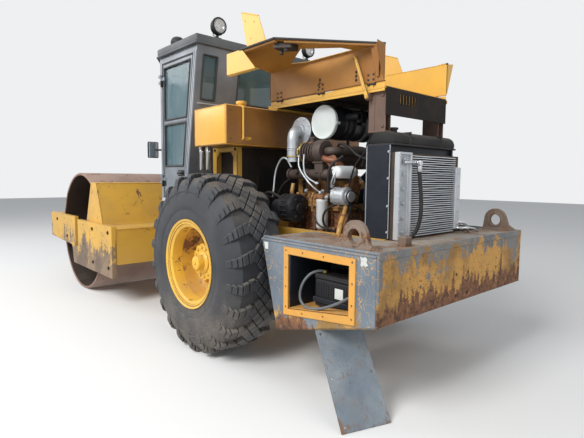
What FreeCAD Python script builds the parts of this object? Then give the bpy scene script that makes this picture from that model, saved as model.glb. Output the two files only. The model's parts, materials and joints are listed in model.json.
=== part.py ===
"""Road roller: an articulated single-drum soil compactor with its engine bay open.

Units are millimetres. +X points forward (the drum), +Y to the machine's left, +Z up.
Lengths along X are first set from the rear axle; save() then shifts every piece, so that
the origin lies on the ground under the middle of the machine's length.
"""
import FreeCAD, Part
import math
import os

V = FreeCAD.Vector
os.makedirs("parts", exist_ok=True)

# Driving dimensions of the whole machine, from the rear axle
PIVOT_X = 1350.0
FIT = 0.05
FACE_GAP = 1.0
CLEAR = 8.0
SHEET = 6.0

# Rear wheels
TYRE_R = 750.0
TYRE_WIDTH = 516.0
TYRE_MID_Y = 875.0
TREAD_ROWS = 22
LUG_RISE = 34.0
LUG_START = 75.0
LUG_HALF = 40.0
KNOB_HALF = 42.0
BEAD_R = 335.0
RIM_LIP_R = 372.0
RIM_WALL = 14.0
RIM_WIDTH = 508.0
RIM_LIP = 12.0
HUB_R = 145.0
HUB_FACE_Y = 1000.0
HUB_CAP_R = 65.0
HUB_CAP_Y = 1054.0
AXLE_END_Y = 600.0
AXLE_TUBE_R = 105.0
SPINDLE_R = 60.0
SPINDLE_END_Y = 950.0

# Drum
DRUM_R = 755.0
DRUM_WIDTH = 2100.0
DRUM_WALL = 30.0
DRUM_HEAD_Y = 725.0
DRUM_HEAD_T = 25.0
DRUM_HUB_R = 130.0
JOURNAL_R = 70.0
CARRIER_Y = 965.0
DRUM_GAP = 25.0
DRUM_SETBACK = 475.0
TONGUE_LENGTH = 340.0
NOSE_REACH = 370.0

# Front frame
PLATE_IN_Y = 1075.0
PLATE_T = 45.0
PLATE_OUT_Y = PLATE_IN_Y + PLATE_T
FRAME_REAR_X = PIVOT_X + TONGUE_LENGTH
WHEELBASE = FRAME_REAR_X + DRUM_SETBACK + DRUM_R
FRONT_REACH = WHEELBASE + DRUM_R + NOSE_REACH
FRAME_TOP_Z = DRUM_R + 160.0
FRAME_LOW_Z = DRUM_R - 425.0
ARM_TOP_Z = DRUM_R + 190.0
ARM_LOW_Z = DRUM_R - 155.0
BEAM_LOW_Z = DRUM_R - 275.0
BEAM_TOP_Z = DRUM_R + 125.0
BEAM_DEPTH = 200.0
LEDGE_T = 16.0
FENDER_LOW_Z = BEAM_TOP_Z + LEDGE_T
FENDER_TOP_Z = DRUM_R + 630.0
CHEEK_T = 12.0
BOLT_HOLE_R = 16.0

# The machine's ends and the middle of its length
REAR_REACH = 1825.0
ORIGIN_X = (FRONT_REACH - REAR_REACH) / 2.0

# Articulation
PIN_R = 50.0
EAR_R = 115.0
EAR_T = 60.0
TONGUE_LOW_Z = 606.0
TONGUE_TOP_Z = 794.0
EAR_GAP = 6.0
TONGUE_HALF = 200.0
NECK_HALF = 150.0
NECK_REAR_X = 620.0

# Rear frame
RAIL_IN_Y = 400.0
RAIL_T = 40.0
RAIL_LOW_Z = 880.0
RAIL_TOP_Z = 1050.0
RAIL_FRONT_X = 1180.0

# Counterweight
CW_HALF = 949.0
CW_TOP_Z = 1044.0
CW_FRONT_TOP_X = -764.0
CW_FRONT_LOW_X = -938.0
CW_FRONT_LOW_Z = 395.0
CW_REAR_X = -1810.0
CW_REAR_LOW_Z = 620.0
WING_IN_Y = RAIL_IN_Y + RAIL_T
REAR_BAR_DEPTH = 340.0

# Hood over the engine
HOOD_HALF = 400.0
ROOF_LOW_Z = 2090.0
HOOD_HINGE_Z = 2120.0
HOOD_FRONT_X = -165.0
HOOD_REAR_X = -1420.0
SHOULDER = 250.0
LEAF_REACH = 466.0
LEAF_TILT = 9.0

# Tank and cab
TANK_REAR_X = -160.0
TANK_FRONT_X = 340.0
TANK_HALF = 850.0
TANK_LOW_Z = 1740.0
TANK_TOP_Z = 2070.0
CAB_HALF = 800.0
CAB_WALL = 30.0
CAB_FLOOR_Z = 1200.0
CAB_TOP_Z = 2660.0
CAB_FRONT_X = 1450.0
CAB_FRONT_HALF = 550.0
CAB_CORNER_X = 1100.0


def box(x0, x1, y0, y1, z0, z1):
    """A block between two corners, given in any order along each axis."""
    low = V(min(x0, x1), min(y0, y1), min(z0, z1))
    return Part.makeBox(abs(x1 - x0), abs(y1 - y0), abs(z1 - z0), low)


def rod(x, y, z, radius, length, axis):
    """A cylinder from a point along an axis letter; a negative length runs the other way."""
    directions = {"x": V(1, 0, 0), "y": V(0, 1, 0), "z": V(0, 0, 1)}
    direction = directions[axis] * (1.0 if length > 0 else -1.0)
    return Part.makeCylinder(radius, abs(length), V(x, y, z), direction)


def bar(start, end, radius):
    """A round bar between two points."""
    return Part.makeCylinder(radius, (end - start).Length, start, end - start)


def prism(points, axis, low, high):
    """A polygon extruded along an axis; its points are in the other two axes, in X, Y, Z order."""
    place = {
        "x": lambda a, b: V(low, a, b),
        "y": lambda a, b: V(a, low, b),
        "z": lambda a, b: V(a, b, low),
    }[axis]
    run = {"x": V(high - low, 0, 0), "y": V(0, high - low, 0), "z": V(0, 0, high - low)}[axis]
    corners = [place(a, b) for a, b in points]
    return Part.Face(Part.makePolygon(corners + corners[:1])).extrude(run)


def lathe(profile, x, z):
    """A closed (y, r) profile turned about the line along Y through (x, z).

    A point with a third item is the middle of an arc between its neighbours.
    """
    place = [(V(x, point[0], z + point[1]), len(point) == 3) for point in profile]
    count = len(place)
    edges = []
    index = 0
    while index < count:
        start = place[index][0]
        via, is_via = place[(index + 1) % count]
        if is_via:
            end = place[(index + 2) % count][0]
            edges.append(Part.Arc(start, via, end).toShape())
            index += 2
        else:
            edges.append(Part.LineSegment(start, via).toShape())
            index += 1
    face = Part.Face(Part.Wire(edges))
    return face.revolve(V(x, 0, z), V(0, 1, 0), 360)


def pipe(points, radius, bend):
    """A round pipe along straight runs joined by tangent arcs of one bend radius."""
    edges = []
    start = points[0]
    for before, corner, after in zip(points, points[1:], points[2:]):
        into = (corner - before).normalize()
        out = (after - corner).normalize()
        turn = into.getAngle(out)
        back = bend * math.tan(turn / 2.0)
        first = corner - into * back
        last = corner + out * back
        inward = (out - into).normalize()
        centre = corner + inward * (bend / math.cos(turn / 2.0))
        middle = centre - inward * bend
        edges.append(Part.LineSegment(start, first).toShape())
        edges.append(Part.Arc(first, middle, last).toShape())
        start = last
    edges.append(Part.LineSegment(start, points[-1]).toShape())
    spine = Part.Wire(edges)
    ring = Part.Wire(Part.makeCircle(radius, points[0], (points[1] - points[0])))
    return spine.makePipeShell([ring], True, False)


def mitred(points, radius):
    """A thin round pipe along straight runs that meet in mitred corners."""
    ring = Part.Wire(Part.makeCircle(radius, points[0], points[1] - points[0]))
    return Part.Wire(Part.makePolygon(points)).makePipeShell([ring], True, False, 1)


def mirrored(shape):
    """The same shape on the machine's other side."""
    return shape.mirror(V(0, 0, 0), V(0, 1, 0))


def both(shape):
    """A shape of the left side together with its mirror image."""
    return Part.makeCompound([shape, mirrored(shape)])


def join(shapes):
    """One solid from shapes that meet."""
    return shapes[0].multiFuse(shapes[1:]).removeSplitter()


def save(shape, node):
    """Write one node, shifted from the rear axle to the machine's origin."""
    moved = shape.copy()
    moved.translate(V(-ORIGIN_X, 0, 0))
    moved.exportStep("parts/" + node + ".step")


# Rear wheels and axle
def tread_bar():
    """One bar of the outer half, at the tyre's top: over the shoulder and down the wall."""
    low = TYRE_R - LUG_RISE - 12.0
    mid = TYRE_MID_Y
    half = TYRE_WIDTH / 2.0
    section = [
        (mid + LUG_START, low), (mid + LUG_START, TYRE_R), (mid + half - 55.0, TYRE_R - 9.0),
        (mid + half - 12.0, TYRE_R - 85.0), (mid + half - 16.0, TYRE_R - 122.0),
        (mid + half - 70.0, low - 20.0),
    ]
    shape = prism(section, "x", -LUG_HALF, LUG_HALF)
    shape.translate(V(0, 0, TYRE_R))
    return shape


def faceted_ring(profile, x, z, sides):
    """Solid ring round an axis along Y with flat facets, which touch the profile's radii."""
    corners = []
    spread = 1.0 / math.cos(math.pi / sides)
    for index in range(sides):
        angle = math.tau * (index + 0.5) / sides
        ring = [V(x + math.sin(angle) * r * spread, y, z + math.cos(angle) * r * spread) for y, r in profile]
        corners.append(ring)
    faces = []
    for index in range(sides):
        here = corners[index]
        there = corners[(index + 1) % sides]
        for step in range(len(profile)):
            after = (step + 1) % len(profile)
            loop = [here[step], here[after], there[after], there[step], here[step]]
            faces.append(Part.Face(Part.makePolygon(loop)))
    solid = Part.Solid(Part.Shell(faces))
    if solid.Volume < 0.0:
        solid.reverse()
    return solid


def tyre():
    """Faceted carcass with tread bars that alternate left and right and knobs between them."""
    base = TYRE_R - LUG_RISE
    mid = TYRE_MID_Y
    half = TYRE_WIDTH / 2.0
    bead = RIM_WIDTH / 2.0 - RIM_LIP
    outer = [
        (bead, BEAD_R), (bead, RIM_LIP_R + 3.0), (half, BEAD_R + 165.0), (half - 20.0, base - 60.0),
        (half - 75.0, base),
    ]
    profile = [(mid + y, r) for y, r in outer] + [(mid - y, r) for y, r in reversed(outer)]
    carcass = faceted_ring(profile, 0.0, TYRE_R, 2 * TREAD_ROWS)
    bar_out = tread_bar()
    bar_in = bar_out.mirror(V(0, mid, 0), V(0, 1, 0))
    knob = prism([
        (-KNOB_HALF, mid), (0.0, mid - KNOB_HALF), (KNOB_HALF, mid), (0.0, mid + KNOB_HALF),
    ], "z", 2.0 * TYRE_R - LUG_RISE - 8.0, 2.0 * TYRE_R)
    pitch = 360.0 / TREAD_ROWS
    blocks = []
    for index in range(TREAD_ROWS):
        for shape, turn in ((bar_out, 0.0), (bar_in, 0.5), (knob, 0.25), (knob, 0.75)):
            block = shape.copy()
            block.rotate(V(0, 0, TYRE_R), V(0, 1, 0), (index + turn) * pitch)
            blocks.append(block)
    return carcass.multiFuse(blocks)


def rim():
    out = TYRE_MID_Y + RIM_WIDTH / 2.0
    inn = TYRE_MID_Y - RIM_WIDTH / 2.0
    barrel_out = BEAD_R
    barrel_in = barrel_out - RIM_WALL
    lip = RIM_LIP
    barrel = lathe([
        (inn, barrel_in), (inn, RIM_LIP_R), (inn + lip, RIM_LIP_R), (inn + lip, barrel_out),
        (out - lip, barrel_out), (out - lip, RIM_LIP_R), (out, RIM_LIP_R), (out, barrel_in),
    ], 0.0, TYRE_R)
    disc_y = TYRE_MID_Y - 25.0
    disc = lathe([
        (disc_y, HUB_R - 5.0), (disc_y, barrel_in + 3.0), (disc_y + 16.0, barrel_in + 3.0),
        (disc_y + 60.0, HUB_R + 30.0), (disc_y + 60.0, HUB_R - 5.0),
    ], 0.0, TYRE_R)
    hub_start = AXLE_END_Y + FACE_GAP
    hub = rod(0.0, hub_start, TYRE_R, HUB_R, HUB_FACE_Y - hub_start, "y")
    cap = rod(0.0, HUB_FACE_Y - 5.0, TYRE_R, HUB_CAP_R, HUB_CAP_Y - HUB_FACE_Y + 5.0, "y")
    bore_length = SPINDLE_END_Y + CLEAR - hub_start
    bore = rod(0.0, hub_start, TYRE_R, SPINDLE_R + FIT, bore_length, "y")
    return join([barrel, disc, hub, cap]).cut(bore)


def rear_axle():
    tube = rod(0.0, -AXLE_END_Y, TYRE_R, AXLE_TUBE_R, 2.0 * AXLE_END_Y, "y")
    spindle = rod(0.0, -SPINDLE_END_Y, TYRE_R, SPINDLE_R, 2.0 * SPINDLE_END_Y, "y")
    middle = Part.makeSphere(180.0, V(0, 0, TYRE_R))
    nose = rod(0.0, 0.0, TYRE_R, 90.0, 300.0, "x")
    pad_half = 70.0
    pads = []
    for sign in (1.0, -1.0):
        pad_y = sign * (RAIL_IN_Y + RAIL_T / 2.0)
        pads.append(box(-pad_half, pad_half, pad_y - 60.0, pad_y + 60.0, TYRE_R, RAIL_LOW_Z))
    return join([tube, spindle, middle, nose] + pads)


# Drum
def drum_shell():
    half = DRUM_WIDTH / 2.0
    return lathe([
        (-half, DRUM_R - DRUM_WALL), (-half, DRUM_R), (half, DRUM_R), (half, DRUM_R - DRUM_WALL),
    ], WHEELBASE, DRUM_R)


def drum_heads():
    shaft = rod(WHEELBASE, -DRUM_HEAD_Y, DRUM_R, DRUM_HUB_R, 2.0 * DRUM_HEAD_Y, "y")
    journal_y = CARRIER_Y
    pieces = [shaft, rod(WHEELBASE, -journal_y, DRUM_R, JOURNAL_R, 2.0 * journal_y, "y")]
    for sign in (1.0, -1.0):
        inner = sign * (DRUM_HEAD_Y - DRUM_HEAD_T)
        disc_r = DRUM_R - DRUM_WALL
        pieces.append(rod(WHEELBASE, inner, DRUM_R, disc_r, sign * DRUM_HEAD_T, "y"))
        ring_r = DRUM_HUB_R + 110.0
        pieces.append(rod(WHEELBASE, inner, DRUM_R, ring_r, sign * (DRUM_HEAD_T + 20.0), "y"))
    return join(pieces)


def drum_mount():
    """Bearing housing, carrier plate and rubber buffers between a drum head and a side plate."""
    start = DRUM_HEAD_Y + 20.0 + FACE_GAP
    carrier_y = CARRIER_Y
    housing = rod(WHEELBASE, start, DRUM_R, DRUM_HUB_R + 40.0, carrier_y - start, "y")
    reach = 250.0
    carrier_low = DRUM_R - 250.0
    carrier_high = DRUM_R + 135.0
    carrier = box(WHEELBASE - reach, WHEELBASE + reach, carrier_y, carrier_y + 25.0,
                  carrier_low, carrier_high)
    pieces = [housing, carrier]
    for dx in (-190.0, 190.0):
        for z in (DRUM_R - 180.0, DRUM_R - 60.0, DRUM_R + 60.0):
            buffer_y = carrier_y + 25.0
            pieces.append(rod(WHEELBASE + dx, buffer_y - 2.0, z, 45.0, PLATE_IN_Y - buffer_y + 2.0, "y"))
    bore = rod(WHEELBASE, start, DRUM_R, JOURNAL_R + FIT, carrier_y - start, "y")
    return join(pieces).cut(bore)


def drum_mounts():
    return both(drum_mount())


# Front frame
def side_plate():
    slot_rear_x = WHEELBASE - 70.0
    slot_front_x = WHEELBASE + 35.0
    slot_low_z = DRUM_R - 195.0
    rear_corner_x = WHEELBASE + 120.0
    plate = prism([
        (FRAME_REAR_X, FRAME_LOW_Z), (FRAME_REAR_X, FRAME_TOP_Z), (slot_rear_x, FRAME_TOP_Z),
        (slot_rear_x, slot_low_z), (slot_front_x, slot_low_z), (slot_front_x, ARM_TOP_Z),
        (FRONT_REACH, ARM_TOP_Z), (FRONT_REACH, ARM_LOW_Z), (rear_corner_x + 60.0, slot_low_z),
        (rear_corner_x, FRAME_LOW_Z),
    ], "y", PLATE_IN_Y, PLATE_OUT_Y)
    rear_row = WHEELBASE - 280.0
    front_row = WHEELBASE + 500.0
    holes = [(rear_row, FRAME_TOP_Z - drop) for drop in (55.0, 175.0, 295.0)]
    holes += [(front_row, ARM_TOP_Z - drop) for drop in (55.0, 145.0)]
    for x, z in holes:
        plate = plate.cut(rod(x, PLATE_IN_Y - 1.0, z, BOLT_HOLE_R, PLATE_T + 2.0, "y"))
    return plate


def front_beam():
    depth = 160.0
    inner = PLATE_IN_Y
    return box(FRONT_REACH - depth, FRONT_REACH, -inner, inner, ARM_LOW_Z + 10.0, ARM_TOP_Z - 15.0)


def rear_beam():
    ledge_x = WHEELBASE - DRUM_R - DRUM_GAP - 15.0
    beam = box(FRAME_REAR_X, FRAME_REAR_X + BEAM_DEPTH, -PLATE_IN_Y, PLATE_IN_Y, BEAM_LOW_Z, BEAM_TOP_Z)
    ledge = box(FRAME_REAR_X, ledge_x, -PLATE_IN_Y, PLATE_IN_Y, BEAM_TOP_Z, FENDER_LOW_Z)
    root = prism([
        (PIVOT_X, EAR_R), (PIVOT_X, -EAR_R), (FRAME_REAR_X, -TONGUE_HALF), (FRAME_REAR_X, TONGUE_HALF),
    ], "z", TONGUE_LOW_Z, TONGUE_TOP_Z)
    nose = rod(PIVOT_X, 0.0, TONGUE_LOW_Z, EAR_R, TONGUE_TOP_Z - TONGUE_LOW_Z, "z")
    bore = rod(PIVOT_X, 0.0, TONGUE_LOW_Z - 1.0, PIN_R + FIT, 400.0, "z")
    bracket_z = CYLINDER_Z + 45.0
    brackets = []
    for sign in (1.0, -1.0):
        y = sign * CYLINDER_FRONT_Y
        reach_x = CYLINDER_FRONT_X - 50.0
        brackets.append(box(reach_x, FRAME_REAR_X, y - 55.0, y + 55.0, bracket_z, bracket_z + 25.0))
    return join([beam, ledge, root, nose] + brackets).cut(bore)


def drum_fender():
    """Sloping weight box over the drum's rear quarter, with its end plates."""
    clear_r = DRUM_R + DRUM_GAP
    top_front = (WHEELBASE - 470.0, FENDER_TOP_Z)
    top_rear = (WHEELBASE - 640.0, FENDER_TOP_Z)
    low_rear = (WHEELBASE - 840.0, FENDER_LOW_Z)
    mid_z = (FENDER_LOW_Z + FENDER_TOP_Z) / 2.0

    def arc_point(z):
        return V(WHEELBASE - math.sqrt(clear_r ** 2 - (z - DRUM_R) ** 2), -PLATE_IN_Y, z)

    corners = {
        "a": V(low_rear[0], -PLATE_IN_Y, low_rear[1]),
        "b": V(top_rear[0], -PLATE_IN_Y, top_rear[1]),
        "c": arc_point(FENDER_TOP_Z),
        "m": arc_point(mid_z),
        "d": arc_point(FENDER_LOW_Z),
    }
    edges = [
        Part.LineSegment(corners["a"], corners["b"]).toShape(),
        Part.LineSegment(corners["b"], corners["c"]).toShape(),
        Part.Arc(corners["c"], corners["m"], corners["d"]).toShape(),
        Part.LineSegment(corners["d"], corners["a"]).toShape(),
    ]
    body = Part.Face(Part.Wire(edges)).extrude(V(0, 2.0 * PLATE_IN_Y, 0))
    cheek_y = DRUM_WIDTH / 2.0 + 10.0
    cheek = prism([
        low_rear, top_rear, top_front, (WHEELBASE - 280.0, FRAME_TOP_Z + 2.0),
        (WHEELBASE - 820.0, FENDER_LOW_Z),
    ], "y", cheek_y, cheek_y + CHEEK_T)
    return join([body, cheek, mirrored(cheek)])


# Steering cylinders
CYLINDER_Z = 620.0
CYLINDER_REAR_X = 750.0
CYLINDER_REAR_Y = 280.0
CYLINDER_FRONT_X = FRAME_REAR_X - 100.0
CYLINDER_FRONT_Y = 300.0
CYLINDER_R = 42.0
CYLINDER_ROD_R = 22.0
CYLINDER_PIN_R = 20.0
BARREL_LENGTH = 520.0


def steer_anchor(rear_face_x):
    """Two plates and a pin that hold a steering cylinder's rear eye."""
    x = CYLINDER_REAR_X
    y = CYLINDER_REAR_Y
    pieces = []
    for low in (CYLINDER_Z + 50.0, CYLINDER_Z - 70.0):
        pieces.append(box(rear_face_x, x + 30.0, y - 55.0, y + 55.0, low, low + 20.0))
    pieces.append(rod(x, y, CYLINDER_Z - 70.0, CYLINDER_PIN_R, 140.0, "z"))
    return pieces


def steer_barrel():
    rear = V(CYLINDER_REAR_X, CYLINDER_REAR_Y, CYLINDER_Z)
    front = V(CYLINDER_FRONT_X, CYLINDER_FRONT_Y, CYLINDER_Z)
    along = (front - rear).normalize()
    eye = rod(rear.x, rear.y, CYLINDER_Z - 32.0, 42.0, 64.0, "z")
    tube = bar(rear + along * 20.0, rear + along * BARREL_LENGTH, CYLINDER_R)
    body = join([eye, tube])
    body = body.cut(rod(rear.x, rear.y, CYLINDER_Z - 100.0, CYLINDER_PIN_R + FIT, 200.0, "z"))
    tip = rear + along * (BARREL_LENGTH + 1.0)
    return body.cut(bar(rear + along * 60.0, tip, CYLINDER_ROD_R + FIT))


def steer_rod():
    """Rod with its eye and pin; the pin ends just under the front frame's bracket."""
    rear = V(CYLINDER_REAR_X, CYLINDER_REAR_Y, CYLINDER_Z)
    front = V(CYLINDER_FRONT_X, CYLINDER_FRONT_Y, CYLINDER_Z)
    along = (front - rear).normalize()
    shaft = bar(rear + along * 290.0, front, CYLINDER_ROD_R)
    eye = rod(front.x, front.y, CYLINDER_Z - 30.0, 38.0, 60.0, "z")
    pin = rod(front.x, front.y, CYLINDER_Z - 42.0, CYLINDER_PIN_R, 79.0, "z")
    return join([shaft, eye, pin])


# Rear frame
CHEST_REAR_X = 430.0
DECK_LOW_Z = 1150.0
STEP_WIDTH = 260.0
STEP_DEPTH = 230.0
STEP_LOW_Z = 560.0
STEP_RISE = 300.0
STEP_T = 10.0


def chassis():
    """Rails, chest and neck with the pivot ears and pin, cross members and the cab's legs."""
    ear_low = TONGUE_LOW_Z - EAR_GAP - EAR_T
    ear_high = TONGUE_TOP_Z + EAR_GAP
    rear_x = CW_REAR_X + REAR_BAR_DEPTH
    pieces = []
    for sign in (1.0, -1.0):
        inner = sign * RAIL_IN_Y
        outer = sign * (RAIL_IN_Y + RAIL_T)
        pieces.append(box(rear_x, RAIL_FRONT_X, inner, outer, RAIL_LOW_Z, RAIL_TOP_Z))
        for x in (760.0, 1090.0):
            pieces.append(box(x, x + 70.0, inner, outer, RAIL_TOP_Z - 1.0, DECK_LOW_Z + 1.0))
    pieces.append(box(CAB_HEEL_X + 10.0, CAB_FRONT_X - 20.0, -540.0, 540.0, DECK_LOW_Z, CAB_FLOOR_Z))
    pieces.append(box(CHEST_REAR_X, NECK_REAR_X, -RAIL_IN_Y, RAIL_IN_Y, ear_low, RAIL_TOP_Z))
    pieces.append(box(NECK_REAR_X, RAIL_FRONT_X, -NECK_HALF, NECK_HALF, ear_low, RAIL_TOP_Z))
    pieces.append(box(NECK_REAR_X, RAIL_FRONT_X, -RAIL_IN_Y, RAIL_IN_Y, RAIL_TOP_Z - 60.0, RAIL_TOP_Z))
    for z in (ear_low, ear_high):
        pieces.append(prism([
            (RAIL_FRONT_X - 10.0, -NECK_HALF), (PIVOT_X, -EAR_R), (PIVOT_X, EAR_R),
            (RAIL_FRONT_X - 10.0, NECK_HALF),
        ], "z", z, z + EAR_T))
        pieces.append(rod(PIVOT_X, 0.0, z, EAR_R, EAR_T, "z"))
    pin_low = ear_low - 25.0
    pin_high = ear_high + EAR_T + 25.0
    pieces.append(rod(PIVOT_X, 0.0, pin_low, PIN_R, pin_high - pin_low, "z"))
    for z in (pin_low, pin_high - 25.0):
        pieces.append(rod(PIVOT_X, 0.0, z, PIN_R + 20.0, 25.0, "z"))
    pieces.append(box(-1070.0, -1010.0, -RAIL_IN_Y, RAIL_IN_Y, RAIL_LOW_Z, RAIL_LOW_Z + 45.0))
    for part in steer_anchor(NECK_REAR_X - 5.0):
        pieces.append(part)
        pieces.append(mirrored(part))
    return join(pieces)


def boarding_steps():
    """Two steps under each cab door, on flat hangers from the deck."""
    solids = []
    rear_x = CAB_HEEL_X + 70.0
    front_x = rear_x + STEP_WIDTH
    in_y = CAB_HALF - STEP_DEPTH
    for sign in (1.0, -1.0):
        pieces = [box(rear_x, front_x, sign * 500.0, sign * CAB_HALF, DECK_LOW_Z - 12.0, DECK_LOW_Z)]
        for x in (rear_x, front_x - STEP_T):
            hanger = box(x, x + STEP_T, sign * (in_y + 60.0), sign * (CAB_HALF - 40.0), STEP_LOW_Z, DECK_LOW_Z)
            pieces.append(hanger)
        for z in (STEP_LOW_Z, STEP_LOW_Z + STEP_RISE):
            pieces.append(box(rear_x, front_x, sign * in_y, sign * CAB_HALF, z, z + STEP_T))
            pieces.append(box(rear_x, front_x, sign * (CAB_HALF - STEP_T), sign * CAB_HALF, z, z + 40.0))
        solids.append(join(pieces))
    return Part.makeCompound(solids)


# Counterweight
def low_edge(x):
    share = (CW_FRONT_LOW_X - x) / (CW_FRONT_LOW_X - CW_REAR_X)
    return CW_FRONT_LOW_Z + share * (CW_REAR_LOW_Z - CW_FRONT_LOW_Z)


RIM_T = 18.0
RIM_RISE = 14.0
BAY_FRONT_X = -1070.0
BAY_REAR_X = -1610.0
BAY_TOP_Z = 955.0
BAY_DEPTH = 420.0


def wing():
    side = [
        (CW_FRONT_TOP_X, CW_TOP_Z), (CW_FRONT_LOW_X, CW_FRONT_LOW_Z), (CW_REAR_X, CW_REAR_LOW_Z),
        (CW_REAR_X, CW_TOP_Z),
    ]
    block = prism(side, "y", WING_IN_Y, CW_HALF)
    edge = box(CW_REAR_X - 15.0, CW_REAR_X, WING_IN_Y, CW_HALF, CW_TOP_Z - 60.0, CW_TOP_Z + RIM_RISE)
    lip = box(CW_REAR_X - 15.0, CW_FRONT_TOP_X, CW_HALF - RIM_T, CW_HALF, CW_TOP_Z - 1.0, CW_TOP_Z + RIM_RISE)
    return join([block, edge, lip])


def bay_floor(x):
    """Height of the battery bay's sloping floor."""
    front = low_edge(BAY_FRONT_X) + 150.0
    rear = low_edge(BAY_REAR_X) + 85.0
    share = (BAY_FRONT_X - x) / (BAY_FRONT_X - BAY_REAR_X)
    return front + share * (rear - front)


def under_bay():
    """Solid below the battery bay's floor, to trim what stands on it."""
    return prism([
        (BAY_FRONT_X, bay_floor(BAY_FRONT_X)), (BAY_FRONT_X, 300.0), (BAY_REAR_X, 300.0),
        (BAY_REAR_X, bay_floor(BAY_REAR_X)),
    ], "y", CW_HALF - BAY_DEPTH - 10.0, CW_HALF)


def battery_bay():
    floor_front = bay_floor(BAY_FRONT_X)
    floor_rear = bay_floor(BAY_REAR_X)
    return prism([
        (BAY_FRONT_X, BAY_TOP_Z), (BAY_FRONT_X, floor_front), (BAY_REAR_X, floor_rear),
        (BAY_REAR_X, BAY_TOP_Z),
    ], "y", CW_HALF - BAY_DEPTH, CW_HALF + 60.0)


def bay_frame():
    """Bolted frame round the battery bay's mouth."""
    margin = 48.0
    stand = 8.0
    floor_front = bay_floor(BAY_FRONT_X)
    floor_rear = bay_floor(BAY_REAR_X)
    outer = prism([
        (BAY_FRONT_X + margin, BAY_TOP_Z + margin), (BAY_FRONT_X + margin, floor_front - margin),
        (BAY_REAR_X - margin, floor_rear - margin), (BAY_REAR_X - margin, BAY_TOP_Z + margin),
    ], "y", CW_HALF, CW_HALF + stand)
    frame = outer.cut(battery_bay())
    hole_r = 7.0
    mid = margin / 2.0
    for x in (BAY_FRONT_X + mid, BAY_REAR_X - mid):
        for z in (BAY_TOP_Z + mid, floor_rear + 10.0, 780.0):
            frame = frame.cut(rod(x, CW_HALF - 1.0, z, hole_r, stand + 2.0, "y"))
    return frame


LUG_X = -1620.0
LUG_HOLE_Z = 1130.0
LUG_HOLE_R = 45.0
LUG_T = 30.0


def tie_lug():
    plate = prism([
        (LUG_X + 95.0, CW_TOP_Z), (LUG_X + 75.0, 1195.0), (LUG_X + 25.0, 1230.0), (LUG_X - 40.0, 1215.0),
        (LUG_X - 130.0, CW_TOP_Z),
    ], "y", CW_HALF - RIM_T - LUG_T, CW_HALF - RIM_T)
    return plate.cut(rod(LUG_X, CW_HALF - 100.0, LUG_HOLE_Z, LUG_HOLE_R, 120.0, "y"))


HITCH_Z = 745.0
HITCH_Y_STEP = 160.0
HITCH_Z_STEP = 150.0
HITCH_HOLE_R = 12.0
HITCH_DEPTH = 60.0


def rear_bar():
    block = box(CW_REAR_X, CW_REAR_X + REAR_BAR_DEPTH, -WING_IN_Y, WING_IN_Y, CW_REAR_LOW_Z, CW_TOP_Z)
    edge = box(CW_REAR_X - 15.0, CW_REAR_X, -WING_IN_Y, WING_IN_Y, CW_TOP_Z - 60.0, CW_TOP_Z + RIM_RISE)
    body = join([block, edge])
    for dy in (-HITCH_Y_STEP / 2.0, HITCH_Y_STEP / 2.0):
        for dz in (-HITCH_Z_STEP / 2.0, HITCH_Z_STEP / 2.0):
            hole = rod(CW_REAR_X - 1.0, dy, HITCH_Z + dz, HITCH_HOLE_R, HITCH_DEPTH + 1.0, "x")
            body = body.cut(hole)
    return body


def counterweight():
    """U-shaped weight: two wings, the left one hollowed for the battery, and the bar between."""
    left = join([wing(), tie_lug()]).cut(battery_bay())
    right = mirrored(join([wing(), tie_lug()]))
    return join([left, bay_frame(), right, rear_bar()])


BATTERY_X = -1440.0


def battery():
    floor = 0.0
    for x in (BATTERY_X - 130.0, BATTERY_X + 130.0):
        floor = max(floor, bay_floor(x))
    case = box(BATTERY_X - 130.0, BATTERY_X + 130.0, 590.0, 800.0, floor, floor + 190.0)
    case = join([case, box(BATTERY_X - 130.0, BATTERY_X + 130.0, 590.0, 800.0, floor - 40.0, floor + 1.0)])
    case = case.cut(under_bay())
    posts = []
    for dx in (-90.0, 90.0):
        posts.append(rod(BATTERY_X + dx, 760.0, floor + 185.0, 10.0, 25.0, "z"))
    return join([case] + posts)


def cover_plate():
    """Cover of the battery bay, taken off: it stands on the ground and leans to the weight."""
    width = 340.0
    length = 616.0
    thick = 6.0
    foot = V(-1689.0, 1083.0, 0.0)
    heading = math.radians(-108.3)
    lean = math.radians(35.5)
    across = V(math.cos(heading), math.sin(heading), 0)
    level = V(-math.sin(heading), math.cos(heading), 0)
    up = V(0, 0, math.cos(lean)) + level * math.sin(lean)
    normal = across.cross(up)
    sink = normal * thick if normal.z < 0 else V(0, 0, 0)
    base = foot + V(0, 0, -sink.z)
    corners = [base, base + across * width, base + across * width + up * length, base + up * length]
    plate = Part.Face(Part.makePolygon(corners + corners[:1])).extrude(normal * thick)
    low = plate.BoundBox.ZMin
    plate.translate(V(0, 0, -low))
    for a in (30.0, width - 30.0):
        for b in (30.0, length / 2.0, length - 30.0):
            centre = base + across * a + up * b - normal * 20.0
            centre = centre + V(0, 0, -low)
            plate = plate.cut(Part.makeCylinder(7.0, 60.0, centre, normal))
    return plate


# Engine
PUMP_TOP_Z = 1262.0


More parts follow.
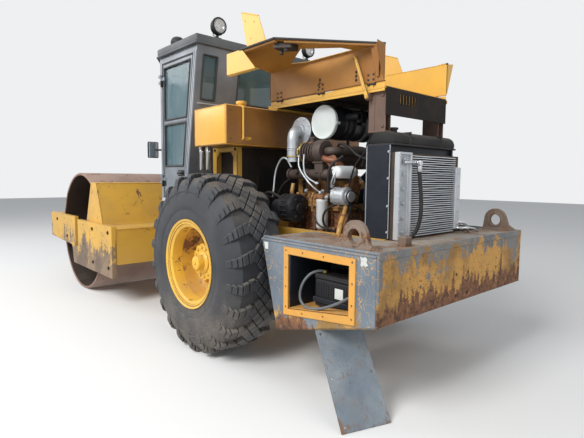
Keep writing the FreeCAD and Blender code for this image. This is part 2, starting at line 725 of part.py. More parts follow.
def engine_block():
    block = box(-980.0, -350.0, -230.0, 230.0, 830.0, 1200.0)
    sump = prism([(-960.0, 640.0), (-960.0, 830.0), (-380.0, 830.0), (-520.0, 640.0)], "y", -150.0, 150.0)
    skirt = box(-960.0, -370.0, -260.0, 260.0, 900.0, 1010.0)
    bell = rod(-350.0, 0.0, 1010.0, 235.0, 120.0, "x")
    feet = []
    for x in (-900.0, -420.0):
        feet.append(box(x - 40.0, x + 40.0, -RAIL_IN_Y, RAIL_IN_Y, 930.0, 990.0))
    head = [box(-960.0, -370.0, -190.0, 250.0, 1199.0, 1340.0)]
    for index in range(3):
        x = -930.0 + index * 195.0
        head.append(box(x, x + 165.0, -150.0, 170.0, 1339.0, 1430.0))
        head.append(box(x + 15.0, x + 150.0, -120.0, 140.0, 1429.0, 1450.0))
    ribs = []
    for index in range(6):
        x = -905.0 + index * 97.0
        ribs.append(box(x, x + 26.0, 229.0, 252.0, 1030.0, 1200.0))
    pump = [
        box(-905.0, -690.0, -305.0, -229.0, 1120.0, 1200.0),
        box(-905.0, -690.0, -300.0, -255.0, 1199.0, PUMP_TOP_Z),
        rod(-945.0, -280.0, 1165.0, 46.0, 45.0, "x"),
    ]
    cover = rod(-1000.0, 0.0, 900.0, 110.0, 30.0, "x")
    return join([block, sump, skirt, bell, cover] + feet + head + ribs + pump)


def injection_lines():
    """Thin steel pipes from the injection pump up to the head."""
    solids = []
    for index in range(6):
        pump_x = -875.0 + index * 34.0
        head_x = -905.0 + index * 97.0
        level = PUMP_TOP_Z + 30.0 + index * 11.0
        route = [
            V(pump_x, -278.0, PUMP_TOP_Z), V(pump_x, -278.0, level), V(head_x, -278.0, level),
            V(head_x, -190.0, level),
        ]
        solids.append(mitred(route, 5.0))
    return solids


def engine_hoses():
    """Coolant hoses between engine and radiator, injection pipes and the drain hose."""
    top = pipe([
        V(-960.0, -110.0, 1320.0), V(-1020.0, -110.0, 1320.0), V(-1040.0, -110.0, 1640.0),
        V(-1200.0, -110.0, 1745.0), V(-1290.0, -110.0, 1745.0),
    ], 32.0, 60.0)
    low = pipe([
        V(-980.0, -150.0, 1080.0), V(-1060.0, -150.0, 1080.0), V(-1100.0, -330.0, 1110.0),
        V(-1280.0, -330.0, 1110.0),
    ], 34.0, 60.0)
    return Part.makeCompound([top, low] + injection_lines())


def muffler():
    """Silencer on the engine's right side, with its tail pipe down past the frame."""
    can = rod(-930.0, -270.0, 1640.0, 95.0, 520.0, "x")
    inlet = pipe([
        V(-801.0, 320.0, 1680.0), V(-880.0, 320.0, 1680.0), V(-880.0, 0.0, 1700.0), V(-880.0, -270.0, 1660.0),
    ], 34.0, 60.0)
    tail = pipe([
        V(-420.0, -270.0, 1640.0), V(-340.0, -270.0, 1640.0), V(-340.0, -500.0, 1560.0),
        V(-340.0, -500.0, 900.0),
    ], 34.0, 60.0)
    straps = [box(x - 15.0, x + 15.0, -290.0, -266.0, 1730.0, ROOF_LOW_Z) for x in (-860.0, -500.0)]
    return join([can, inlet, tail] + straps)


def exhaust_manifold():
    pieces = [rod(-930.0, 315.0, 1500.0, 42.0, 540.0, "x")]
    for index in range(3):
        x = -860.0 + index * 195.0
        pieces.append(box(x - 28.0, x + 28.0, 160.0, 320.0, 1462.0, 1520.0))
    turbo = rod(-800.0, 320.0, 1680.0, 92.0, 90.0, "x")
    for index in range(5):
        x = -700.0 + index * 30.0
        turbo = turbo.fuse(rod(x, 320.0, 1680.0, 78.0, 14.0, "x"))
    core = rod(-760.0, 320.0, 1680.0, 55.0, 215.0, "x")
    scroll = Part.makeTorus(60.0, 32.0, V(-765.0, 320.0, 1680.0), V(1, 0, 0))
    band = rod(-566.0, 320.0, 1680.0, 80.0, 16.0, "x")
    outlet = rod(-640.0, 320.0, 1740.0, 28.0, 62.0, "z")
    neck = box(-790.0, -700.0, 280.0, 360.0, 1500.0, 1680.0)
    return join(pieces + [turbo, core, neck, scroll, band, outlet])


def air_cleaner():
    body = rod(-750.0, 300.0, 1915.0, 128.0, -560.0, "y")
    lid = rod(-750.0, 290.0, 1915.0, 137.0, 22.0, "y")
    ring = rod(-750.0, 60.0, 1915.0, 137.0, 30.0, "y")
    straps = []
    for y in (120.0, -180.0):
        straps.append(box(-765.0, -735.0, y - 20.0, y + 20.0, 1915.0, ROOF_LOW_Z))
    return join([body, lid, ring] + straps)


def intake_pipe():
    """Grey elbow from the flange beside the air cleaner down to the blower."""
    x = -490.0
    y = 405.0
    z = 1860.0
    flange = rod(x, 300.0, z, 118.0, 14.0, "y")
    chamber = rod(x, 302.0, z, 70.0, -300.0, "y")
    duct = box(-622.0, x, 30.0, 150.0, z - 50.0, z + 50.0)
    elbow = pipe([V(x, 300.0, z), V(x, y, z), V(x, y, 1690.0)], 46.0, 75.0)
    end = rod(x, y, 1691.0, 46.0, -90.0, "z")
    inlet = rod(-545.0, 350.0, 1660.0, 30.0, 60.0, "x")
    strap = box(x - 20.0, x + 20.0, 20.0, 60.0, z, ROOF_LOW_Z)
    shape = join([flange, chamber, duct, elbow, end, inlet, strap])
    return shape.cut(rod(-750.0, 310.0, 1915.0, 137.0, -400.0, "y"))


def oil_filters():
    solids = []
    upright = rod(-770.0, 330.0, 1060.0, 48.0, 260.0, "z")
    head = box(-815.0, -725.0, 250.0, 370.0, 1300.0, 1335.0)
    solids.append(join([upright, head]))
    level = rod(-1010.0, 250.0, 1515.0, 48.0, 190.0, "y")
    arm = box(-1030.0, -961.0, 150.0, 262.0, 1360.0, 1480.0)
    foot = box(-1030.0, -960.0, 150.0, 230.0, 1290.0, 1380.0)
    solids.append(join([level, arm, foot]))
    return solids


def alternator():
    can = rod(-1050.0, 335.0, 1330.0, 72.0, 140.0, "x")
    pulley = rod(-1085.0, 335.0, 1330.0, 40.0, 40.0, "x")
    bracket = box(-955.0, -915.0, 250.0, 330.0, 1280.0, 1330.0)
    return join([can, pulley, bracket])


def air_pump():
    body = rod(-560.0, 385.0, 1215.0, 120.0, 230.0, "x")
    nose = rod(-331.0, 385.0, 1215.0, 70.0, 70.0, "x")
    bracket = box(-540.0, -380.0, 250.0, 330.0, 1215.0, 1290.0)
    return join([body, nose, bracket])


def engine_fan():
    hub = rod(-1120.0, 0.0, 1330.0, 60.0, 160.0, "x")
    shaft = rod(-1119.0, 0.0, 1150.0, 55.0, 139.0, "x")
    pieces = [hub, box(-1060.0, -1000.0, -35.0, 35.0, 1150.0, 1330.0), shaft]
    for index in range(8):
        blade = box(-1110.0, -1085.0, -45.0, 45.0, 1380.0, 1600.0)
        blade.rotate(V(-1100.0, 0.0, 1330.0), V(1, 0, 0), index * 45.0)
        pieces.append(blade)
    return join(pieces)


def engine_drives():
    """Alternator, black pump and fan, all carried by the engine."""
    return Part.makeCompound([alternator(), air_pump(), engine_fan()])


RAD_FRONT_X = -1280.0
RAD_REAR_X = -1480.0
RAD_HALF = 410.0
RAD_LOW_Z = 1050.0
RAD_TOP_Z = 1700.0
RAD_TANK_TOP_Z = 1790.0
FIN_COUNT = 36
FIN_PITCH = 16.0


def radiator():
    shell = box(RAD_REAR_X, RAD_FRONT_X, -RAD_HALF, RAD_HALF, RAD_LOW_Z, RAD_TOP_Z)
    shroud = rod(RAD_FRONT_X - 1.0, 0.0, 1330.0, 300.0, 111.0, "x")
    throat = rod(RAD_FRONT_X, 0.0, 1330.0, 288.0, 200.0, "x")
    tank = box(-1500.0, -1290.0, -400.0, 400.0, RAD_TOP_Z - 1.0, RAD_TANK_TOP_Z)
    return join([shell, shroud.cut(throat), tank] + cooler())


def cooler():
    """Oil cooler on the radiator's rear face: side channels and a stack of fins."""
    rear = RAD_REAR_X - 70.0
    left = box(rear, RAD_REAR_X, 245.0, 400.0, RAD_LOW_Z, 1645.0)
    right = box(rear, RAD_REAR_X, -430.0, -350.0, RAD_LOW_Z + 30.0, 1560.0)
    pieces = [left, right]
    for index in range(FIN_COUNT):
        z = RAD_LOW_Z + 12.0 + index * FIN_PITCH
        pieces.append(box(rear + 10.0, RAD_REAR_X, -352.0, 247.0, z, z + FIN_PITCH * 0.4))
    pieces.append(box(rear + 40.0, RAD_REAR_X, -352.0, 247.0, RAD_LOW_Z, 1645.0))
    return pieces


def cooler_hose():
    y = 205.0
    x = RAD_REAR_X - 105.0
    return pipe([
        V(RAD_REAR_X - 60.0, y, 1560.0), V(x, y, 1560.0), V(x - 30.0, y + 30.0, 1300.0),
        V(x, y + 60.0, 1062.0),
    ], 13.0, 30.0)


# Hood over the engine
def hinge_places():
    """Middles of the hood's hinges along X."""
    return (-1300.0, -810.0, -320.0)


def hood_frame():
    """Fixed roof tray with its louvred rear panel and the fixed halves of the hinges."""
    half = HOOD_HALF - 12.0
    pieces = [
        box(HOOD_REAR_X, HOOD_FRONT_X, -half, half, ROOF_LOW_Z, ROOF_LOW_Z + 8.0),
        box(HOOD_FRONT_X - 1.0, HOOD_FRONT_X + 120.0, -half, half, TANK_TOP_Z, ROOF_LOW_Z + 8.0),
    ]
    for sign in (1.0, -1.0):
        edge = [sign * (half - 8.0), sign * (HOOD_HALF + 8.0)]
        pieces.append(box(HOOD_REAR_X, HOOD_FRONT_X, edge[0], edge[1], ROOF_LOW_Z - 8.0, ROOF_LOW_Z))
        for x in hinge_places():
            for start in (x - 80.0, x + 42.0):
                pieces.append(rod(start, sign * HOOD_HALF, HOOD_HINGE_Z, HINGE_R, 38.0, "x"))
                pieces.append(box(start, start + 38.0, sign * (HOOD_HALF - 8.0), sign * (HOOD_HALF + 8.0),
                                  ROOF_LOW_Z - 1.0, HOOD_HINGE_Z))
            pieces.append(rod(x - 79.0, sign * HOOD_HALF, HOOD_HINGE_Z, HINGE_PIN_R, 158.0, "x"))
    panel = box(HOOD_REAR_X, HOOD_REAR_X + SHEET, -half, half, 1905.0, ROOF_LOW_Z + 8.0)
    for index in range(6):
        y = 40.0 + index * 36.0
        panel = panel.cut(box(HOOD_REAR_X - 1.0, HOOD_REAR_X + 8.0, y, y + 18.0, 1990.0, 2060.0))
    return join(pieces + [panel])


PROP_X = -1282.0
PROP_Z = 2030.0
PROP_Y = HOOD_HALF + 30.0
PROP_PIN_R = 8.0
PROP_EYE_HALF = 12.0


def hood_posts():
    """Ducted posts from the radiator up to the roof tray, with the props' pins."""
    solids = []
    for sign in (1.0, -1.0):
        post = box(-1413.0, -1262.0, sign * 310.0, sign * 378.0, RAD_TANK_TOP_Z, ROOF_LOW_Z - 8.0)
        ear_x = PROP_X - PROP_EYE_HALF - 6.0
        ear = box(ear_x - 12.0, ear_x, sign * 377.0, sign * (PROP_Y + 18.0), PROP_Z - 18.0, PROP_Z + 18.0)
        pin = rod(ear_x - 1.0, sign * PROP_Y, PROP_Z, PROP_PIN_R, 2.0 * PROP_EYE_HALF + 8.0, "x")
        solids.append(join([post, ear, pin]))
    return Part.makeCompound(solids)


HINGE_R = 12.0
HINGE_PIN_R = 6.0


def hood_door():
    """One wing of the hood, raised: shoulder wall, leaf with its cut-out, skirt and flap."""
    y = HOOD_HALF
    base = HOOD_HINGE_Z
    top = base + SHOULDER
    front = HOOD_FRONT_X - 30.0
    rear = HOOD_REAR_X + 8.0
    wall = box(rear, front, y, y + SHEET, base + HINGE_R, top + 5.0)
    tilt = math.radians(LEAF_TILT)

    def leaf_point(x, reach):
        return V(x, y + reach * math.cos(tilt), top + reach * math.sin(tilt))

    def leaf_slab(points):
        corners = [leaf_point(x, reach) for x, reach in points]
        lift = V(0, -math.sin(tilt), math.cos(tilt)) * SHEET
        return Part.Face(Part.makePolygon(corners + corners[:1])).extrude(lift)

    reach = LEAF_REACH
    leaf = leaf_slab([
        (rear, 0.0), (-790.0, reach), (-400.0, reach), (front, reach - 40.0), (front, 0.0),
    ])
    hole = leaf_slab([(-1150.0, 30.0), (-1100.0, 105.0), (-830.0, 240.0), (-530.0, 70.0), (-660.0, 30.0)])
    hole.translate(V(0, 0, -SHEET))
    thick_hole = hole.fuse(hole.translated(V(0, 0, SHEET))).fuse(hole.translated(V(0, 0, 2.0 * SHEET)))
    leaf = leaf.cut(thick_hole)
    edge = leaf_point(0.0, reach)
    skirt = prism([
        (front, edge.z + SHEET), (-400.0, edge.z + SHEET), (-575.0, edge.z - 165.0), (front, edge.z - 160.0),
    ], "y", edge.y - SHEET, edge.y)
    strip = box(-572.0, front, edge.y - 40.0, edge.y, edge.z - 166.0, edge.z - 160.0)
    flap = prism([
        (-470.0, edge.z), (-390.0, edge.z + 280.0), (-610.0, edge.z + 205.0), (-700.0, edge.z),
    ], "y", edge.y - SHEET, edge.y)
    heel = base + HINGE_R + 10.0
    end = prism([(y, heel), (y + 10.0, heel), (y + 90.0, top), (y, top)], "x", rear, rear + SHEET)
    knuckles = []
    for x in hinge_places():
        knuckles.append(rod(x - 40.0, y, base, HINGE_R, 80.0, "x"))
        knuckles.append(box(x - 40.0, x + 40.0, y, y + SHEET, base, base + 60.0))
    door = join([wall, leaf, skirt, strip, flap, end] + knuckles)
    return door.cut(rod(rear - 50.0, y, base, HINGE_PIN_R + FIT, front - rear + 100.0, "x"))


# Tank behind the cab
def tank():
    body = box(TANK_REAR_X, TANK_FRONT_X, -TANK_HALF, TANK_HALF, TANK_LOW_Z, TANK_TOP_Z)
    filler = rod(TANK_REAR_X + 130.0, 600.0, TANK_TOP_Z, 40.0, 60.0, "z")
    grip = box(TANK_REAR_X - 22.0, TANK_REAR_X - 8.0, 676.0, 690.0, TANK_LOW_Z + 45.0, TANK_TOP_Z - 10.0)
    feet = []
    for z in (TANK_LOW_Z + 45.0, TANK_TOP_Z - 24.0):
        feet.append(box(TANK_REAR_X - 10.0, TANK_REAR_X, 676.0, 690.0, z, z + 14.0))
    catch = box(TANK_REAR_X - 14.0, TANK_REAR_X, 600.0, 650.0, TANK_LOW_Z + 40.0, TANK_LOW_Z + 70.0)
    return join([body, filler, grip, catch] + feet)


STAND_IN_Y = 545.0
STAND_OUT_Y = 600.0


def tank_stand():
    """Two portal frames under the tank and the panel between engine and cab."""
    head_low = TANK_LOW_Z - 40.0
    pieces = []
    for sign in (1.0, -1.0):
        y0 = sign * STAND_IN_Y
        y1 = sign * STAND_OUT_Y
        pieces.append(box(35.0, 432.0, y0, y1, head_low, TANK_LOW_Z))
        pieces.append(box(35.0, 97.0, y0, y1, RAIL_TOP_Z, head_low))
        pieces.append(box(362.0, 432.0, y0, y1, RAIL_TOP_Z, head_low))
        pieces.append(box(35.0, 432.0, sign * RAIL_IN_Y, y1, RAIL_TOP_Z, RAIL_TOP_Z + 30.0))
    panel_x = 35.0
    pieces.append(box(panel_x, panel_x + 12.0, -STAND_IN_Y, STAND_IN_Y, 1330.0, TANK_LOW_Z))
    pieces.append(box(panel_x, panel_x + 12.0, -300.0, 300.0, 1120.0, 1330.0))
    return join(pieces)


def fuel_filters():
    solids = []
    for x in (325.0, 215.0):
        bowl = rod(x, 780.0, 1525.0, 25.0, 185.0, "z")
        head = box(x - 14.0, x + 14.0, 755.0, 805.0, 1700.0, TANK_LOW_Z)
        solids.append(join([bowl, head]))
    return solids


def filters():
    """Oil filters on the engine and fuel filters under the tank."""
    return Part.makeCompound(oil_filters() + fuel_filters())


# Cab
CAB_HEEL_X = 720.0
CAB_HEEL_Z = 1200.0
CAB_KNEE_X = 560.0
CAB_KNEE_Z = 1420.0
CAB_BACK_TOP_X = 360.0


def back_x(z):
    """The rear wall's outer face leans back: its x at a height above the knee."""
    share = (z - CAB_KNEE_Z) / (CAB_TOP_Z - CAB_KNEE_Z)
    return CAB_KNEE_X + share * (CAB_BACK_TOP_X - CAB_KNEE_X)


DOOR_FRONT_X = 1060.0
DOOR_HINGE_X = 1052.0
DOOR_HINGE_Y = CAB_HALF + 12.0
DOOR_HINGE_ZS = (1400.0, 2400.0)
DOOR_PIN_R = 6.0
DOOR_HEEL_X = 745.0
DOOR_LOW_Z = 1260.0
DOOR_KNEE_Z = 1450.0
DOOR_TOP_Z = 2600.0
DOOR_POST = 55.0


def door_outline(shrink):
    """Side view of the doorway, or of the door when shrunk by the gap round it."""
    return [
        (DOOR_FRONT_X - shrink, DOOR_LOW_Z + shrink),
        (DOOR_HEEL_X + shrink, DOOR_LOW_Z + shrink),
        (back_x(DOOR_KNEE_Z) + DOOR_POST + shrink, DOOR_KNEE_Z),
        (back_x(DOOR_TOP_Z) + DOOR_POST + shrink, DOOR_TOP_Z - shrink),
        (DOOR_FRONT_X - shrink, DOOR_TOP_Z - shrink),
    ]


def cab_outline():
    return [
        (CAB_CORNER_X, CAB_FLOOR_Z), (CAB_HEEL_X, CAB_HEEL_Z), (CAB_KNEE_X, CAB_KNEE_Z),
        (CAB_BACK_TOP_X, CAB_TOP_Z), (CAB_CORNER_X, CAB_TOP_Z),
    ]


def cab_plan(inset):
    """Plan of the cab's front part, drawn in from the outside by an inset."""
    side = CAB_HALF - inset
    nose = CAB_FRONT_HALF - inset * 0.7
    front = CAB_FRONT_X - inset
    return [
        (CAB_CORNER_X - 1.0, -side), (CAB_CORNER_X, -side), (front, -nose), (front, nose),
        (CAB_CORNER_X, side), (CAB_CORNER_X - 1.0, side),
    ]


FRONT_GLASS_LOW_Z = 1360.0
FRONT_GLASS_TOP_Z = 2590.0
REAR_GLASS_LOW_Z = 2190.0
REAR_GLASS_TOP_Z = 2580.0
REAR_GLASS_HALF = 735.0


def cab_solid():
    outer = cab_outer()
    wall = CAB_WALL
    inner = prism([
        (CAB_CORNER_X, CAB_FLOOR_Z + wall), (CAB_HEEL_X + wall * 0.6, CAB_HEEL_Z + wall),
        (CAB_KNEE_X + wall * 1.2, CAB_KNEE_Z), (CAB_BACK_TOP_X + wall, CAB_TOP_Z + 1.0),
        (CAB_CORNER_X, CAB_TOP_Z + 1.0),
    ], "y", -CAB_HALF + wall, CAB_HALF - wall)
    inner = inner.fuse(prism(cab_plan(wall), "z", CAB_FLOOR_Z + wall, CAB_TOP_Z + 1.0))
    return outer.cut(inner)


def rear_window(half, y_mid):
    return box(CAB_BACK_TOP_X - 60.0, CAB_KNEE_X + 60.0, y_mid - half, y_mid + half,
               REAR_GLASS_LOW_Z, REAR_GLASS_TOP_Z)


def cab_openings():
    """Window and door cuts through the cab's shell."""
    cuts = []
    doorway = prism(door_outline(0.0), "y", CAB_HALF - CAB_WALL - 5.0, CAB_HALF + 5.0)
    cuts += [doorway, mirrored(doorway)]
    middle = REAR_GLASS_HALF * 2.0 / 3.0 - 20.0
    cuts.append(rear_window(middle / 2.0 + 95.0, 0.0))
    for sign in (1.0, -1.0):
        cuts.append(rear_window(75.0, sign * (REAR_GLASS_HALF - 80.0)))
    cuts.append(box(CAB_FRONT_X - 60.0, CAB_FRONT_X + 10.0, -CAB_FRONT_HALF + 45.0, CAB_FRONT_HALF - 45.0,
                    FRONT_GLASS_LOW_Z, FRONT_GLASS_TOP_Z))
    for sign in (1.0, -1.0):
        cuts.append(corner_pane(sign, 60.0))
    return cuts


def corner_pane(sign, thick):
    """A slab in the slanted corner wall: thick enough for a cut, or thin for its glass."""
    start = V(CAB_CORNER_X, sign * CAB_HALF, 0)
    end = V(CAB_FRONT_X, sign * CAB_FRONT_HALF, 0)
    along = (end - start).normalize()
    out = V(-along.y, along.x, 0) * sign
    length = (end - start).Length
    near = start + along * 55.0
    far = start + along * (length - 45.0)
    mid = out * (-CAB_WALL / 2.0)
    low = FRONT_GLASS_LOW_Z
    high = FRONT_GLASS_TOP_Z
    a = near + mid - out * (thick / 2.0)
    b = far + mid - out * (thick / 2.0)
    corners = [V(a.x, a.y, low), V(b.x, b.y, low), V(b.x, b.y, high), V(a.x, a.y, high)]
    return Part.Face(Part.makePolygon(corners + corners[:1])).extrude(out * thick)


def cab_shell():
    """Welded cab body with its window and door openings and the fixed halves of the hinges."""
    shell = cab_solid()
    for cut in cab_openings():
        shell = shell.cut(cut)
    pieces = [shell]
    for z in DOOR_HINGE_ZS:
        for low in (z, z + 62.0):
            block = box(DOOR_HINGE_X, DOOR_FRONT_X + 36.0, CAB_HALF - 1.0, CAB_HALF + 24.0, low, low + 28.0)
            pieces.append(block)
            pieces.append(mirrored(block))
        pin = rod(DOOR_HINGE_X, DOOR_HINGE_Y, z, DOOR_PIN_R, 90.0, "z")
        pieces.append(pin)
        pieces.append(mirrored(pin))
    return join(pieces)


def cab_glass():
    thick = 6.0
    panes = []
    mid_x = CAB_FRONT_X - CAB_WALL / 2.0
    panes.append(box(mid_x - thick / 2.0, mid_x + thick / 2.0, -CAB_FRONT_HALF + 45.0,
                     CAB_FRONT_HALF - 45.0, FRONT_GLASS_LOW_Z, FRONT_GLASS_TOP_Z))
    for sign in (1.0, -1.0):
        panes.append(corner_pane(sign, thick))
    lean = [(back_x(REAR_GLASS_LOW_Z) + 12.0, REAR_GLASS_LOW_Z),
            (back_x(REAR_GLASS_LOW_Z) + 12.0 + thick, REAR_GLASS_LOW_Z),
            (back_x(REAR_GLASS_TOP_Z) + 12.0 + thick, REAR_GLASS_TOP_Z),
            (back_x(REAR_GLASS_TOP_Z) + 12.0, REAR_GLASS_TOP_Z)]
    middle = (REAR_GLASS_HALF * 2.0 / 3.0 - 20.0) / 2.0 + 95.0
    panes.append(prism(lean, "y", -middle, middle))
    for sign in (1.0, -1.0):
        y = sign * (REAR_GLASS_HALF - 80.0)
        panes.append(prism(lean, "y", y - 75.0, y + 75.0))
    return Part.makeCompound(panes)


def cab_roof():
    over = 25.0
    plan = [
        (CAB_BACK_TOP_X - over, -CAB_HALF - over), (CAB_CORNER_X, -CAB_HALF - over),
        (CAB_FRONT_X + over, -CAB_FRONT_HALF - over), (CAB_FRONT_X + over, CAB_FRONT_HALF + over),
        (CAB_CORNER_X, CAB_HALF + over), (CAB_BACK_TOP_X - over, CAB_HALF + over),
    ]
    return prism(plan, "z", CAB_TOP_Z, CAB_TOP_Z + 90.0)


DOOR_SASH = 45.0
DOOR_RAIL_Z = 2010.0
DOOR_PANEL_Z = 1575.0


def door_windows():
    """The door's lower and upper panes, seen from the side."""
    front = DOOR_FRONT_X - CLEAR - DOOR_SASH
    lower = []
    upper = []
    for z in (DOOR_PANEL_Z, DOOR_RAIL_Z - 25.0):
        lower.append((back_x(z) + DOOR_POST + CLEAR + DOOR_SASH, z))
    for z in (DOOR_RAIL_Z + 25.0, DOOR_TOP_Z - CLEAR - DOOR_SASH):
        upper.append((back_x(z) + DOOR_POST + CLEAR + DOOR_SASH, z))
    panes = []
    for edge in (lower, upper):
        panes.append([edge[0], edge[1], (front, edge[1][1]), (front, edge[0][1])])
    return panes


def cab_door():
    leaf = prism(door_outline(CLEAR), "y", CAB_HALF - CAB_WALL, CAB_HALF)
    for pane in door_windows():
        leaf = leaf.cut(prism(pane, "y", CAB_HALF - CAB_WALL - 1.0, CAB_HALF + 1.0))
    grip_x = back_x(1500.0) + 100.0
    handle = box(grip_x, grip_x + 70.0, CAB_HALF - 1.0, CAB_HALF + 22.0, 1490.0, 1520.0)
    pieces = [leaf, handle]
    for z in DOOR_HINGE_ZS:
        low = z + 30.0
        pieces.append(rod(DOOR_HINGE_X, DOOR_HINGE_Y, low, 12.0, 30.0, "z"))
        pieces.append(box(DOOR_HINGE_X - 60.0, DOOR_HINGE_X, CAB_HALF - 1.0, DOOR_HINGE_Y, low, low + 30.0))
    door = join(pieces)
    return door.cut(rod(DOOR_HINGE_X, DOOR_HINGE_Y, 1300.0, DOOR_PIN_R + FIT, 1300.0, "z"))


def cab_door_glass():
    mid = CAB_HALF - CAB_WALL / 2.0
    panes = [prism(pane, "y", mid - 3.0, mid + 3.0) for pane in door_windows()]
    return Part.makeCompound(panes)


def seat():
    floor = CAB_FLOOR_Z + CAB_WALL
    base = box(760.0, 960.0, -150.0, 150.0, floor, floor + 260.0)
    cushion = box(720.0, 1130.0, -240.0, 240.0, floor + 260.0, floor + 380.0)
    back = prism([
        (700.0, floor + 340.0), (800.0, floor + 340.0), (740.0, floor + 900.0), (660.0, floor + 900.0),
    ], "y", -230.0, 230.0)
    return join([base, cushion, back])


def console():
    floor = CAB_FLOOR_Z + CAB_WALL
    column = box(1300.0, 1380.0, -90.0, 90.0, floor, floor + 560.0)
    dash = box(1270.0, 1400.0, -240.0, 240.0, floor + 540.0, floor + 660.0)
    wheel_at = V(1220.0, 0.0, floor + 680.0)
    tilt = V(-0.5, 0, 0.87)
    shaft = bar(V(1320.0, 0.0, floor + 540.0), wheel_at, 20.0)
    ring = Part.makeTorus(190.0, 14.0, wheel_at, tilt)
    spokes = Part.makeCylinder(12.0, 380.0, wheel_at - V(0, 190.0, 0), V(0, 1, 0))
    return join([column, dash, shaft, spokes, ring])


LAMP_R = 77.0
LAMP_DEPTH = 90.0


def work_lamps():
    solids = []
    lamp_z = CAB_TOP_Z + 90.0 + 110.0
    for x, direction in ((CAB_BACK_TOP_X - 20.0, -1.0), (CAB_CORNER_X + 60.0, 1.0)):
        for sign in (1.0, -1.0):
            y = sign * 575.0
            can = rod(x, y, lamp_z, LAMP_R, direction * LAMP_DEPTH, "x")
            face_x = x + direction * (LAMP_DEPTH - 14.0)
            can = can.cut(rod(face_x, y, lamp_z, LAMP_R - 8.0, direction * 20.0, "x"))
            foot_x = x + direction * 10.0
            foot = box(foot_x - 12.0, foot_x + 30.0, y - 15.0, y + 15.0, CAB_TOP_Z + 90.0, lamp_z)
            solids.append(join([can, foot]))
    return Part.makeCompound(solids)


def cab_outer():
    """The cab's outside as a solid, to trim what is bolted to it."""
    side = prism(cab_outline(), "y", -CAB_HALF, CAB_HALF)
    return side.fuse(prism(cab_plan(0.0), "z", CAB_FLOOR_Z, CAB_TOP_Z))


def mirrors():
    solids = []
    for sign in (1.0, -1.0):
        y = sign * (CAB_HALF + 60.0)
        glass = box(1150.0, 1180.0, y - 60.0, y + 60.0, 1660.0, 1830.0)
        arm = box(1105.0, 1165.0, sign * (CAB_HALF - 70.0), y, 1735.0, 1755.0)
        solids.append(join([glass, arm]).cut(cab_outer()))
    return Part.makeCompound(solids)


def prop_bar():
    """Bar that holds a raised hood wing up, pinned to the post."""
    foot = V(PROP_X, PROP_Y, PROP_Z)
    top = V(-1172.0, PROP_Y, 2320.0)
    eye = rod(foot.x - PROP_EYE_HALF, foot.y, foot.z, 20.0, 2.0 * PROP_EYE_HALF, "x")
    shaft = join([bar(foot + (top - foot) * 0.04, top, 11.0), eye])
    return shaft.cut(rod(foot.x - 30.0, foot.y, foot.z, PROP_PIN_R + FIT, 60.0, "x"))


def main():
    """Write every node."""
    sided = {
        "tyre": tyre,
        "rim": rim,
        "side_plate": side_plate,
        "steer_barrel": steer_barrel,
        "steer_rod": steer_rod,
        "hood_door": hood_door,
        "hood_prop": prop_bar,
        "cab_door": cab_door,
        "door_glass": cab_door_glass,
    }
    for node, make in sided.items():
        shape = make()
        save(shape, node + "_left")
        save(mirrored(shape), node + "_right")
    whole = {
        "chassis": chassis,
        "rear_axle": rear_axle,
        "counterweight": counterweight,
        "battery": battery,
        "cover_plate": cover_plate,
        "front_beam": front_beam,
        "rear_beam": rear_beam,
        "drum_fender": drum_fender,
        "drum_mounts": drum_mounts,
        "drum_shell": drum_shell,
        "drum_heads": drum_heads,
        "engine_block": engine_block,
        "exhaust_manifold": exhaust_manifold,
        "air_cleaner": air_cleaner,
        "intake_pipe": intake_pipe,
        "filters": filters,
        "engine_drives": engine_drives,
        "radiator": radiator,
        "cooler_hose": cooler_hose,
        "engine_hoses": engine_hoses,
        "muffler": muffler,
        "boarding_steps": boarding_steps,
        "hood_frame": hood_frame,
        "hood_posts": hood_posts,
        "tank": tank,
        "tank_stand": tank_stand,
        "cab_shell": cab_shell,
        "cab_glass": cab_glass,
        "cab_roof": cab_roof,
        "seat": seat,
        "console": console,
        "work_lamps": work_lamps,
        "mirrors": mirrors,
    }
    for node, make in whole.items():
        save(make(), node)


main()
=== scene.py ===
"""Road roller in its working wear: yellow cab machine with an open engine bay and a grey weight.

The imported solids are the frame. Each class below models one sub-assembly over them, in metres,
with +X forward, +Y to the machine's left and the ground at zero. Lengths along X are first set
from the rear axle; Workshop.settle moves each finished piece to where the axle is.
"""
from __future__ import annotations

import json
import logging
import math
from dataclasses import dataclass
from enum import Enum
from typing import Iterable, Sequence

import bpy
from mathutils import Matrix, Vector

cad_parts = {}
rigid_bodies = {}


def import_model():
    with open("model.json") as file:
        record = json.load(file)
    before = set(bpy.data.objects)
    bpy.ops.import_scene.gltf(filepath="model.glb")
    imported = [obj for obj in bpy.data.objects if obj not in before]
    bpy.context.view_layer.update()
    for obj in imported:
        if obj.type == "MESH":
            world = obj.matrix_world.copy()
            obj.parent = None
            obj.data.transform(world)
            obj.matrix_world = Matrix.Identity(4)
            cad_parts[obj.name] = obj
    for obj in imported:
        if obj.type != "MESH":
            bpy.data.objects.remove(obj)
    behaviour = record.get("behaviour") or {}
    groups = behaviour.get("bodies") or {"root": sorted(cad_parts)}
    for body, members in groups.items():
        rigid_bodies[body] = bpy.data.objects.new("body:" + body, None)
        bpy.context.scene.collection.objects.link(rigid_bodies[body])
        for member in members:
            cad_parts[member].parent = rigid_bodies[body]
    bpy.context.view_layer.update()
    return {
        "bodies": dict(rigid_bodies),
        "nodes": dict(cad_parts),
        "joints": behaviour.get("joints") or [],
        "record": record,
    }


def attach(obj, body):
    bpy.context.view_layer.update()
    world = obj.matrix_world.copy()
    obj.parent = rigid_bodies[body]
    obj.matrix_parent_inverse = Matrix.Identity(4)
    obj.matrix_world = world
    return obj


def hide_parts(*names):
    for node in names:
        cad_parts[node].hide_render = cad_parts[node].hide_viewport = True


LOG = logging.getLogger("road_roller")
REAR_AXLE = -1.110
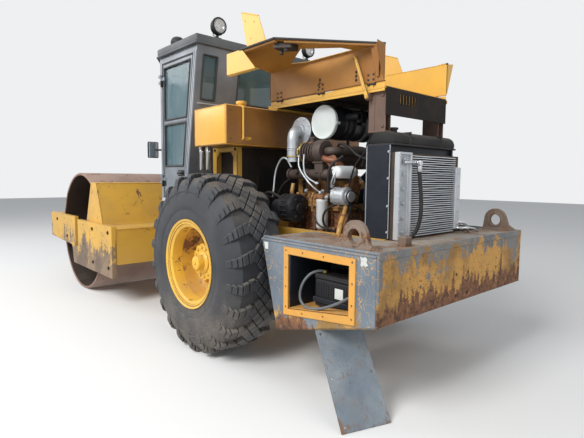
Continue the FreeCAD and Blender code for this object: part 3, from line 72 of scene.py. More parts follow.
Point = Sequence[float]
Colour = tuple[float, float, float]


class Side(Enum):
    """The machine's two sides, by the sign of Y."""

    LEFT = 1
    RIGHT = -1

    @property
    def word(self) -> str:
        """The side's name as the solids spell it."""
        return self.name.lower()


class NodeKit:
    """Small helpers for wiring shader nodes."""

    def __init__(self, tree: bpy.types.NodeTree) -> None:
        """Keep the tree that the nodes go into."""
        self.tree = tree

    def add(self, kind: str, **settings: object) -> bpy.types.Node:
        """Add a node and set its properties.

        Args:
            kind: The node's type name.
            settings: Properties to set on it.

        Returns:
            The new node.
        """
        node = self.tree.nodes.new(kind)
        for key, value in settings.items():
            setattr(node, key, value)
        return node

    def link(self, source: bpy.types.NodeSocket, target: bpy.types.NodeSocket) -> None:
        """Join an output to an input."""
        self.tree.links.new(source, target)

    def feed(self, target: bpy.types.NodeSocket, value: object) -> None:
        """Link a socket, or set a plain value.

        Args:
            target: The input to fill.
            value: An output socket, a number or a colour.
        """
        if isinstance(value, bpy.types.NodeSocket):
            self.link(value, target)
        elif isinstance(value, tuple) and len(value) == 3:
            target.default_value = (*value, 1.0)
        else:
            target.default_value = value

    def maths(self, operation: str, first: object, second: object = 0.0) -> bpy.types.NodeSocket:
        """Return the result of a clamped sum, product or the like.

        Args:
            operation: Name of the operation.
            first: Left value or socket.
            second: Right value or socket.

        Returns:
            The result's socket.
        """
        node = self.add("ShaderNodeMath", operation=operation, use_clamp=True)
        self.feed(node.inputs[0], first)
        self.feed(node.inputs[1], second)
        return node.outputs[0]

    def noise(self, coords: object, scale: float, detail: float = 4.0, stretch: Point = (1, 1, 1),
              rough: float = 0.55) -> bpy.types.NodeSocket:
        """Return a noise value from 0 to 1.

        Args:
            coords: Output with the coordinates.
            scale: Cells to the metre.
            detail: Octaves.
            stretch: Scale along each axis.
            rough: Share of each finer octave.

        Returns:
            The noise value's socket.
        """
        mapping = self.add("ShaderNodeMapping")
        mapping.inputs["Scale"].default_value = tuple(stretch)
        self.link(coords, mapping.inputs["Vector"])
        node = self.add("ShaderNodeTexNoise")
        node.inputs["Scale"].default_value = scale
        node.inputs["Detail"].default_value = detail
        node.inputs["Roughness"].default_value = rough
        self.link(mapping.outputs[0], node.inputs["Vector"])
        return node.outputs["Fac"]

    def band(self, value: object, low: float, high: float) -> bpy.types.NodeSocket:
        """Return a smooth step of a value between two levels.

        Args:
            value: The socket to read.
            low: Level that gives 0.
            high: Level that gives 1.

        Returns:
            The step's socket.
        """
        node = self.add("ShaderNodeMapRange", interpolation_type="SMOOTHSTEP")
        self.feed(node.inputs["Value"], value)
        node.inputs["From Min"].default_value = low
        node.inputs["From Max"].default_value = high
        return node.outputs["Result"]

    def mix(self, factor: object, first: object, second: object) -> bpy.types.NodeSocket:
        """Return a blend of two colours.

        Args:
            factor: Share of the second colour.
            first: Colour or socket at factor 0.
            second: Colour or socket at factor 1.

        Returns:
            The colour's socket.
        """
        node = self.add("ShaderNodeMix", data_type="RGBA")
        self.feed(node.inputs[0], factor)
        self.feed(node.inputs[6], first)
        self.feed(node.inputs[7], second)
        return node.outputs[2]

    def blend(self, factor: object, first: object, second: object) -> bpy.types.NodeSocket:
        """Return a blend of two numbers, as mix does for colours.

        Args:
            factor: Share of the second number.
            first: Number or socket at factor 0.
            second: Number or socket at factor 1.

        Returns:
            The number's socket.
        """
        node = self.add("ShaderNodeMix", data_type="FLOAT")
        self.feed(node.inputs[0], factor)
        self.feed(node.inputs[2], first)
        self.feed(node.inputs[3], second)
        return node.outputs[0]


def make_group(name: str, inputs: Sequence[tuple[str, str, object]], outputs: Sequence[tuple[str, str]]
               ) -> tuple[NodeKit, bpy.types.Node, bpy.types.Node]:
    """Start a shared node group with named sockets.

    Args:
        name: The group's name.
        inputs: Name, socket type and default of each input.
        outputs: Name and socket type of each output.
    """
    tree = bpy.data.node_groups.new(name, "ShaderNodeTree")
    for label, kind, default in inputs:
        socket = tree.interface.new_socket(label, in_out="INPUT", socket_type=kind)
        if default is not None:
            socket.default_value = default
    for label, kind in outputs:
        tree.interface.new_socket(label, in_out="OUTPUT", socket_type=kind)
    kit = NodeKit(tree)
    return kit, kit.add("NodeGroupInput"), kit.add("NodeGroupOutput")


class SharedEffects:
    """Node groups that the finishes share: edge wear, rust, dust and grain."""

    def __init__(self) -> None:
        """Build each group once."""
        self.wear = self.build_wear()
        self.rust = self.build_rust()
        self.dust = self.build_dust()
        self.grain = self.build_grain()
        self.layer = self.build_layer()

    @staticmethod
    def build_wear() -> bpy.types.NodeTree:
        """Build the mask of rubbed edges, broken up by noise.

        Returns:
            The group, with Mask as output.
        """
        kit, start, end = make_group(
            "Edge wear",
            [("Width", "NodeSocketFloat", 0.008), ("Amount", "NodeSocketFloat", 0.5)],
            [("Mask", "NodeSocketFloat"), ("Round", "NodeSocketVector")],
        )
        coords = kit.add("ShaderNodeTexCoord").outputs["Object"]
        bevel = kit.add("ShaderNodeBevel", samples=4)
        kit.link(start.outputs["Width"], bevel.inputs["Radius"])
        plain = kit.add("ShaderNodeNewGeometry").outputs["Normal"]
        dot = kit.add("ShaderNodeVectorMath", operation="DOT_PRODUCT")
        kit.link(bevel.outputs[0], dot.inputs[0])
        kit.link(plain, dot.inputs[1])
        edge = kit.band(dot.outputs["Value"], 0.995, 0.80)
        fine = kit.noise(coords, 42.0, 5.0)
        broad = kit.noise(coords, 5.0, 3.0)
        broken = kit.maths("MULTIPLY", kit.band(fine, 0.34, 0.62), kit.band(broad, 0.28, 0.60))
        spread = kit.maths("MULTIPLY", edge, kit.maths("ADD", broken, 0.25))
        kit.link(kit.maths("MULTIPLY", spread, start.outputs["Amount"]), end.inputs["Mask"])
        kit.link(bevel.outputs[0], end.inputs["Round"])
        return kit.tree

    @staticmethod
    def build_rust() -> bpy.types.NodeTree:
        """Build rust's mask, colour and height from layered noise.

        Returns:
            The group, with Mask, Colour and Height as outputs.
        """
        kit, start, end = make_group(
            "Rust",
            [("Spread", "NodeSocketFloat", 0.3), ("Scale", "NodeSocketFloat", 1.0),
             ("Streaks", "NodeSocketFloat", 0.0)],
            [("Mask", "NodeSocketFloat"), ("Colour", "NodeSocketColor"), ("Height", "NodeSocketFloat")],
        )
        coords = kit.add("ShaderNodeTexCoord").outputs["Object"]
        scaled = kit.add("ShaderNodeVectorMath", operation="SCALE")
        kit.link(coords, scaled.inputs[0])
        kit.link(start.outputs["Scale"], scaled.inputs["Scale"])
        patches = kit.noise(scaled.outputs[0], 3.1, 9.0, rough=0.66)
        flecks = kit.noise(scaled.outputs[0], 21.0, 6.0, rough=0.7)
        streaks = kit.noise(scaled.outputs[0], 9.0, 6.0, stretch=(1.0, 1.0, 0.12), rough=0.6)
        run = kit.blend(start.outputs["Streaks"], patches, streaks)
        both = kit.blend(0.32, run, flecks)
        level = kit.maths("SUBTRACT", 0.80, kit.maths("MULTIPLY", start.outputs["Spread"], 0.62))
        over = kit.add("ShaderNodeMath", operation="SUBTRACT")
        kit.link(both, over.inputs[0])
        kit.link(level, over.inputs[1])
        mask = kit.band(over.outputs[0], -0.012, 0.035)
        shade = kit.noise(scaled.outputs[0], 13.0, 6.0, rough=0.65)
        dark = kit.mix(kit.band(shade, 0.35, 0.62), (0.062, 0.030, 0.019), (0.20, 0.088, 0.040))
        light = kit.mix(kit.band(flecks, 0.52, 0.74), dark, (0.34, 0.17, 0.085))
        kit.link(mask, end.inputs["Mask"])
        kit.link(light, end.inputs["Colour"])
        kit.link(kit.blend(0.5, flecks, shade), end.inputs["Height"])
        return kit.tree

    @staticmethod
    def build_layer() -> bpy.types.NodeTree:
        """Build the mask of the old paint that shows where the top coat is worn away.

        Returns:
            The group, with Mask, Line and Foot as outputs.
        """
        kit, start, end = make_group(
            "Old layer",
            [("Amount", "NodeSocketFloat", 0.5), ("Low", "NodeSocketFloat", 0.4),
             ("High", "NodeSocketFloat", 1.0), ("Scratches", "NodeSocketFloat", 0.5)],
            [("Mask", "NodeSocketFloat"), ("Line", "NodeSocketFloat"), ("Foot", "NodeSocketFloat")],
        )
        coords = kit.add("ShaderNodeTexCoord").outputs["Object"]
        place = kit.add("ShaderNodeSeparateXYZ")
        kit.link(coords, place.inputs[0])
        share = kit.add("ShaderNodeMapRange")
        kit.link(place.outputs["Z"], share.inputs["Value"])
        kit.link(start.outputs["High"], share.inputs["From Min"])
        kit.link(start.outputs["Low"], share.inputs["From Max"])
        patches = kit.noise(coords, 4.2, 9.0, rough=0.68)
        fine = kit.noise(coords, 24.0, 6.0, rough=0.6)
        runs = kit.noise(coords, 11.0, 6.0, stretch=(1.0, 1.0, 0.10), rough=0.6)
        value = kit.blend(0.34, kit.blend(0.30, patches, fine), runs)
        raised = kit.maths("ADD", value, kit.maths("MULTIPLY", share.outputs[0], 0.22))
        level = kit.maths("SUBTRACT", 0.86, kit.maths("MULTIPLY", start.outputs["Amount"], 0.5))
        over = kit.add("ShaderNodeMath", operation="SUBTRACT")
        kit.link(raised, over.inputs[0])
        kit.link(level, over.inputs[1])
        peeled = kit.band(over.outputs[0], -0.02, 0.03)
        twist = kit.add("ShaderNodeTexNoise")
        twist.inputs["Scale"].default_value = 8.0
        twist.inputs["Detail"].default_value = 1.5
        twist.inputs["Distortion"].default_value = 2.2
        kit.link(coords, twist.inputs["Vector"])
        offset = kit.add("ShaderNodeMath", operation="SUBTRACT")
        kit.link(twist.outputs["Fac"], offset.inputs[0])
        offset.inputs[1].default_value = 0.5
        apart = kit.add("ShaderNodeMath", operation="ABSOLUTE")
        kit.link(offset.outputs[0], apart.inputs[0])
        line = kit.band(apart.outputs[0], 0.013, 0.004)
        some = kit.band(kit.noise(coords, 3.3, 4.0), 0.40, 0.52)
        kit.link(kit.maths("MULTIPLY", kit.maths("MULTIPLY", line, some), start.outputs["Scratches"]),
                 end.inputs["Line"])
        kit.link(peeled, end.inputs["Mask"])
        kit.link(kit.maths("POWER", share.outputs[0], 3.0), end.inputs["Foot"])
        return kit.tree

    @staticmethod
    def build_dust() -> bpy.types.NodeTree:
        """Build the mask of dust that settles on what faces up and low down.

        Returns:
            The group, with Mask as output.
        """
        kit, start, end = make_group(
            "Dust",
            [("Amount", "NodeSocketFloat", 0.4), ("Splash height", "NodeSocketFloat", 0.5)],
            [("Mask", "NodeSocketFloat")],
        )
        coords = kit.add("ShaderNodeTexCoord").outputs["Object"]
        normal = kit.add("ShaderNodeSeparateXYZ")
        kit.link(kit.add("ShaderNodeNewGeometry").outputs["Normal"], normal.inputs[0])
        place = kit.add("ShaderNodeSeparateXYZ")
        kit.link(coords, place.inputs[0])
        up = kit.band(normal.outputs["Z"], 0.35, 0.95)
        ratio = kit.add("ShaderNodeMath", operation="DIVIDE")
        kit.link(place.outputs["Z"], ratio.inputs[0])
        kit.link(start.outputs["Splash height"], ratio.inputs[1])
        low = kit.maths("MULTIPLY", kit.band(ratio.outputs[0], 1.0, 0.15), 0.8)
        cloud = kit.band(kit.noise(coords, 4.0, 7.0, rough=0.62), 0.30, 0.72)
        speck = kit.band(kit.noise(coords, 60.0, 3.0), 0.35, 0.75)
        patch = kit.blend(0.35, cloud, speck)
        total = kit.maths("MULTIPLY", kit.maths("ADD", up, low), patch)
        kit.link(kit.maths("MULTIPLY", total, start.outputs["Amount"]), end.inputs["Mask"])
        return kit.tree

    @staticmethod
    def build_grain() -> bpy.types.NodeTree:
        """Build fine surface relief and colour unevenness.

        Returns:
            The group, with Height and Tone as outputs.
        """
        kit, start, end = make_group(
            "Grain",
            [("Fine", "NodeSocketFloat", 300.0), ("Dents", "NodeSocketFloat", 0.3)],
            [("Height", "NodeSocketFloat"), ("Tone", "NodeSocketFloat")],
        )
        coords = kit.add("ShaderNodeTexCoord").outputs["Object"]
        fine = kit.add("ShaderNodeTexNoise")
        kit.link(coords, fine.inputs["Vector"])
        kit.link(start.outputs["Fine"], fine.inputs["Scale"])
        fine.inputs["Detail"].default_value = 3.0
        dents = kit.noise(coords, 3.4, 2.0)
        height = kit.blend(start.outputs["Dents"], fine.outputs["Fac"], dents)
        kit.link(height, end.inputs["Height"])
        kit.link(kit.noise(coords, 2.3, 6.0, rough=0.6), end.inputs["Tone"])
        return kit.tree


DUST_COLOUR: Colour = (0.36, 0.30, 0.23)
EFFECTS: dict[str, SharedEffects] = {}


def effects() -> SharedEffects:
    """Return the shared groups, built on first use."""
    if "all" not in EFFECTS:
        EFFECTS["all"] = SharedEffects()
    return EFFECTS["all"]


@dataclass(frozen=True)
class Finish:
    """A painted, cast or moulded finish with wear, rust and dust on it.

    Attributes:
        name: The material's name.
        colour: Main colour.
        faded: Colour where it has faded or greyed.
        rough: Roughness of the sound surface.
        metal: Metallic share of the sound surface.
        coat: Clear coat of fresh paint.
        wear: Rubbed edges, 0 to 1.
        edge: Colour of what shows at rubbed edges.
        rust: How far rust has spread, 0 to 1.
        rust_scale: Size of rust patches; more is smaller.
        streaks: Share of rust that runs down in streaks.
        dust: Dust on it, 0 to 1.
        splash: Height up to which mud splashes reach.
        relief: Depth of the fine relief.
        bevel: Width of the rounded edge in metres.
        under: Colour of an older coat below, where there is one.
        peel: How far the top coat is gone, 0 to 1.
        scratches: Curled scratches through the top coat, 0 to 1.
        foot: Heights between which wear and rust grow downwards.
        foot_rust: Extra rust at the lower height.
        gloss: Strength of the sound surface's reflections.
    """

    name: str
    colour: Colour
    faded: Colour
    rough: float = 0.45
    metal: float = 0.0
    coat: float = 0.0
    wear: float = 0.5
    edge: Colour = (0.16, 0.075, 0.035)
    rust: float = 0.2
    rust_scale: float = 1.0
    streaks: float = 0.2
    dust: float = 0.35
    splash: float = 0.6
    relief: float = 0.25
    bevel: float = 0.006
    under: Colour | None = None
    peel: float = 0.0
    scratches: float = 0.0
    foot: tuple[float, float] = (0.4, 1.0)
    foot_rust: float = 0.0
    gloss: float = 0.5

    def material(self) -> bpy.types.Material:
        """Return the material, made on first use."""
        found = bpy.data.materials.get(self.name)
        if found:
            return found
        made = bpy.data.materials.new(self.name)
        made.use_nodes = True
        made.diffuse_color = (*self.colour, 1.0)
        kit = NodeKit(made.node_tree)
        shader = made.node_tree.nodes["Principled BSDF"]
        shader.inputs["Specular IOR Level"].default_value = self.gloss
        shared = effects()
        wear = self.place(kit, shared.wear, Width=self.bevel, Amount=self.wear)
        rust = self.place(kit, shared.rust, Spread=self.rust, Scale=self.rust_scale, Streaks=self.streaks)
        dust = self.place(kit, shared.dust, Amount=self.dust)
        dust.inputs["Splash height"].default_value = self.splash
        grain = self.place(kit, shared.grain, Dents=0.35)
        paint = kit.mix(kit.band(grain.outputs["Tone"], 0.32, 0.68), self.colour, self.faded)
        if self.under is not None:
            layer = self.place(kit, shared.layer, Amount=self.peel, Low=self.foot[0], High=self.foot[1],
                               Scratches=self.scratches)
            stained = kit.mix(kit.band(grain.outputs["Tone"], 0.42, 0.60), self.under,
                              tuple(0.5 * part for part in self.under))
            paint = kit.mix(layer.outputs["Mask"], paint, stained)
            groove = kit.mix(layer.outputs["Mask"], self.under, self.edge)
            paint = kit.mix(layer.outputs["Line"], paint, groove)
            spread = kit.maths("ADD", kit.maths("MULTIPLY", layer.outputs["Foot"], self.foot_rust), self.rust)
            kit.link(spread, rust.inputs["Spread"])
        worn = kit.mix(wear.outputs["Mask"], paint, self.edge)
        rusty = kit.mix(rust.outputs["Mask"], worn, rust.outputs["Colour"])
        dusty = kit.mix(dust.outputs["Mask"], rusty, DUST_COLOUR)
        kit.link(dusty, shader.inputs["Base Color"])
        dull = kit.maths("MAXIMUM", rust.outputs["Mask"], kit.maths("MULTIPLY", wear.outputs["Mask"], 0.7))
        dull_or_dust = kit.maths("MAXIMUM", dull, dust.outputs["Mask"])
        kit.link(kit.blend(dull_or_dust, self.rough, 0.88), shader.inputs["Roughness"])
        if self.metal > 0.0:
            kit.link(kit.blend(dull_or_dust, self.metal, 0.0), shader.inputs["Metallic"])
        if self.coat > 0.0:
            kit.link(kit.blend(dull_or_dust, self.coat, 0.0), shader.inputs["Coat Weight"])
            shader.inputs["Coat Roughness"].default_value = 0.18
        relief = kit.blend(rust.outputs["Mask"], kit.maths("MULTIPLY", grain.outputs["Height"], 0.35),
                           rust.outputs["Height"])
        bump = kit.add("ShaderNodeBump")
        bump.inputs["Strength"].default_value = self.relief
        bump.inputs["Distance"].default_value = 0.004
        kit.link(relief, bump.inputs["Height"])
        kit.link(wear.outputs["Round"], bump.inputs["Normal"])
        kit.link(bump.outputs[0], shader.inputs["Normal"])
        return made

    @staticmethod
    def place(kit: NodeKit, tree: bpy.types.NodeTree, **values: float) -> bpy.types.Node:
        """Place a shared group with its values.

        Args:
            kit: Kit of the material's tree.
            tree: The group.
            values: Value of each named input.

        Returns:
            The group's node.
        """
        node = kit.add("ShaderNodeGroup")
        node.node_tree = tree
        for label, value in values.items():
            node.inputs[label].default_value = value
        return node


@dataclass(frozen=True)
class Pane:
    """Window glass with a film of dust.

    Attributes:
        name: The material's name.
        tint: Colour of the glass.
        body: How much the glass hides, 0 to 1.
    """

    name: str
    tint: Colour = (0.60, 0.72, 0.74)
    body: float = 0.30

    def material(self) -> bpy.types.Material:
        """Return the material, made on first use."""
        found = bpy.data.materials.get(self.name)
        if found:
            return found
        made = bpy.data.materials.new(self.name)
        made.use_nodes = True
        kit = NodeKit(made.node_tree)
        shader = made.node_tree.nodes["Principled BSDF"]
        coords = kit.add("ShaderNodeTexCoord").outputs["Object"]
        film = kit.band(kit.noise(coords, 5.0, 6.0, stretch=(1.0, 1.0, 0.35)), 0.35, 0.75)
        kit.link(kit.mix(kit.maths("MULTIPLY", film, 0.30), self.tint, (0.42, 0.44, 0.42)),
                 shader.inputs["Base Color"])
        kit.link(kit.blend(film, 0.03, 0.26), shader.inputs["Roughness"])
        kit.link(kit.blend(film, self.body, self.body + 0.14), shader.inputs["Alpha"])
        shader.inputs["IOR"].default_value = 1.45
        return made


YELLOW = Finish("Yellow paint", (0.72, 0.40, 0.045), (0.62, 0.35, 0.06), rough=0.42, coat=0.25,
                wear=0.7, rust=0.20, rust_scale=1.6, dust=0.30)
YELLOW_FRAME = Finish("Yellow frame paint", (0.66, 0.37, 0.045), (0.54, 0.31, 0.06), rough=0.5, coat=0.15,
                      wear=0.9, rust=0.36, rust_scale=1.3, streaks=0.5, dust=0.4, splash=0.9)
# A darker copy of the yellow paint for the left hood door: painted shade on its inner side.
YELLOW_PAINTED_SHADE = Finish("Yellow hood inner side", (0.34, 0.150, 0.022), (0.26, 0.105, 0.018), rough=0.5,
                      wear=0.8, rust=0.24, rust_scale=1.2, streaks=0.3, dust=0.2)
YELLOW_WHEEL = Finish("Yellow wheel paint", (0.80, 0.47, 0.045), (0.66, 0.38, 0.05), rough=0.42, coat=0.2,
                      wear=0.6, rust=0.34, rust_scale=2.6, streaks=0.1, dust=0.3)
WEIGHT_SIDE = Finish("Grey weight side", (0.100, 0.130, 0.165), (0.175, 0.21, 0.245), rough=0.5, wear=1.0,
                     edge=(0.15, 0.075, 0.040), rust=0.22, rust_scale=1.6, streaks=0.5, dust=0.3,
                     under=(0.54, 0.31, 0.085), peel=0.42, scratches=0.95, foot=(0.45, 0.92), foot_rust=0.42)
WEIGHT_REAR = Finish("Worn weight rear face", (0.105, 0.120, 0.135), (0.19, 0.19, 0.18), rough=0.6, wear=1.0,
                     edge=(0.10, 0.045, 0.025), rust=0.33, rust_scale=1.7, streaks=0.7, dust=0.2,
                     under=(0.52, 0.27, 0.055), peel=0.62, scratches=1.0, foot=(0.62, 1.06), foot_rust=0.46)
WEIGHT_TOP = Finish("Dusty weight top", (0.20, 0.19, 0.18), (0.27, 0.235, 0.20), rough=0.75, wear=1.0,
                    edge=(0.20, 0.12, 0.08), rust=0.50, rust_scale=0.9, streaks=0.0, dust=0.8)
RUSTY_IRON = Finish("Rusty iron", (0.155, 0.110, 0.080), (0.22, 0.165, 0.125), rough=0.8, wear=0.6,
                    edge=(0.30, 0.24, 0.18), rust=0.46, rust_scale=2.4, streaks=0.2, dust=0.3, relief=0.5)
LABEL_WHITE = Finish("Blank white patch", (0.62, 0.64, 0.62), (0.50, 0.50, 0.46), rough=0.6, wear=0.8,
                     edge=(0.3, 0.24, 0.16), rust=0.34, rust_scale=6.0, dust=0.3, bevel=0.001)
GREY_PLATE = Finish("Grey cover plate", (0.105, 0.145, 0.190), (0.26, 0.31, 0.345), rough=0.55,
                    wear=1.0, edge=(0.16, 0.08, 0.045), rust=0.34, rust_scale=2.8, streaks=0.3, dust=0.25,
                    under=(0.17, 0.095, 0.055), peel=0.30, scratches=0.9, foot=(0.0, 0.35))
DRUM_STEEL = Finish("Rusty drum steel", (0.24, 0.145, 0.110), (0.33, 0.215, 0.170), rough=0.55, metal=0.35,
                    wear=0.4, edge=(0.35, 0.27, 0.22), rust=0.40, rust_scale=1.2, streaks=0.0, dust=0.3)
DRUM_INNER = Finish("Drum inner plate", (0.030, 0.020, 0.016), (0.055, 0.034, 0.025), rough=0.8,
                    wear=0.3, rust=0.25, rust_scale=1.5, dust=0.15, gloss=0.2)
CAB_PAINT = Finish("Blue-grey cab paint", (0.115, 0.130, 0.150), (0.19, 0.21, 0.235), rough=0.4, coat=0.2,
                   wear=0.6, edge=(0.05, 0.05, 0.05), rust=0.10, dust=0.25)
ROOF_GREY = Finish("Dark cab roof", (0.050, 0.055, 0.062), (0.09, 0.095, 0.10), rough=0.55,
                   wear=0.5, edge=(0.14, 0.13, 0.12), rust=0.14, dust=0.5)
ENGINE_YELLOW = Finish("Engine paint under oil", (0.50, 0.27, 0.05), (0.34, 0.17, 0.05), rough=0.42,
                       wear=0.6, rust=0.48, rust_scale=3.0, dust=0.25, bevel=0.004)
ENGINE_RUST = Finish("Rusty orange casting", (0.42, 0.16, 0.04), (0.33, 0.13, 0.04), rough=0.62,
                     wear=0.5, edge=(0.5, 0.3, 0.1), rust=0.55, rust_scale=3.6, dust=0.2, bevel=0.004)
COPPER = Finish("Heat-stained copper", (0.30, 0.115, 0.06), (0.20, 0.085, 0.05), rough=0.55, metal=0.5,
                wear=0.4, rust=0.3, rust_scale=5.0, dust=0.1, bevel=0.002)
ENGINE_IRON = Finish("Hot iron", (0.055, 0.042, 0.038), (0.09, 0.060, 0.048), rough=0.6, metal=0.3,
                     wear=0.5, rust=0.30, rust_scale=3.0, dust=0.2, bevel=0.004)
POST_BROWN = Finish("Sooty brown post", (0.105, 0.062, 0.046), (0.16, 0.10, 0.075), rough=0.75,
                    wear=0.5, rust=0.35, rust_scale=2.0, streaks=0.6, dust=0.2)
BLACK = Finish("Black paint", (0.010, 0.010, 0.012), (0.020, 0.020, 0.023), rough=0.40,
               wear=0.5, edge=(0.12, 0.12, 0.12), rust=0.06, dust=0.10, bevel=0.004, gloss=0.22)
BLACK_PANEL = Finish("Black radiator side", (0.010, 0.012, 0.018), (0.021, 0.025, 0.034), rough=0.40,
                     wear=0.5, edge=(0.13, 0.13, 0.14), rust=0.03, dust=0.07, streaks=0.8, gloss=0.22)
PLASTIC = Finish("Black moulded plastic", (0.014, 0.014, 0.016), (0.026, 0.026, 0.028), rough=0.5,
                 wear=0.25, edge=(0.07, 0.07, 0.07), rust=0.0, dust=0.14, bevel=0.003, gloss=0.22)
HOSE = Finish("Black hose rubber", (0.013, 0.013, 0.014), (0.026, 0.025, 0.024), rough=0.55,
              wear=0.1, rust=0.0, dust=0.12, bevel=0.001, gloss=0.22)
HOSE_GREY = Finish("Grey cable sheath", (0.085, 0.092, 0.10), (0.14, 0.15, 0.16), rough=0.5,
                   wear=0.1, rust=0.0, dust=0.25, bevel=0.001)
TYRE = Finish("Worn tyre rubber", (0.026, 0.028, 0.033), (0.048, 0.050, 0.056), rough=0.72,
              wear=0.55, edge=(0.075, 0.078, 0.085), rust=0.0, dust=0.55, splash=0.8, relief=0.5, bevel=0.006)
ALUMINIUM = Finish("Dull grey metal", (0.42, 0.45, 0.48), (0.54, 0.56, 0.58), rough=0.42, metal=0.5,
                   wear=0.5, edge=(0.6, 0.6, 0.6), rust=0.04, dust=0.2, bevel=0.004)
FINS = Finish("Cooler fins", (0.58, 0.62, 0.66), (0.66, 0.69, 0.72), rough=0.45, metal=0.35,
              wear=0.2, edge=(0.7, 0.7, 0.7), rust=0.04, dust=0.1, bevel=0.001)
# Near-black finish behind the cooler's fins: painted shade in the gaps between them.
FIN_GAP_SHADE = Finish("Dark gap behind fins", (0.030, 0.020, 0.014), (0.070, 0.042, 0.026), rough=0.8,
                  wear=0.0, rust=0.2, dust=0.1)
CLEANER_LID = Finish("Pale enamel lid", (0.50, 0.55, 0.53), (0.60, 0.64, 0.62), rough=0.4, coat=0.3,
                     wear=0.6, edge=(0.75, 0.75, 0.72), rust=0.05, dust=0.25)
WHITE = Finish("White enamel", (0.72, 0.74, 0.76), (0.62, 0.64, 0.64), rough=0.35, coat=0.3,
               wear=0.4, rust=0.05, rust_scale=3.0, dust=0.25, bevel=0.004)
CHROME = Finish("Polished rod", (0.62, 0.63, 0.65), (0.55, 0.56, 0.58), rough=0.2, metal=1.0,
                wear=0.1, rust=0.02, dust=0.12)
WHEEL_DISH = Finish("Rusty wheel dish", (0.70, 0.40, 0.045), (0.52, 0.27, 0.05), rough=0.5, coat=0.1,
                    wear=0.6, rust=0.44, rust_scale=0.8, streaks=0.15, dust=0.3)
RUBBER_SEAL = Finish("Black rubber seal", (0.020, 0.020, 0.021), (0.035, 0.034, 0.033), rough=0.7,
                     wear=0.2, edge=(0.08, 0.08, 0.08), rust=0.0, dust=0.35, bevel=0.001)
STRIP_GREY = Finish("Grey sill strip", (0.34, 0.37, 0.40), (0.44, 0.46, 0.48), rough=0.45, coat=0.1,
                    wear=0.6, edge=(0.12, 0.12, 0.13), rust=0.10, rust_scale=2.0, dust=0.3)
FRAME_ORANGE = Finish("Orange bay frame", (0.70, 0.33, 0.05), (0.60, 0.30, 0.06), rough=0.5,
                      wear=0.9, rust=0.34, rust_scale=2.4, streaks=0.5, dust=0.3)
SEAT_CLOTH = Finish("Worn seat cloth", (0.035, 0.036, 0.040), (0.06, 0.06, 0.065), rough=0.9,
                    wear=0.0, rust=0.0, dust=0.4, relief=0.6)
BRASS = Finish("Oily brass", (0.52, 0.36, 0.12), (0.40, 0.26, 0.09), rough=0.38, metal=0.9,
               wear=0.3, rust=0.05, dust=0.2, bevel=0.003)
GLASS = Pane("Dusty window glass", (0.07, 0.15, 0.18), 0.50)
LAMP_GLASS = Pane("Lamp glass", (0.80, 0.82, 0.82))
RAD_TANK = Finish("Rough black header tank", (0.012, 0.012, 0.013), (0.030, 0.029, 0.028), rough=0.75,
                  wear=0.8, edge=(0.12, 0.10, 0.085), rust=0.22, rust_scale=3.0, dust=0.25, relief=0.7, gloss=0.22)
# Near-black finish that stands in for shade: under the hood tray, on its rear panel, the bulkhead panel and inside the
# tank stands.
PAINTED_SHADE_PLATE = Finish("Sooty dark plate", (0.010, 0.010, 0.011), (0.034, 0.023, 0.017), rough=0.7,
              wear=0.3, edge=(0.09, 0.06, 0.045), rust=0.16, rust_scale=2.0, streaks=0.4, dust=0.08, gloss=0.15)
DARK_BOLT = Finish("Dark oily bolts", (0.022, 0.018, 0.015), (0.05, 0.035, 0.026), rough=0.55, metal=0.3,
                   wear=0.4, edge=(0.16, 0.12, 0.09), rust=0.3, rust_scale=5.0, dust=0.15, bevel=0.002)
# A darker copy of the tank's yellow for its rear face and underside: painted shade.
TANK_SHADE = Finish("Oily tank rear face", (0.30, 0.125, 0.020), (0.20, 0.085, 0.020), rough=0.42, coat=0.2,
                    wear=0.8, rust=0.22, rust_scale=1.4, dust=0.12)
TANK_YELLOW = Finish("Yellow tank paint", (0.78, 0.40, 0.035), (0.66, 0.33, 0.04), rough=0.36, coat=0.35,
                     wear=0.6, rust=0.16, rust_scale=2.4, dust=0.2)
SIDE_WORN = Finish("Scraped side plate", (0.66, 0.37, 0.045), (0.55, 0.32, 0.06), rough=0.5, coat=0.1,
                   wear=1.0, edge=(0.10, 0.055, 0.035), rust=0.24, rust_scale=2.0, streaks=0.2, dust=0.2,
                   under=(0.25, 0.165, 0.10), peel=0.52, scratches=0.8, foot=(0.30, 0.92), foot_rust=0.16)


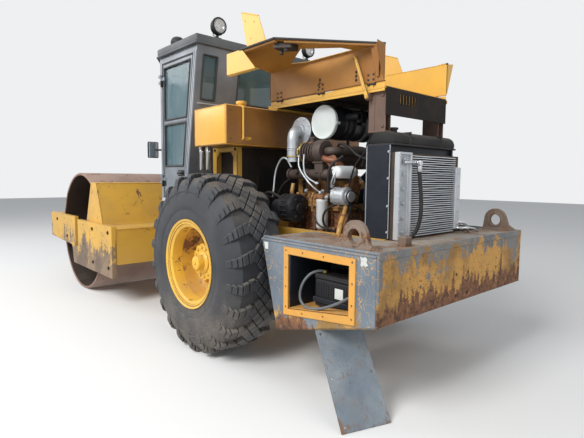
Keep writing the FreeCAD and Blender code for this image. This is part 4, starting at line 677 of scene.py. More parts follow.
class Workshop:
    """Modelling helpers: each adds a shape at its size and place and finishes its edges."""

    @staticmethod
    def clear() -> None:
        """Leave edit mode and deselect everything."""
        if bpy.context.object and bpy.context.object.mode != "OBJECT":
            bpy.ops.object.mode_set(mode="OBJECT")
        bpy.ops.object.select_all(action="DESELECT")

    @staticmethod
    def only(piece: bpy.types.Object) -> None:
        """Select one piece and make it active."""
        Workshop.clear()
        piece.select_set(True)
        bpy.context.view_layer.objects.active = piece

    @staticmethod
    def apply(piece: bpy.types.Object) -> bpy.types.Object:
        """Apply a piece's place, turn and scale to its mesh."""
        Workshop.only(piece)
        bpy.ops.object.transform_apply(location=True, rotation=True, scale=True)
        return piece

    @staticmethod
    def modify(piece: bpy.types.Object, kind: str, **settings: object) -> bpy.types.Object:
        """Add a modifier and apply it.

        Args:
            piece: The piece.
            kind: The modifier's type.
            settings: Its properties.

        Returns:
            The piece.
        """
        Workshop.only(piece)
        modifier = piece.modifiers.new(kind, kind)
        for key, value in settings.items():
            setattr(modifier, key, value)
        bpy.ops.object.modifier_apply(modifier=modifier.name)
        return piece

    @staticmethod
    def smooth(piece: bpy.types.Object, degrees: float = 35.0) -> bpy.types.Object:
        """Shade a piece smooth below an angle."""
        Workshop.only(piece)
        bpy.ops.object.shade_smooth_by_angle(angle=math.radians(degrees))
        return piece

    @staticmethod
    def block(low: Point, high: Point, bevel: float = 0.003, steps: int = 1) -> bpy.types.Object:
        """Add a block between two corners with bevelled edges.

        Args:
            low: One corner.
            high: The opposite corner.
            bevel: Width of the bevel, or 0 for none.
            steps: Segments of the bevel.

        Returns:
            The block.
        """
        Workshop.clear()
        first, second = Vector(low), Vector(high)
        span = second - first
        bpy.ops.mesh.primitive_cube_add(size=1.0, location=(first + second) / 2.0,
                                        scale=(abs(span.x), abs(span.y), abs(span.z)))
        piece = Workshop.apply(bpy.context.object)
        if bevel > 0.0:
            Workshop.modify(piece, "BEVEL", width=bevel, segments=steps, limit_method="ANGLE")
        return piece

    @staticmethod
    def rod(start: Point, end: Point, radius: float, sides: int = 24, bevel: float = 0.002,
            radius_end: float | None = None) -> bpy.types.Object:
        """Add a round bar between two points, or a taper.

        Args:
            start: Middle of the first end.
            end: Middle of the second end.
            radius: Radius at the start.
            sides: Number of sides.
            bevel: Width of the rounded rims.
            radius_end: Radius at the end, if it differs.

        Returns:
            The bar.
        """
        Workshop.clear()
        first, second = Vector(start), Vector(end)
        along = second - first
        turn = along.to_track_quat("Z", "Y").to_euler()
        bpy.ops.mesh.primitive_cone_add(vertices=sides, radius1=radius, depth=along.length,
                                        radius2=radius if radius_end is None else radius_end,
                                        location=(first + second) / 2.0, rotation=turn)
        piece = Workshop.apply(bpy.context.object)
        if bevel > 0.0:
            Workshop.modify(piece, "BEVEL", width=bevel, segments=2, limit_method="ANGLE",
                            angle_limit=math.radians(50))
        return Workshop.smooth(piece)

    @staticmethod
    def plate(corners: Sequence[Point], thickness: Point, bevel: float = 0.002) -> bpy.types.Object:
        """Add a flat plate from its outline.

        Args:
            corners: The outline's points in space, in order.
            thickness: Direction and depth of the plate.
            bevel: Width of the bevel.

        Returns:
            The plate.
        """
        Workshop.clear()
        bpy.ops.mesh.primitive_circle_add(vertices=len(corners), fill_type="NGON")
        piece = bpy.context.object
        piece.matrix_world = Matrix.Identity(4)
        for vertex, corner in zip(piece.data.vertices, corners):
            vertex.co = Vector(corner)
        bpy.ops.object.mode_set(mode="EDIT")
        bpy.ops.mesh.select_all(action="SELECT")
        bpy.ops.mesh.extrude_region_move(TRANSFORM_OT_translate={"value": tuple(Vector(thickness))})
        bpy.ops.mesh.select_all(action="SELECT")
        bpy.ops.mesh.normals_make_consistent(inside=False)
        bpy.ops.object.mode_set(mode="OBJECT")
        if bevel > 0.0:
            Workshop.modify(piece, "BEVEL", width=bevel, segments=1, limit_method="ANGLE")
        return piece

    @staticmethod
    def tube(points: Sequence[Point], radius: float, sides: int = 5, sag: bool = False) -> bpy.types.Object:
        """Add a smooth pipe, hose or wire along points.

        Args:
            points: Points it follows.
            radius: Its radius.
            sides: Steps of its round section.
            sag: True for a curve that only nears its points.

        Returns:
            The pipe as a mesh.
        """
        Workshop.clear()
        curve = bpy.data.curves.new("route", "CURVE")
        curve.dimensions = "3D"
        curve.bevel_depth = radius
        curve.bevel_resolution = sides
        curve.resolution_u = 10
        curve.use_fill_caps = True
        if sag:
            spline = curve.splines.new("NURBS")
            spline.points.add(len(points) - 1)
            for point, place in zip(spline.points, points):
                point.co = (*place, 1.0)
            spline.order_u = 3
            spline.use_endpoint_u = True
        else:
            spline = curve.splines.new("BEZIER")
            spline.bezier_points.add(len(points) - 1)
            for point, place in zip(spline.bezier_points, points):
                point.co = Vector(place)
                point.handle_left_type = point.handle_right_type = "AUTO"
        piece = bpy.data.objects.new("route", curve)
        bpy.context.scene.collection.objects.link(piece)
        Workshop.only(piece)
        bpy.ops.object.convert(target="MESH")
        return Workshop.smooth(bpy.context.object, 50.0)

    @staticmethod
    def spun(profile: Sequence[tuple[float, float]], centre: Point, axis: Point, steps: int = 64
             ) -> bpy.types.Object:
        """Spin a closed (along, radius) profile round an axis.

        Args:
            profile: Points along the axis and away from it.
            centre: Where the axis starts.
            axis: The axis, X, Y or Z.
            steps: Steps of the turn.

        Returns:
            The turned piece.
        """
        Workshop.clear()
        line = Vector(axis).normalized()
        away = Vector((0, 0, 1)) if abs(line.z) < 0.5 else Vector((1, 0, 0))
        bpy.ops.mesh.primitive_circle_add(vertices=len(profile), fill_type="NOTHING")
        piece = bpy.context.object
        for vertex, (along, radius) in zip(piece.data.vertices, profile):
            vertex.co = Vector(centre) + line * along + away * radius
        bpy.ops.object.mode_set(mode="EDIT")
        bpy.ops.mesh.select_all(action="SELECT")
        bpy.ops.mesh.spin(steps=steps, angle=math.tau, center=Vector(centre), axis=line)
        bpy.ops.mesh.select_all(action="SELECT")
        bpy.ops.mesh.remove_doubles(threshold=0.0001)
        bpy.ops.mesh.normals_make_consistent(inside=False)
        bpy.ops.object.mode_set(mode="OBJECT")
        return Workshop.smooth(piece, 40.0)

    @staticmethod
    def copies(model: bpy.types.Object, places: Iterable[Matrix]) -> list[bpy.types.Object]:
        """Copy a piece to several places, each copy with its own mesh.

        Args:
            model: The piece to copy; it is deleted afterwards.
            places: Where each copy goes.

        Returns:
            The copies.
        """
        made = []
        for place in places:
            mesh = model.data.copy()
            mesh.transform(place)
            if place.determinant() < 0.0:
                mesh.flip_normals()
            copy = bpy.data.objects.new(model.name, mesh)
            bpy.context.scene.collection.objects.link(copy)
            made.append(copy)
        bpy.data.objects.remove(model)
        return made

    @staticmethod
    def joined(pieces: Sequence[bpy.types.Object], name: str) -> bpy.types.Object:
        """Join pieces into one.

        Args:
            pieces: The pieces.
            name: Name of the result.

        Returns:
            The joined piece.
        """
        Workshop.clear()
        for piece in pieces:
            piece.select_set(True)
        bpy.context.view_layer.objects.active = pieces[0]
        if len(pieces) > 1:
            bpy.ops.object.join()
        result = bpy.context.object
        result.name = name
        result.data.name = name
        return result

    @staticmethod
    def mirrored(piece: bpy.types.Object, name: str) -> bpy.types.Object:
        """Copy a piece to the machine's other side.

        Args:
            piece: The piece of the left side.
            name: Name of the copy.

        Returns:
            The copy.
        """
        mesh = piece.data.copy()
        mesh.transform(Matrix.Scale(-1.0, 4, (0, 1, 0)))
        mesh.flip_normals()
        copy = bpy.data.objects.new(name, mesh)
        bpy.context.scene.collection.objects.link(copy)
        return copy

    @staticmethod
    def bolt(centre: Point, axis: Point, size: float = 0.011, height: float = 0.008) -> bpy.types.Object:
        """Add a hexagon bolt head with a washer.

        Args:
            centre: Where the head sits.
            axis: The way it points.
            size: Radius over the corners.
            height: Height of the head.

        Returns:
            The bolt.
        """
        start, line = Vector(centre), Vector(axis).normalized()
        washer = Workshop.rod(start, start + line * height * 0.25, size * 1.35, sides=16, bevel=0.0)
        head = Workshop.rod(start, start + line * height, size, sides=6, bevel=size * 0.08)
        return Workshop.joined([washer, head], "bolt")

    @staticmethod
    def prism(outline: Sequence[tuple[float, float]], axis: str, low: float, high: float, bevel: float = 0.002
              ) -> bpy.types.Object:
        """Add a plate from an outline in the two axes that its depth doesn't run along.

        Args:
            outline: The points, in X, Y, Z order without the depth's axis.
            axis: The axis of the depth, x, y or z.
            low: Where the depth starts.
            high: Where it ends.
            bevel: Width of the bevel.

        Returns:
            The plate.
        """
        spot = "xyz".index(axis)
        corners = []
        for first, second in outline:
            corner = [first, second]
            corner.insert(spot, low)
            corners.append(corner)
        depth = [0.0, 0.0, 0.0]
        depth[spot] = high - low
        return Workshop.plate(corners, depth, bevel)

    @staticmethod
    def cut(piece: bpy.types.Object, tool: bpy.types.Object) -> bpy.types.Object:
        """Cut a tool's shape out of a piece and delete the tool."""
        Workshop.modify(piece, "BOOLEAN", operation="DIFFERENCE", object=tool, solver="EXACT")
        bpy.data.objects.remove(tool)
        return piece

    @staticmethod
    def bolts(places: Iterable[Point], axis: Point, size: float = 0.011, height: float = 0.008
              ) -> list[bpy.types.Object]:
        """Add like bolts at several places."""
        model = Workshop.bolt((0.0, 0.0, 0.0), axis, size, height)
        return Workshop.copies(model, [Matrix.Translation(Vector(place)) for place in places])

    @staticmethod
    def around(centre: Point, axis: Point, angle: float) -> Matrix:
        """Return a turn by an angle about an axis through a point."""
        spot = Matrix.Translation(Vector(centre))
        return spot @ Matrix.Rotation(angle, 4, Vector(axis)) @ spot.inverted()

    @staticmethod
    def ring(model: bpy.types.Object, centre: Point, axis: Point, count: int, start: float = 0.0
             ) -> list[bpy.types.Object]:
        """Copy a piece round an axis.

        Args:
            model: The piece.
            centre: A point on the axis.
            axis: The axis.
            count: Number of copies.
            start: Turn of the first copy, in steps.

        Returns:
            The copies.
        """
        step = math.tau / count
        return Workshop.copies(model, [Workshop.around(centre, axis, (k + start) * step) for k in range(count)])

    @staticmethod
    def row(model: bpy.types.Object, step: Point, count: int) -> list[bpy.types.Object]:
        """Copy a piece along a line, the first where it stands."""
        return Workshop.copies(model, [Matrix.Translation(Vector(step) * k) for k in range(count)])

    @staticmethod
    def both_sides(piece: bpy.types.Object) -> list[bpy.types.Object]:
        """Return a piece of the left side with its mirror image."""
        return [piece, Workshop.mirrored(piece, piece.name)]

    @staticmethod
    def dress(piece: bpy.types.Object, finish: Finish | Pane) -> bpy.types.Object:
        """Give a piece one finish all over."""
        piece.data.materials.clear()
        piece.data.materials.append(finish.material())
        return piece

    @staticmethod
    def settle(piece: bpy.types.Object, finish: Finish | Pane, body: str, slot: str,
               replaces: Sequence[str] = ()) -> bpy.types.Object:
        """Move a finished piece from the axle's frame to the scene's, dress it and fix it to its body.

        Args:
            piece: The piece.
            finish: Its finish.
            body: The body that carries it.
            slot: The record's material slot; not used.
            replaces: Solids that it stands for.

        Returns:
            The piece.
        """
        piece.data.transform(Matrix.Translation((REAR_AXLE, 0.0, 0.0)))
        Workshop.dress(piece, finish)
        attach(piece, body)
        if replaces:
            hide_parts(*replaces)
        LOG.info("%s: %d faces on %s", piece.name, len(piece.data.polygons), body)
        return piece


SHOP = Workshop()
MACHINE = "rear_machine"
FRONT = "front_frame"


@dataclass
class RearWheel:
    """A driven wheel: carcass, tread bars, dished rim and hub.

    Attributes:
        radius: Radius over the tread.
        middle: Distance of the tyre's middle plane from the machine's middle.
        lug: Height of the tread.
        rows: Bars round each shoulder.
        bead: Radius where the tyre sits on the rim.
        lean: How far a bar runs round the tyre for each metre across it.
    """

    radius: float = 0.750
    middle: float = 0.875
    lug: float = 0.034
    rows: int = 22
    bead: float = 0.335
    lean: float = 0.34

    def build(self) -> None:
        """Build both wheels."""
        pieces = (
            ("tyre_tread", SHOP.joined([self.carcass(), self.tread()], "tyre"), TYRE, "tyre", "tyre"),
            ("rim_lips", self.rim_lips(), YELLOW_WHEEL, "wheel_yellow", "rim"),
            ("rim_dish", self.rim_dish(), WHEEL_DISH, "wheel_yellow", None),
            ("hub_drive", self.hub(), YELLOW_WHEEL, "wheel_yellow", None),
        )
        for name, left, finish, slot, node in pieces:
            right = SHOP.mirrored(left, f"{name}_right")
            left.name = f"{name}_left"
            for side, piece in ((Side.LEFT, left), (Side.RIGHT, right)):
                stands_for = [f"{node}_{side.word}"] if node else []
                SHOP.settle(piece, finish, f"wheel_{side.word}", slot, stands_for)

    def centre(self) -> Vector:
        """Middle of the left wheel."""
        return Vector((0.0, self.middle, self.radius))

    def carcass(self) -> bpy.types.Object:
        """Spin the tyre's body without its tread."""
        base = self.radius - self.lug
        half = [
            (0.0, base + 0.004), (0.12, base), (0.195, base - 0.008), (0.224, base - 0.042), (0.242, 0.640),
            (0.2535, 0.602), (0.2485, 0.596), (0.2505, 0.59), (0.256, 0.55), (0.258, 0.50), (0.2565, 0.455),
            (0.2525, 0.450), (0.2535, 0.443), (0.251, 0.405), (0.246, 0.380), (0.240, self.bead),
        ]
        outline = half + [(-along, radius) for along, radius in reversed(half[1:])]
        return SHOP.spun(outline, self.centre(), (0, 1, 0), 96)

    def on_tread(self, across: float, along: float, radius: float) -> Vector:
        """Return a point near the tyre's top.

        Args:
            across: Distance from the tyre's middle plane.
            along: Distance round the tread at full radius.
            radius: Distance from the axle.

        Returns:
            The point in space.
        """
        angle = along / self.radius
        return self.centre() + Vector((math.sin(angle) * radius, across, math.cos(angle) * radius))

    def wedge(self, points: Sequence[tuple[float, float, float]], foot: float) -> bpy.types.Object:
        """Build a tread block from (across, along, radius) corners, with a foot below.

        Args:
            points: The top face's corners.
            foot: How far below each corner the foot lies.

        Returns:
            The block.
        """
        tops = [self.on_tread(*point) for point in points]
        feet = [self.on_tread(across * 0.985, along, radius - foot) for across, along, radius in points]
        SHOP.clear()
        bpy.ops.mesh.primitive_cylinder_add(vertices=len(points), end_fill_type="NGON")
        block = bpy.context.object
        block.matrix_world = Matrix.Identity(4)
        for index, vertex in enumerate(block.data.vertices):
            vertex.co = (feet if index % 2 == 0 else tops)[index // 2]
        SHOP.only(block)
        bpy.ops.object.mode_set(mode="EDIT")
        bpy.ops.mesh.select_all(action="SELECT")
        bpy.ops.mesh.normals_make_consistent(inside=False)
        bpy.ops.object.mode_set(mode="OBJECT")
        return SHOP.modify(block, "BEVEL", width=0.0045, segments=1, limit_method="ANGLE")

    def bar(self) -> bpy.types.Object:
        """Model one bar of the outer half: fingers down the shoulder, then two blocks."""
        top = self.radius
        steps = (
            (0.109, 0.153, 0.044, top, top - 0.001), (0.160, 0.204, 0.041, top - 0.001, top - 0.008),
            (0.211, 0.227, 0.038, top - 0.010, top - 0.034), (0.233, 0.246, 0.036, top - 0.044, top - 0.082),
            (0.249, 0.2565, 0.033, top - 0.094, top - 0.132),
        )
        blocks = []
        for near, far, half, high, low in steps:
            shift = [self.lean * (0.25 - across) for across in (near, far)]
            corners = [(near, shift[0] - half, high), (far, shift[1] - half, low),
                       (far, shift[1] + half, low), (near, shift[0] + half, high)]
            blocks.append(self.wedge(corners, self.lug + 0.010))
        return SHOP.joined(blocks, "bar")

    def tread(self) -> bpy.types.Object:
        """Copy the bars and the lattice of diamonds round the tyre."""
        centre = self.centre()
        pitch = math.tau / self.rows
        turn = [SHOP.around(centre, (0, 1, 0), index * pitch * 0.5) for index in range(2 * self.rows)]
        mid = Matrix.Translation((0.0, centre.y, 0.0))
        flip = mid @ Matrix.Scale(-1.0, 4, (0, 1, 0)) @ mid.inverted()
        pieces = SHOP.copies(self.bar(), turn[0::2] + [place @ flip for place in turn[1::2]])
        step = pitch * self.radius / 4.0
        wide, long = 0.041, step * 0.90
        diamond = self.wedge([(-wide, 0.0, self.radius), (0.0, -long, self.radius), (wide, 0.0, self.radius),
                              (0.0, long, self.radius)], self.lug)
        spots = []
        start = self.lean * 0.10
        for index in range(self.rows):
            cells = [(0.0, 0), (0.0, 2), (0.046, 1), (0.046, 3), (-0.046, 1), (-0.046, 3), (0.090, 0), (-0.090, 2)]
            for across, quarter in cells:
                angle = (index + quarter / 4.0) * pitch + start / self.radius
                spots.append(SHOP.around(centre, (0, 1, 0), angle) @ Matrix.Translation((0.0, across, 0.0)))
        pieces += SHOP.copies(diamond, spots)
        return SHOP.joined(pieces, "tread_blocks")

    def rim_lips(self) -> bpy.types.Object:
        """Spin the rim's barrel with its rolled flanges and tapered outer ring."""
        outline = [
            (-0.254, 0.322), (-0.254, 0.372), (-0.249, 0.374), (-0.243, 0.366), (-0.242, 0.335), (-0.17, 0.330),
            (-0.14, 0.318), (0.14, 0.318), (0.17, 0.330), (0.242, 0.335), (0.243, 0.366), (0.249, 0.374),
            (0.2545, 0.371), (0.252, 0.362), (0.243, 0.352), (0.232, 0.326), (0.222, 0.310), (0.16, 0.302),
            (-0.16, 0.302),
        ]
        valve = SHOP.rod((0.0, self.middle + 0.205, self.radius - 0.312),
                         (0.0, self.middle + 0.244, self.radius - 0.300), 0.006, 10, 0.001)
        return SHOP.joined([SHOP.spun(outline, self.centre(), (0, 1, 0), 80), valve], "rim_lips")

    def rim_dish(self) -> bpy.types.Object:
        """Spin the dished disc, deep behind the outer ring."""
        outline = [
            (0.165, 0.303), (0.04, 0.299), (-0.002, 0.288), (-0.022, 0.262), (-0.024, 0.232), (0.0, 0.205),
            (0.024, 0.180), (0.030, 0.140), (0.014, 0.140), (0.006, 0.176), (-0.018, 0.200), (-0.038, 0.232),
            (-0.036, 0.270), (-0.014, 0.296), (0.03, 0.304),
        ]
        return SHOP.joined([SHOP.spun(outline, self.centre(), (0, 1, 0), 80)], "rim_dish")

    def hub(self) -> bpy.types.Object:
        """Model the drive hub: housing, scalloped flange, cap, bolts and wheel nuts."""
        centre = self.centre()
        housing = [
            (-0.272, 0.070), (-0.272, 0.142), (0.060, 0.142), (0.066, 0.132), (0.070, 0.060), (0.0, 0.060),
        ]
        cap = [
            (0.098, 0.001), (0.098, 0.092), (0.108, 0.094), (0.116, 0.086), (0.124, 0.066), (0.160, 0.062),
            (0.174, 0.056), (0.179, 0.046), (0.179, 0.001),
        ]
        pieces = [SHOP.spun(housing, centre, (0, 1, 0), 64), SHOP.spun(cap, centre, (0, 1, 0), 48)]
        teeth = 12
        outline = []
        for index in range(teeth * 6):
            angle = math.tau * index / (teeth * 6)
            reach = 0.157 if index % 6 < 4 else 0.146
            outline.append((math.sin(angle) * reach, centre.z + math.cos(angle) * reach))
        pieces.append(SHOP.prism(outline, "y", centre.y + 0.060, centre.y + 0.100, 0.0025))
        bolt = SHOP.bolt((0.0, centre.y + 0.100, centre.z + 0.125), (0, 1, 0), 0.0125, 0.012)
        pieces += SHOP.ring(bolt, centre, (0, 1, 0), teeth, 0.28)
        nut = SHOP.bolt((0.0, centre.y + 0.026, centre.z + 0.182), (0, 1, 0), 0.018, 0.024)
        pieces += SHOP.ring(nut, centre, (0, 1, 0), 10, 0.5)
        plug = SHOP.rod((0.0, centre.y + 0.178, centre.z), (0.0, centre.y + 0.186, centre.z), 0.016, 6)
        return SHOP.joined(pieces + [plug], "hub_drive")


class RearWeight:
    """The U-shaped weight with its battery bay and lifting lugs."""

    HALF = 0.949
    TOP = 1.044
    INNER = 0.440
    REAR = -1.810
    SIDE = ((-0.764, TOP), (-0.938, 0.395), (REAR, 0.620), (REAR, TOP))
    BAY = ((-1.070, 0.955), (-1.070, 0.579), (-1.610, 0.653), (-1.610, 0.955))

    def build(self) -> None:
        """Build the weight and what it carries."""
        SHOP.settle(self.body(), WEIGHT_SIDE, MACHINE, "frame_grey", ["counterweight"])
        SHOP.settle(self.rear_face(), WEIGHT_REAR, MACHINE, "frame_grey")
        SHOP.settle(self.top(), WEIGHT_TOP, MACHINE, "frame_grey")
        SHOP.settle(self.bay_frame(), FRAME_ORANGE, MACHINE, "frame_yellow")
        SHOP.settle(self.bay_lining(), BLACK_PANEL, MACHINE, "black_metal")
        SHOP.settle(self.lugs(), RUSTY_IRON, MACHINE, "frame_grey")
        SHOP.settle(self.patches(), LABEL_WHITE, MACHINE, "frame_grey")
        SHOP.settle(self.frame_bolts(), RUSTY_IRON, MACHINE, "frame_grey")
        self.battery()

    def body(self) -> bpy.types.Object:
        """Model both wings, the left one cut for the bay, and the bar between them."""
        wings = []
        for low, high in ((self.INNER, self.HALF), (-self.HALF, -self.INNER)):
            wings.append(SHOP.prism(self.SIDE, "y", low, high, 0.010))
        tool = SHOP.prism([(x, z) for x, z in self.BAY], "y", 0.529, 1.1, 0.0)
        SHOP.cut(wings[0], tool)
        bar = SHOP.block((self.REAR, -self.INNER - 0.004, 0.620), (-1.470, self.INNER + 0.004, self.TOP), 0.008)
        for dy in (-0.080, 0.080):
            for dz in (-0.075, 0.075):
                SHOP.cut(bar, SHOP.rod((self.REAR - 0.02, dy, 0.745 + dz), (self.REAR + 0.06, dy, 0.745 + dz),
                                       0.012, 16, 0.0))
        strips = []
        for y in (self.HALF - 0.020, -self.HALF):
            strips.append(SHOP.block((self.REAR, y, self.TOP - 0.004), (-0.790, y + 0.020, self.TOP + 0.013), 0.004))
        weld = SHOP.tube([(-0.770, 0.9485, 1.028), (-1.3, 0.9495, 1.029), (-1.800, 0.9485, 1.028)], 0.006, 3)
        return SHOP.joined(wings + [bar, weld] + strips, "weight_body")

    def rear_face(self) -> bpy.types.Object:
        """Model the plate on the rear face with its folded top edge and tapped holes."""
        plate = SHOP.prism([(-self.HALF + 0.003, 0.626), (self.HALF - 0.003, 0.626), (self.HALF - 0.003, 1.052),
                            (-self.HALF + 0.003, 1.052)], "x", self.REAR - 0.006, self.REAR + 0.004, 0.003)
        holes = [(dy, 0.745 + dz) for dy in (-0.080, 0.080) for dz in (-0.075, 0.075)]
        for y, z in holes + [(0.52, 0.80), (-0.52, 0.80)]:
            SHOP.cut(plate, SHOP.rod((self.REAR - 0.05, y, z), (self.REAR + 0.02, y, z), 0.012, 14, 0.0))
        edge = SHOP.block((self.REAR - 0.015, -self.HALF, self.TOP - 0.034),
                          (self.REAR + 0.004, self.HALF, self.TOP + 0.014), 0.005, 2)
        seams = []
        for y in (-self.HALF + 0.006, self.HALF - 0.006):
            seams.append(SHOP.rod((self.REAR - 0.003, y, 0.628), (self.REAR - 0.003, y, 1.045), 0.010, 12, 0.002))
        return SHOP.joined([plate, edge] + seams, "weight_rear_face")

    def top(self) -> bpy.types.Object:
        """Model the plates on top of the wings and the bar."""
        plates = []
        for sign in (1.0, -1.0):
            plates.append(SHOP.prism([(-0.790, sign * 0.448), (-0.790, sign * 0.927), (-1.803, sign * 0.927),
                                      (-1.803, sign * 0.448)], "z", self.TOP - 0.003, self.TOP + 0.003, 0.001))
        plates.append(SHOP.block((-1.803, -0.446, self.TOP - 0.003), (-1.474, 0.446, self.TOP + 0.002), 0.001))
        return SHOP.joined(plates, "weight_top")

    def bay_frame(self) -> bpy.types.Object:
        """Model the bolted frame round the bay's mouth, with its bolt holes and inner ledge."""
        outer = [(-1.022, 1.003), (-1.022, 0.531), (-1.658, 0.605), (-1.658, 1.003)]
        frame = SHOP.prism(outer, "y", self.HALF - 0.004, self.HALF + 0.0085, 0.002)
        SHOP.cut(frame, SHOP.prism([(x, z) for x, z in self.BAY], "y", 0.9, 1.1, 0.0))
        spots = [(-1.046, z) for z in (0.979, 0.86, 0.73, 0.59)] + [(-1.634, z) for z in (0.979, 0.85, 0.72, 0.638)]
        spots += [(x, 0.979) for x in (-1.21, -1.40)] + [(-1.21, 0.575), (-1.40, 0.601)]
        for x, z in spots:
            SHOP.cut(frame, SHOP.rod((x, 0.93, z), (x, 1.0, z), 0.0075, 12, 0.0))
        ledge = SHOP.plate([(-1.072, 0.70, 0.582), (-1.072, 0.948, 0.582), (-1.608, 0.948, 0.656),
                            (-1.608, 0.70, 0.656)], (0, 0, 0.005), 0.001)
        return SHOP.joined([frame, ledge], "bay_frame")

    def bay_lining(self) -> bpy.types.Object:
        """Model the bay's dark inner walls and the shelf that holds the battery."""
        back = SHOP.prism([(x, z) for x, z in self.BAY], "y", 0.529, 0.533, 0.0)
        walls = [
            SHOP.prism([(-1.070, 0.580), (-1.070, 0.955), (-1.074, 0.955), (-1.074, 0.580)], "y", 0.53, 0.940, 0.0),
            SHOP.prism([(-1.610, 0.653), (-1.610, 0.955), (-1.606, 0.955), (-1.606, 0.653)], "y", 0.53, 0.940, 0.0),
            SHOP.block((-1.610, 0.53, 0.951), (-1.070, 0.940, 0.955), 0.0),
            SHOP.plate([(-1.072, 0.53, 0.579), (-1.072, 0.70, 0.579), (-1.608, 0.70, 0.653),
                        (-1.608, 0.53, 0.653)], (0, 0, 0.006), 0.001),
        ]
        rails = [SHOP.block((-1.60, y, 0.652), (-1.22, y + 0.012, 0.684), 0.002) for y in (0.594, 0.856)]
        return SHOP.joined([back] + walls + rails, "bay_lining")

    @staticmethod
    def lugs() -> bpy.types.Object:
        """Cut the two lifting lugs: a round eye on a leg that runs down to the rim."""
        pieces = []
        for sign in (1.0, -1.0):
            outline = [(-1.515, 1.040), (-1.528, 1.130)]
            for step in range(9):
                angle = math.radians(-8.0 + 21.0 * step)
                outline.append((-1.620 + math.cos(angle) * 0.092, 1.133 + math.sin(angle) * 0.092))
            outline += [(-1.730, 1.092), (-1.796, 1.050), (-1.790, 1.040)]
            low, high = sorted((sign * 0.900, sign * 0.931))
            lug = SHOP.prism(outline, "y", low, high, 0.004)
            hole = SHOP.rod((-1.620, low - 0.02, 1.130), (-1.620, high + 0.02, 1.130), 0.047, 28, 0.0)
            SHOP.cut(lug, hole)
            boss = SHOP.spun([(0.0, 0.046), (0.0, 0.060), (0.004, 0.064), (0.036, 0.064), (0.040, 0.060),
                              (0.040, 0.046)], (-1.620, low - 0.0045, 1.130), (0, 1, 0), 36)
            foot = SHOP.tube([(-1.520, sign * 0.900, 1.049), (-1.64, sign * 0.899, 1.050),
                              (-1.755, sign * 0.900, 1.049)], 0.009, 3)
            pieces += [lug, boss, foot]
        block = SHOP.block((-1.735, 0.505, 1.044), (-1.675, 0.575, 1.106), 0.006, 2)
        nub = SHOP.bolt((-1.705, 0.540, 1.106), (0, 0, 1), 0.016, 0.010)
        return SHOP.joined(pieces + [block, nub], "lifting_lugs")

    @staticmethod
    def patches() -> bpy.types.Object:
        """Lay two small blank patches of old white paint on the left side."""
        ragged = [(-1.684, 1.024), (-1.706, 1.015), (-1.722, 1.029), (-1.737, 1.010), (-1.731, 0.992), (-1.744, 0.975),
                  (-1.722, 0.966), (-1.712, 0.975), (-1.699, 0.961), (-1.688, 0.972), (-1.693, 0.993)]
        square = [(-0.800, 1.012), (-0.846, 1.012), (-0.846, 0.962), (-0.812, 0.962)]
        return SHOP.joined([SHOP.prism(shape, "y", 0.948, 0.9497, 0.0) for shape in (ragged, square)], "blank_patches")

    @staticmethod
    def frame_bolts() -> bpy.types.Object:
        """Add the bolts that hold the weight to the rails, under the rim."""
        spots = [(x, 0.394, z) for x in (-1.03, -1.44) for z in (0.92, 1.00)]
        left = SHOP.joined(SHOP.bolts(spots, (0, -1, 0), 0.018, 0.014), "rail_bolts")
        return SHOP.joined(SHOP.both_sides(left), "rail_bolts")

    @staticmethod
    def battery() -> None:
        """Model the battery with its ribbed case, lid, posts, blank sticker and cable."""
        floor = 0.652
        low, high = (-1.575, 0.610, floor - 0.030), (-1.225, 0.850, floor + 0.150)
        case = [SHOP.block(low, high, 0.006, 2)]
        case.append(SHOP.block((low[0] - 0.004, low[1] - 0.004, high[2] + 0.002),
                               (high[0] + 0.004, high[1] + 0.004, high[2] + 0.036), 0.008, 2))
        rib = SHOP.block((low[0] + 0.006, high[1], low[2] + 0.03), (low[0] + 0.012, high[1] + 0.003, high[2] - 0.02),
                         0.001)
        case += SHOP.row(rib, (0.022, 0, 0), 16)
        cap = SHOP.rod((low[0] + 0.05, 0.695, high[2] + 0.035), (low[0] + 0.05, 0.695, high[2] + 0.042), 0.015, 16)
        case += SHOP.row(cap, (0.050, 0, 0), 6)
        case.append(SHOP.block((low[0] + 0.03, 0.720, high[2] + 0.035), (high[0] - 0.03, 0.765, high[2] + 0.041), 0.003))
        grip = SHOP.block((low[0] + 0.05, 0.846, high[2] + 0.010), (high[0] - 0.05, 0.860, high[2] + 0.022), 0.004)
        SHOP.settle(SHOP.joined(case + [grip], "battery_case"), PLASTIC, MACHINE, "black_plastic", ["battery"])
        posts = []
        for x in (-1.530, -1.270):
            top = high[2] + 0.036
            posts.append(SHOP.rod((x, 0.800, top), (x, 0.800, top + 0.020), 0.010, 16, 0.002))
            posts.append(SHOP.spun([(0.004, 0.009), (0.004, 0.018), (0.016, 0.018), (0.016, 0.009)],
                                   (x, 0.800, top), (0, 0, 1), 20))
        SHOP.settle(SHOP.joined(posts, "battery_posts"), BRASS, MACHINE, "rod_chrome")
        sticker = SHOP.block((-1.475, 0.8525, 0.700), (-1.405, 0.8545, 0.768), 0.0005)
        SHOP.settle(SHOP.joined([sticker], "battery_sticker"), LABEL_WHITE, MACHINE, "filter_white")
        cable = SHOP.tube([(-1.270, 0.800, 0.850), (-1.225, 0.850, 0.862), (-1.160, 0.905, 0.780),
                           (-1.150, 0.930, 0.665), (-1.230, 0.938, 0.612), (-1.370, 0.936, 0.640),
                           (-1.500, 0.925, 0.700), (-1.570, 0.905, 0.748), (-1.605, 0.880, 0.765)], 0.0095, 6, True)
        SHOP.settle(SHOP.joined([cable], "battery_cable"), HOSE_GREY, MACHINE, "hose_rubber")


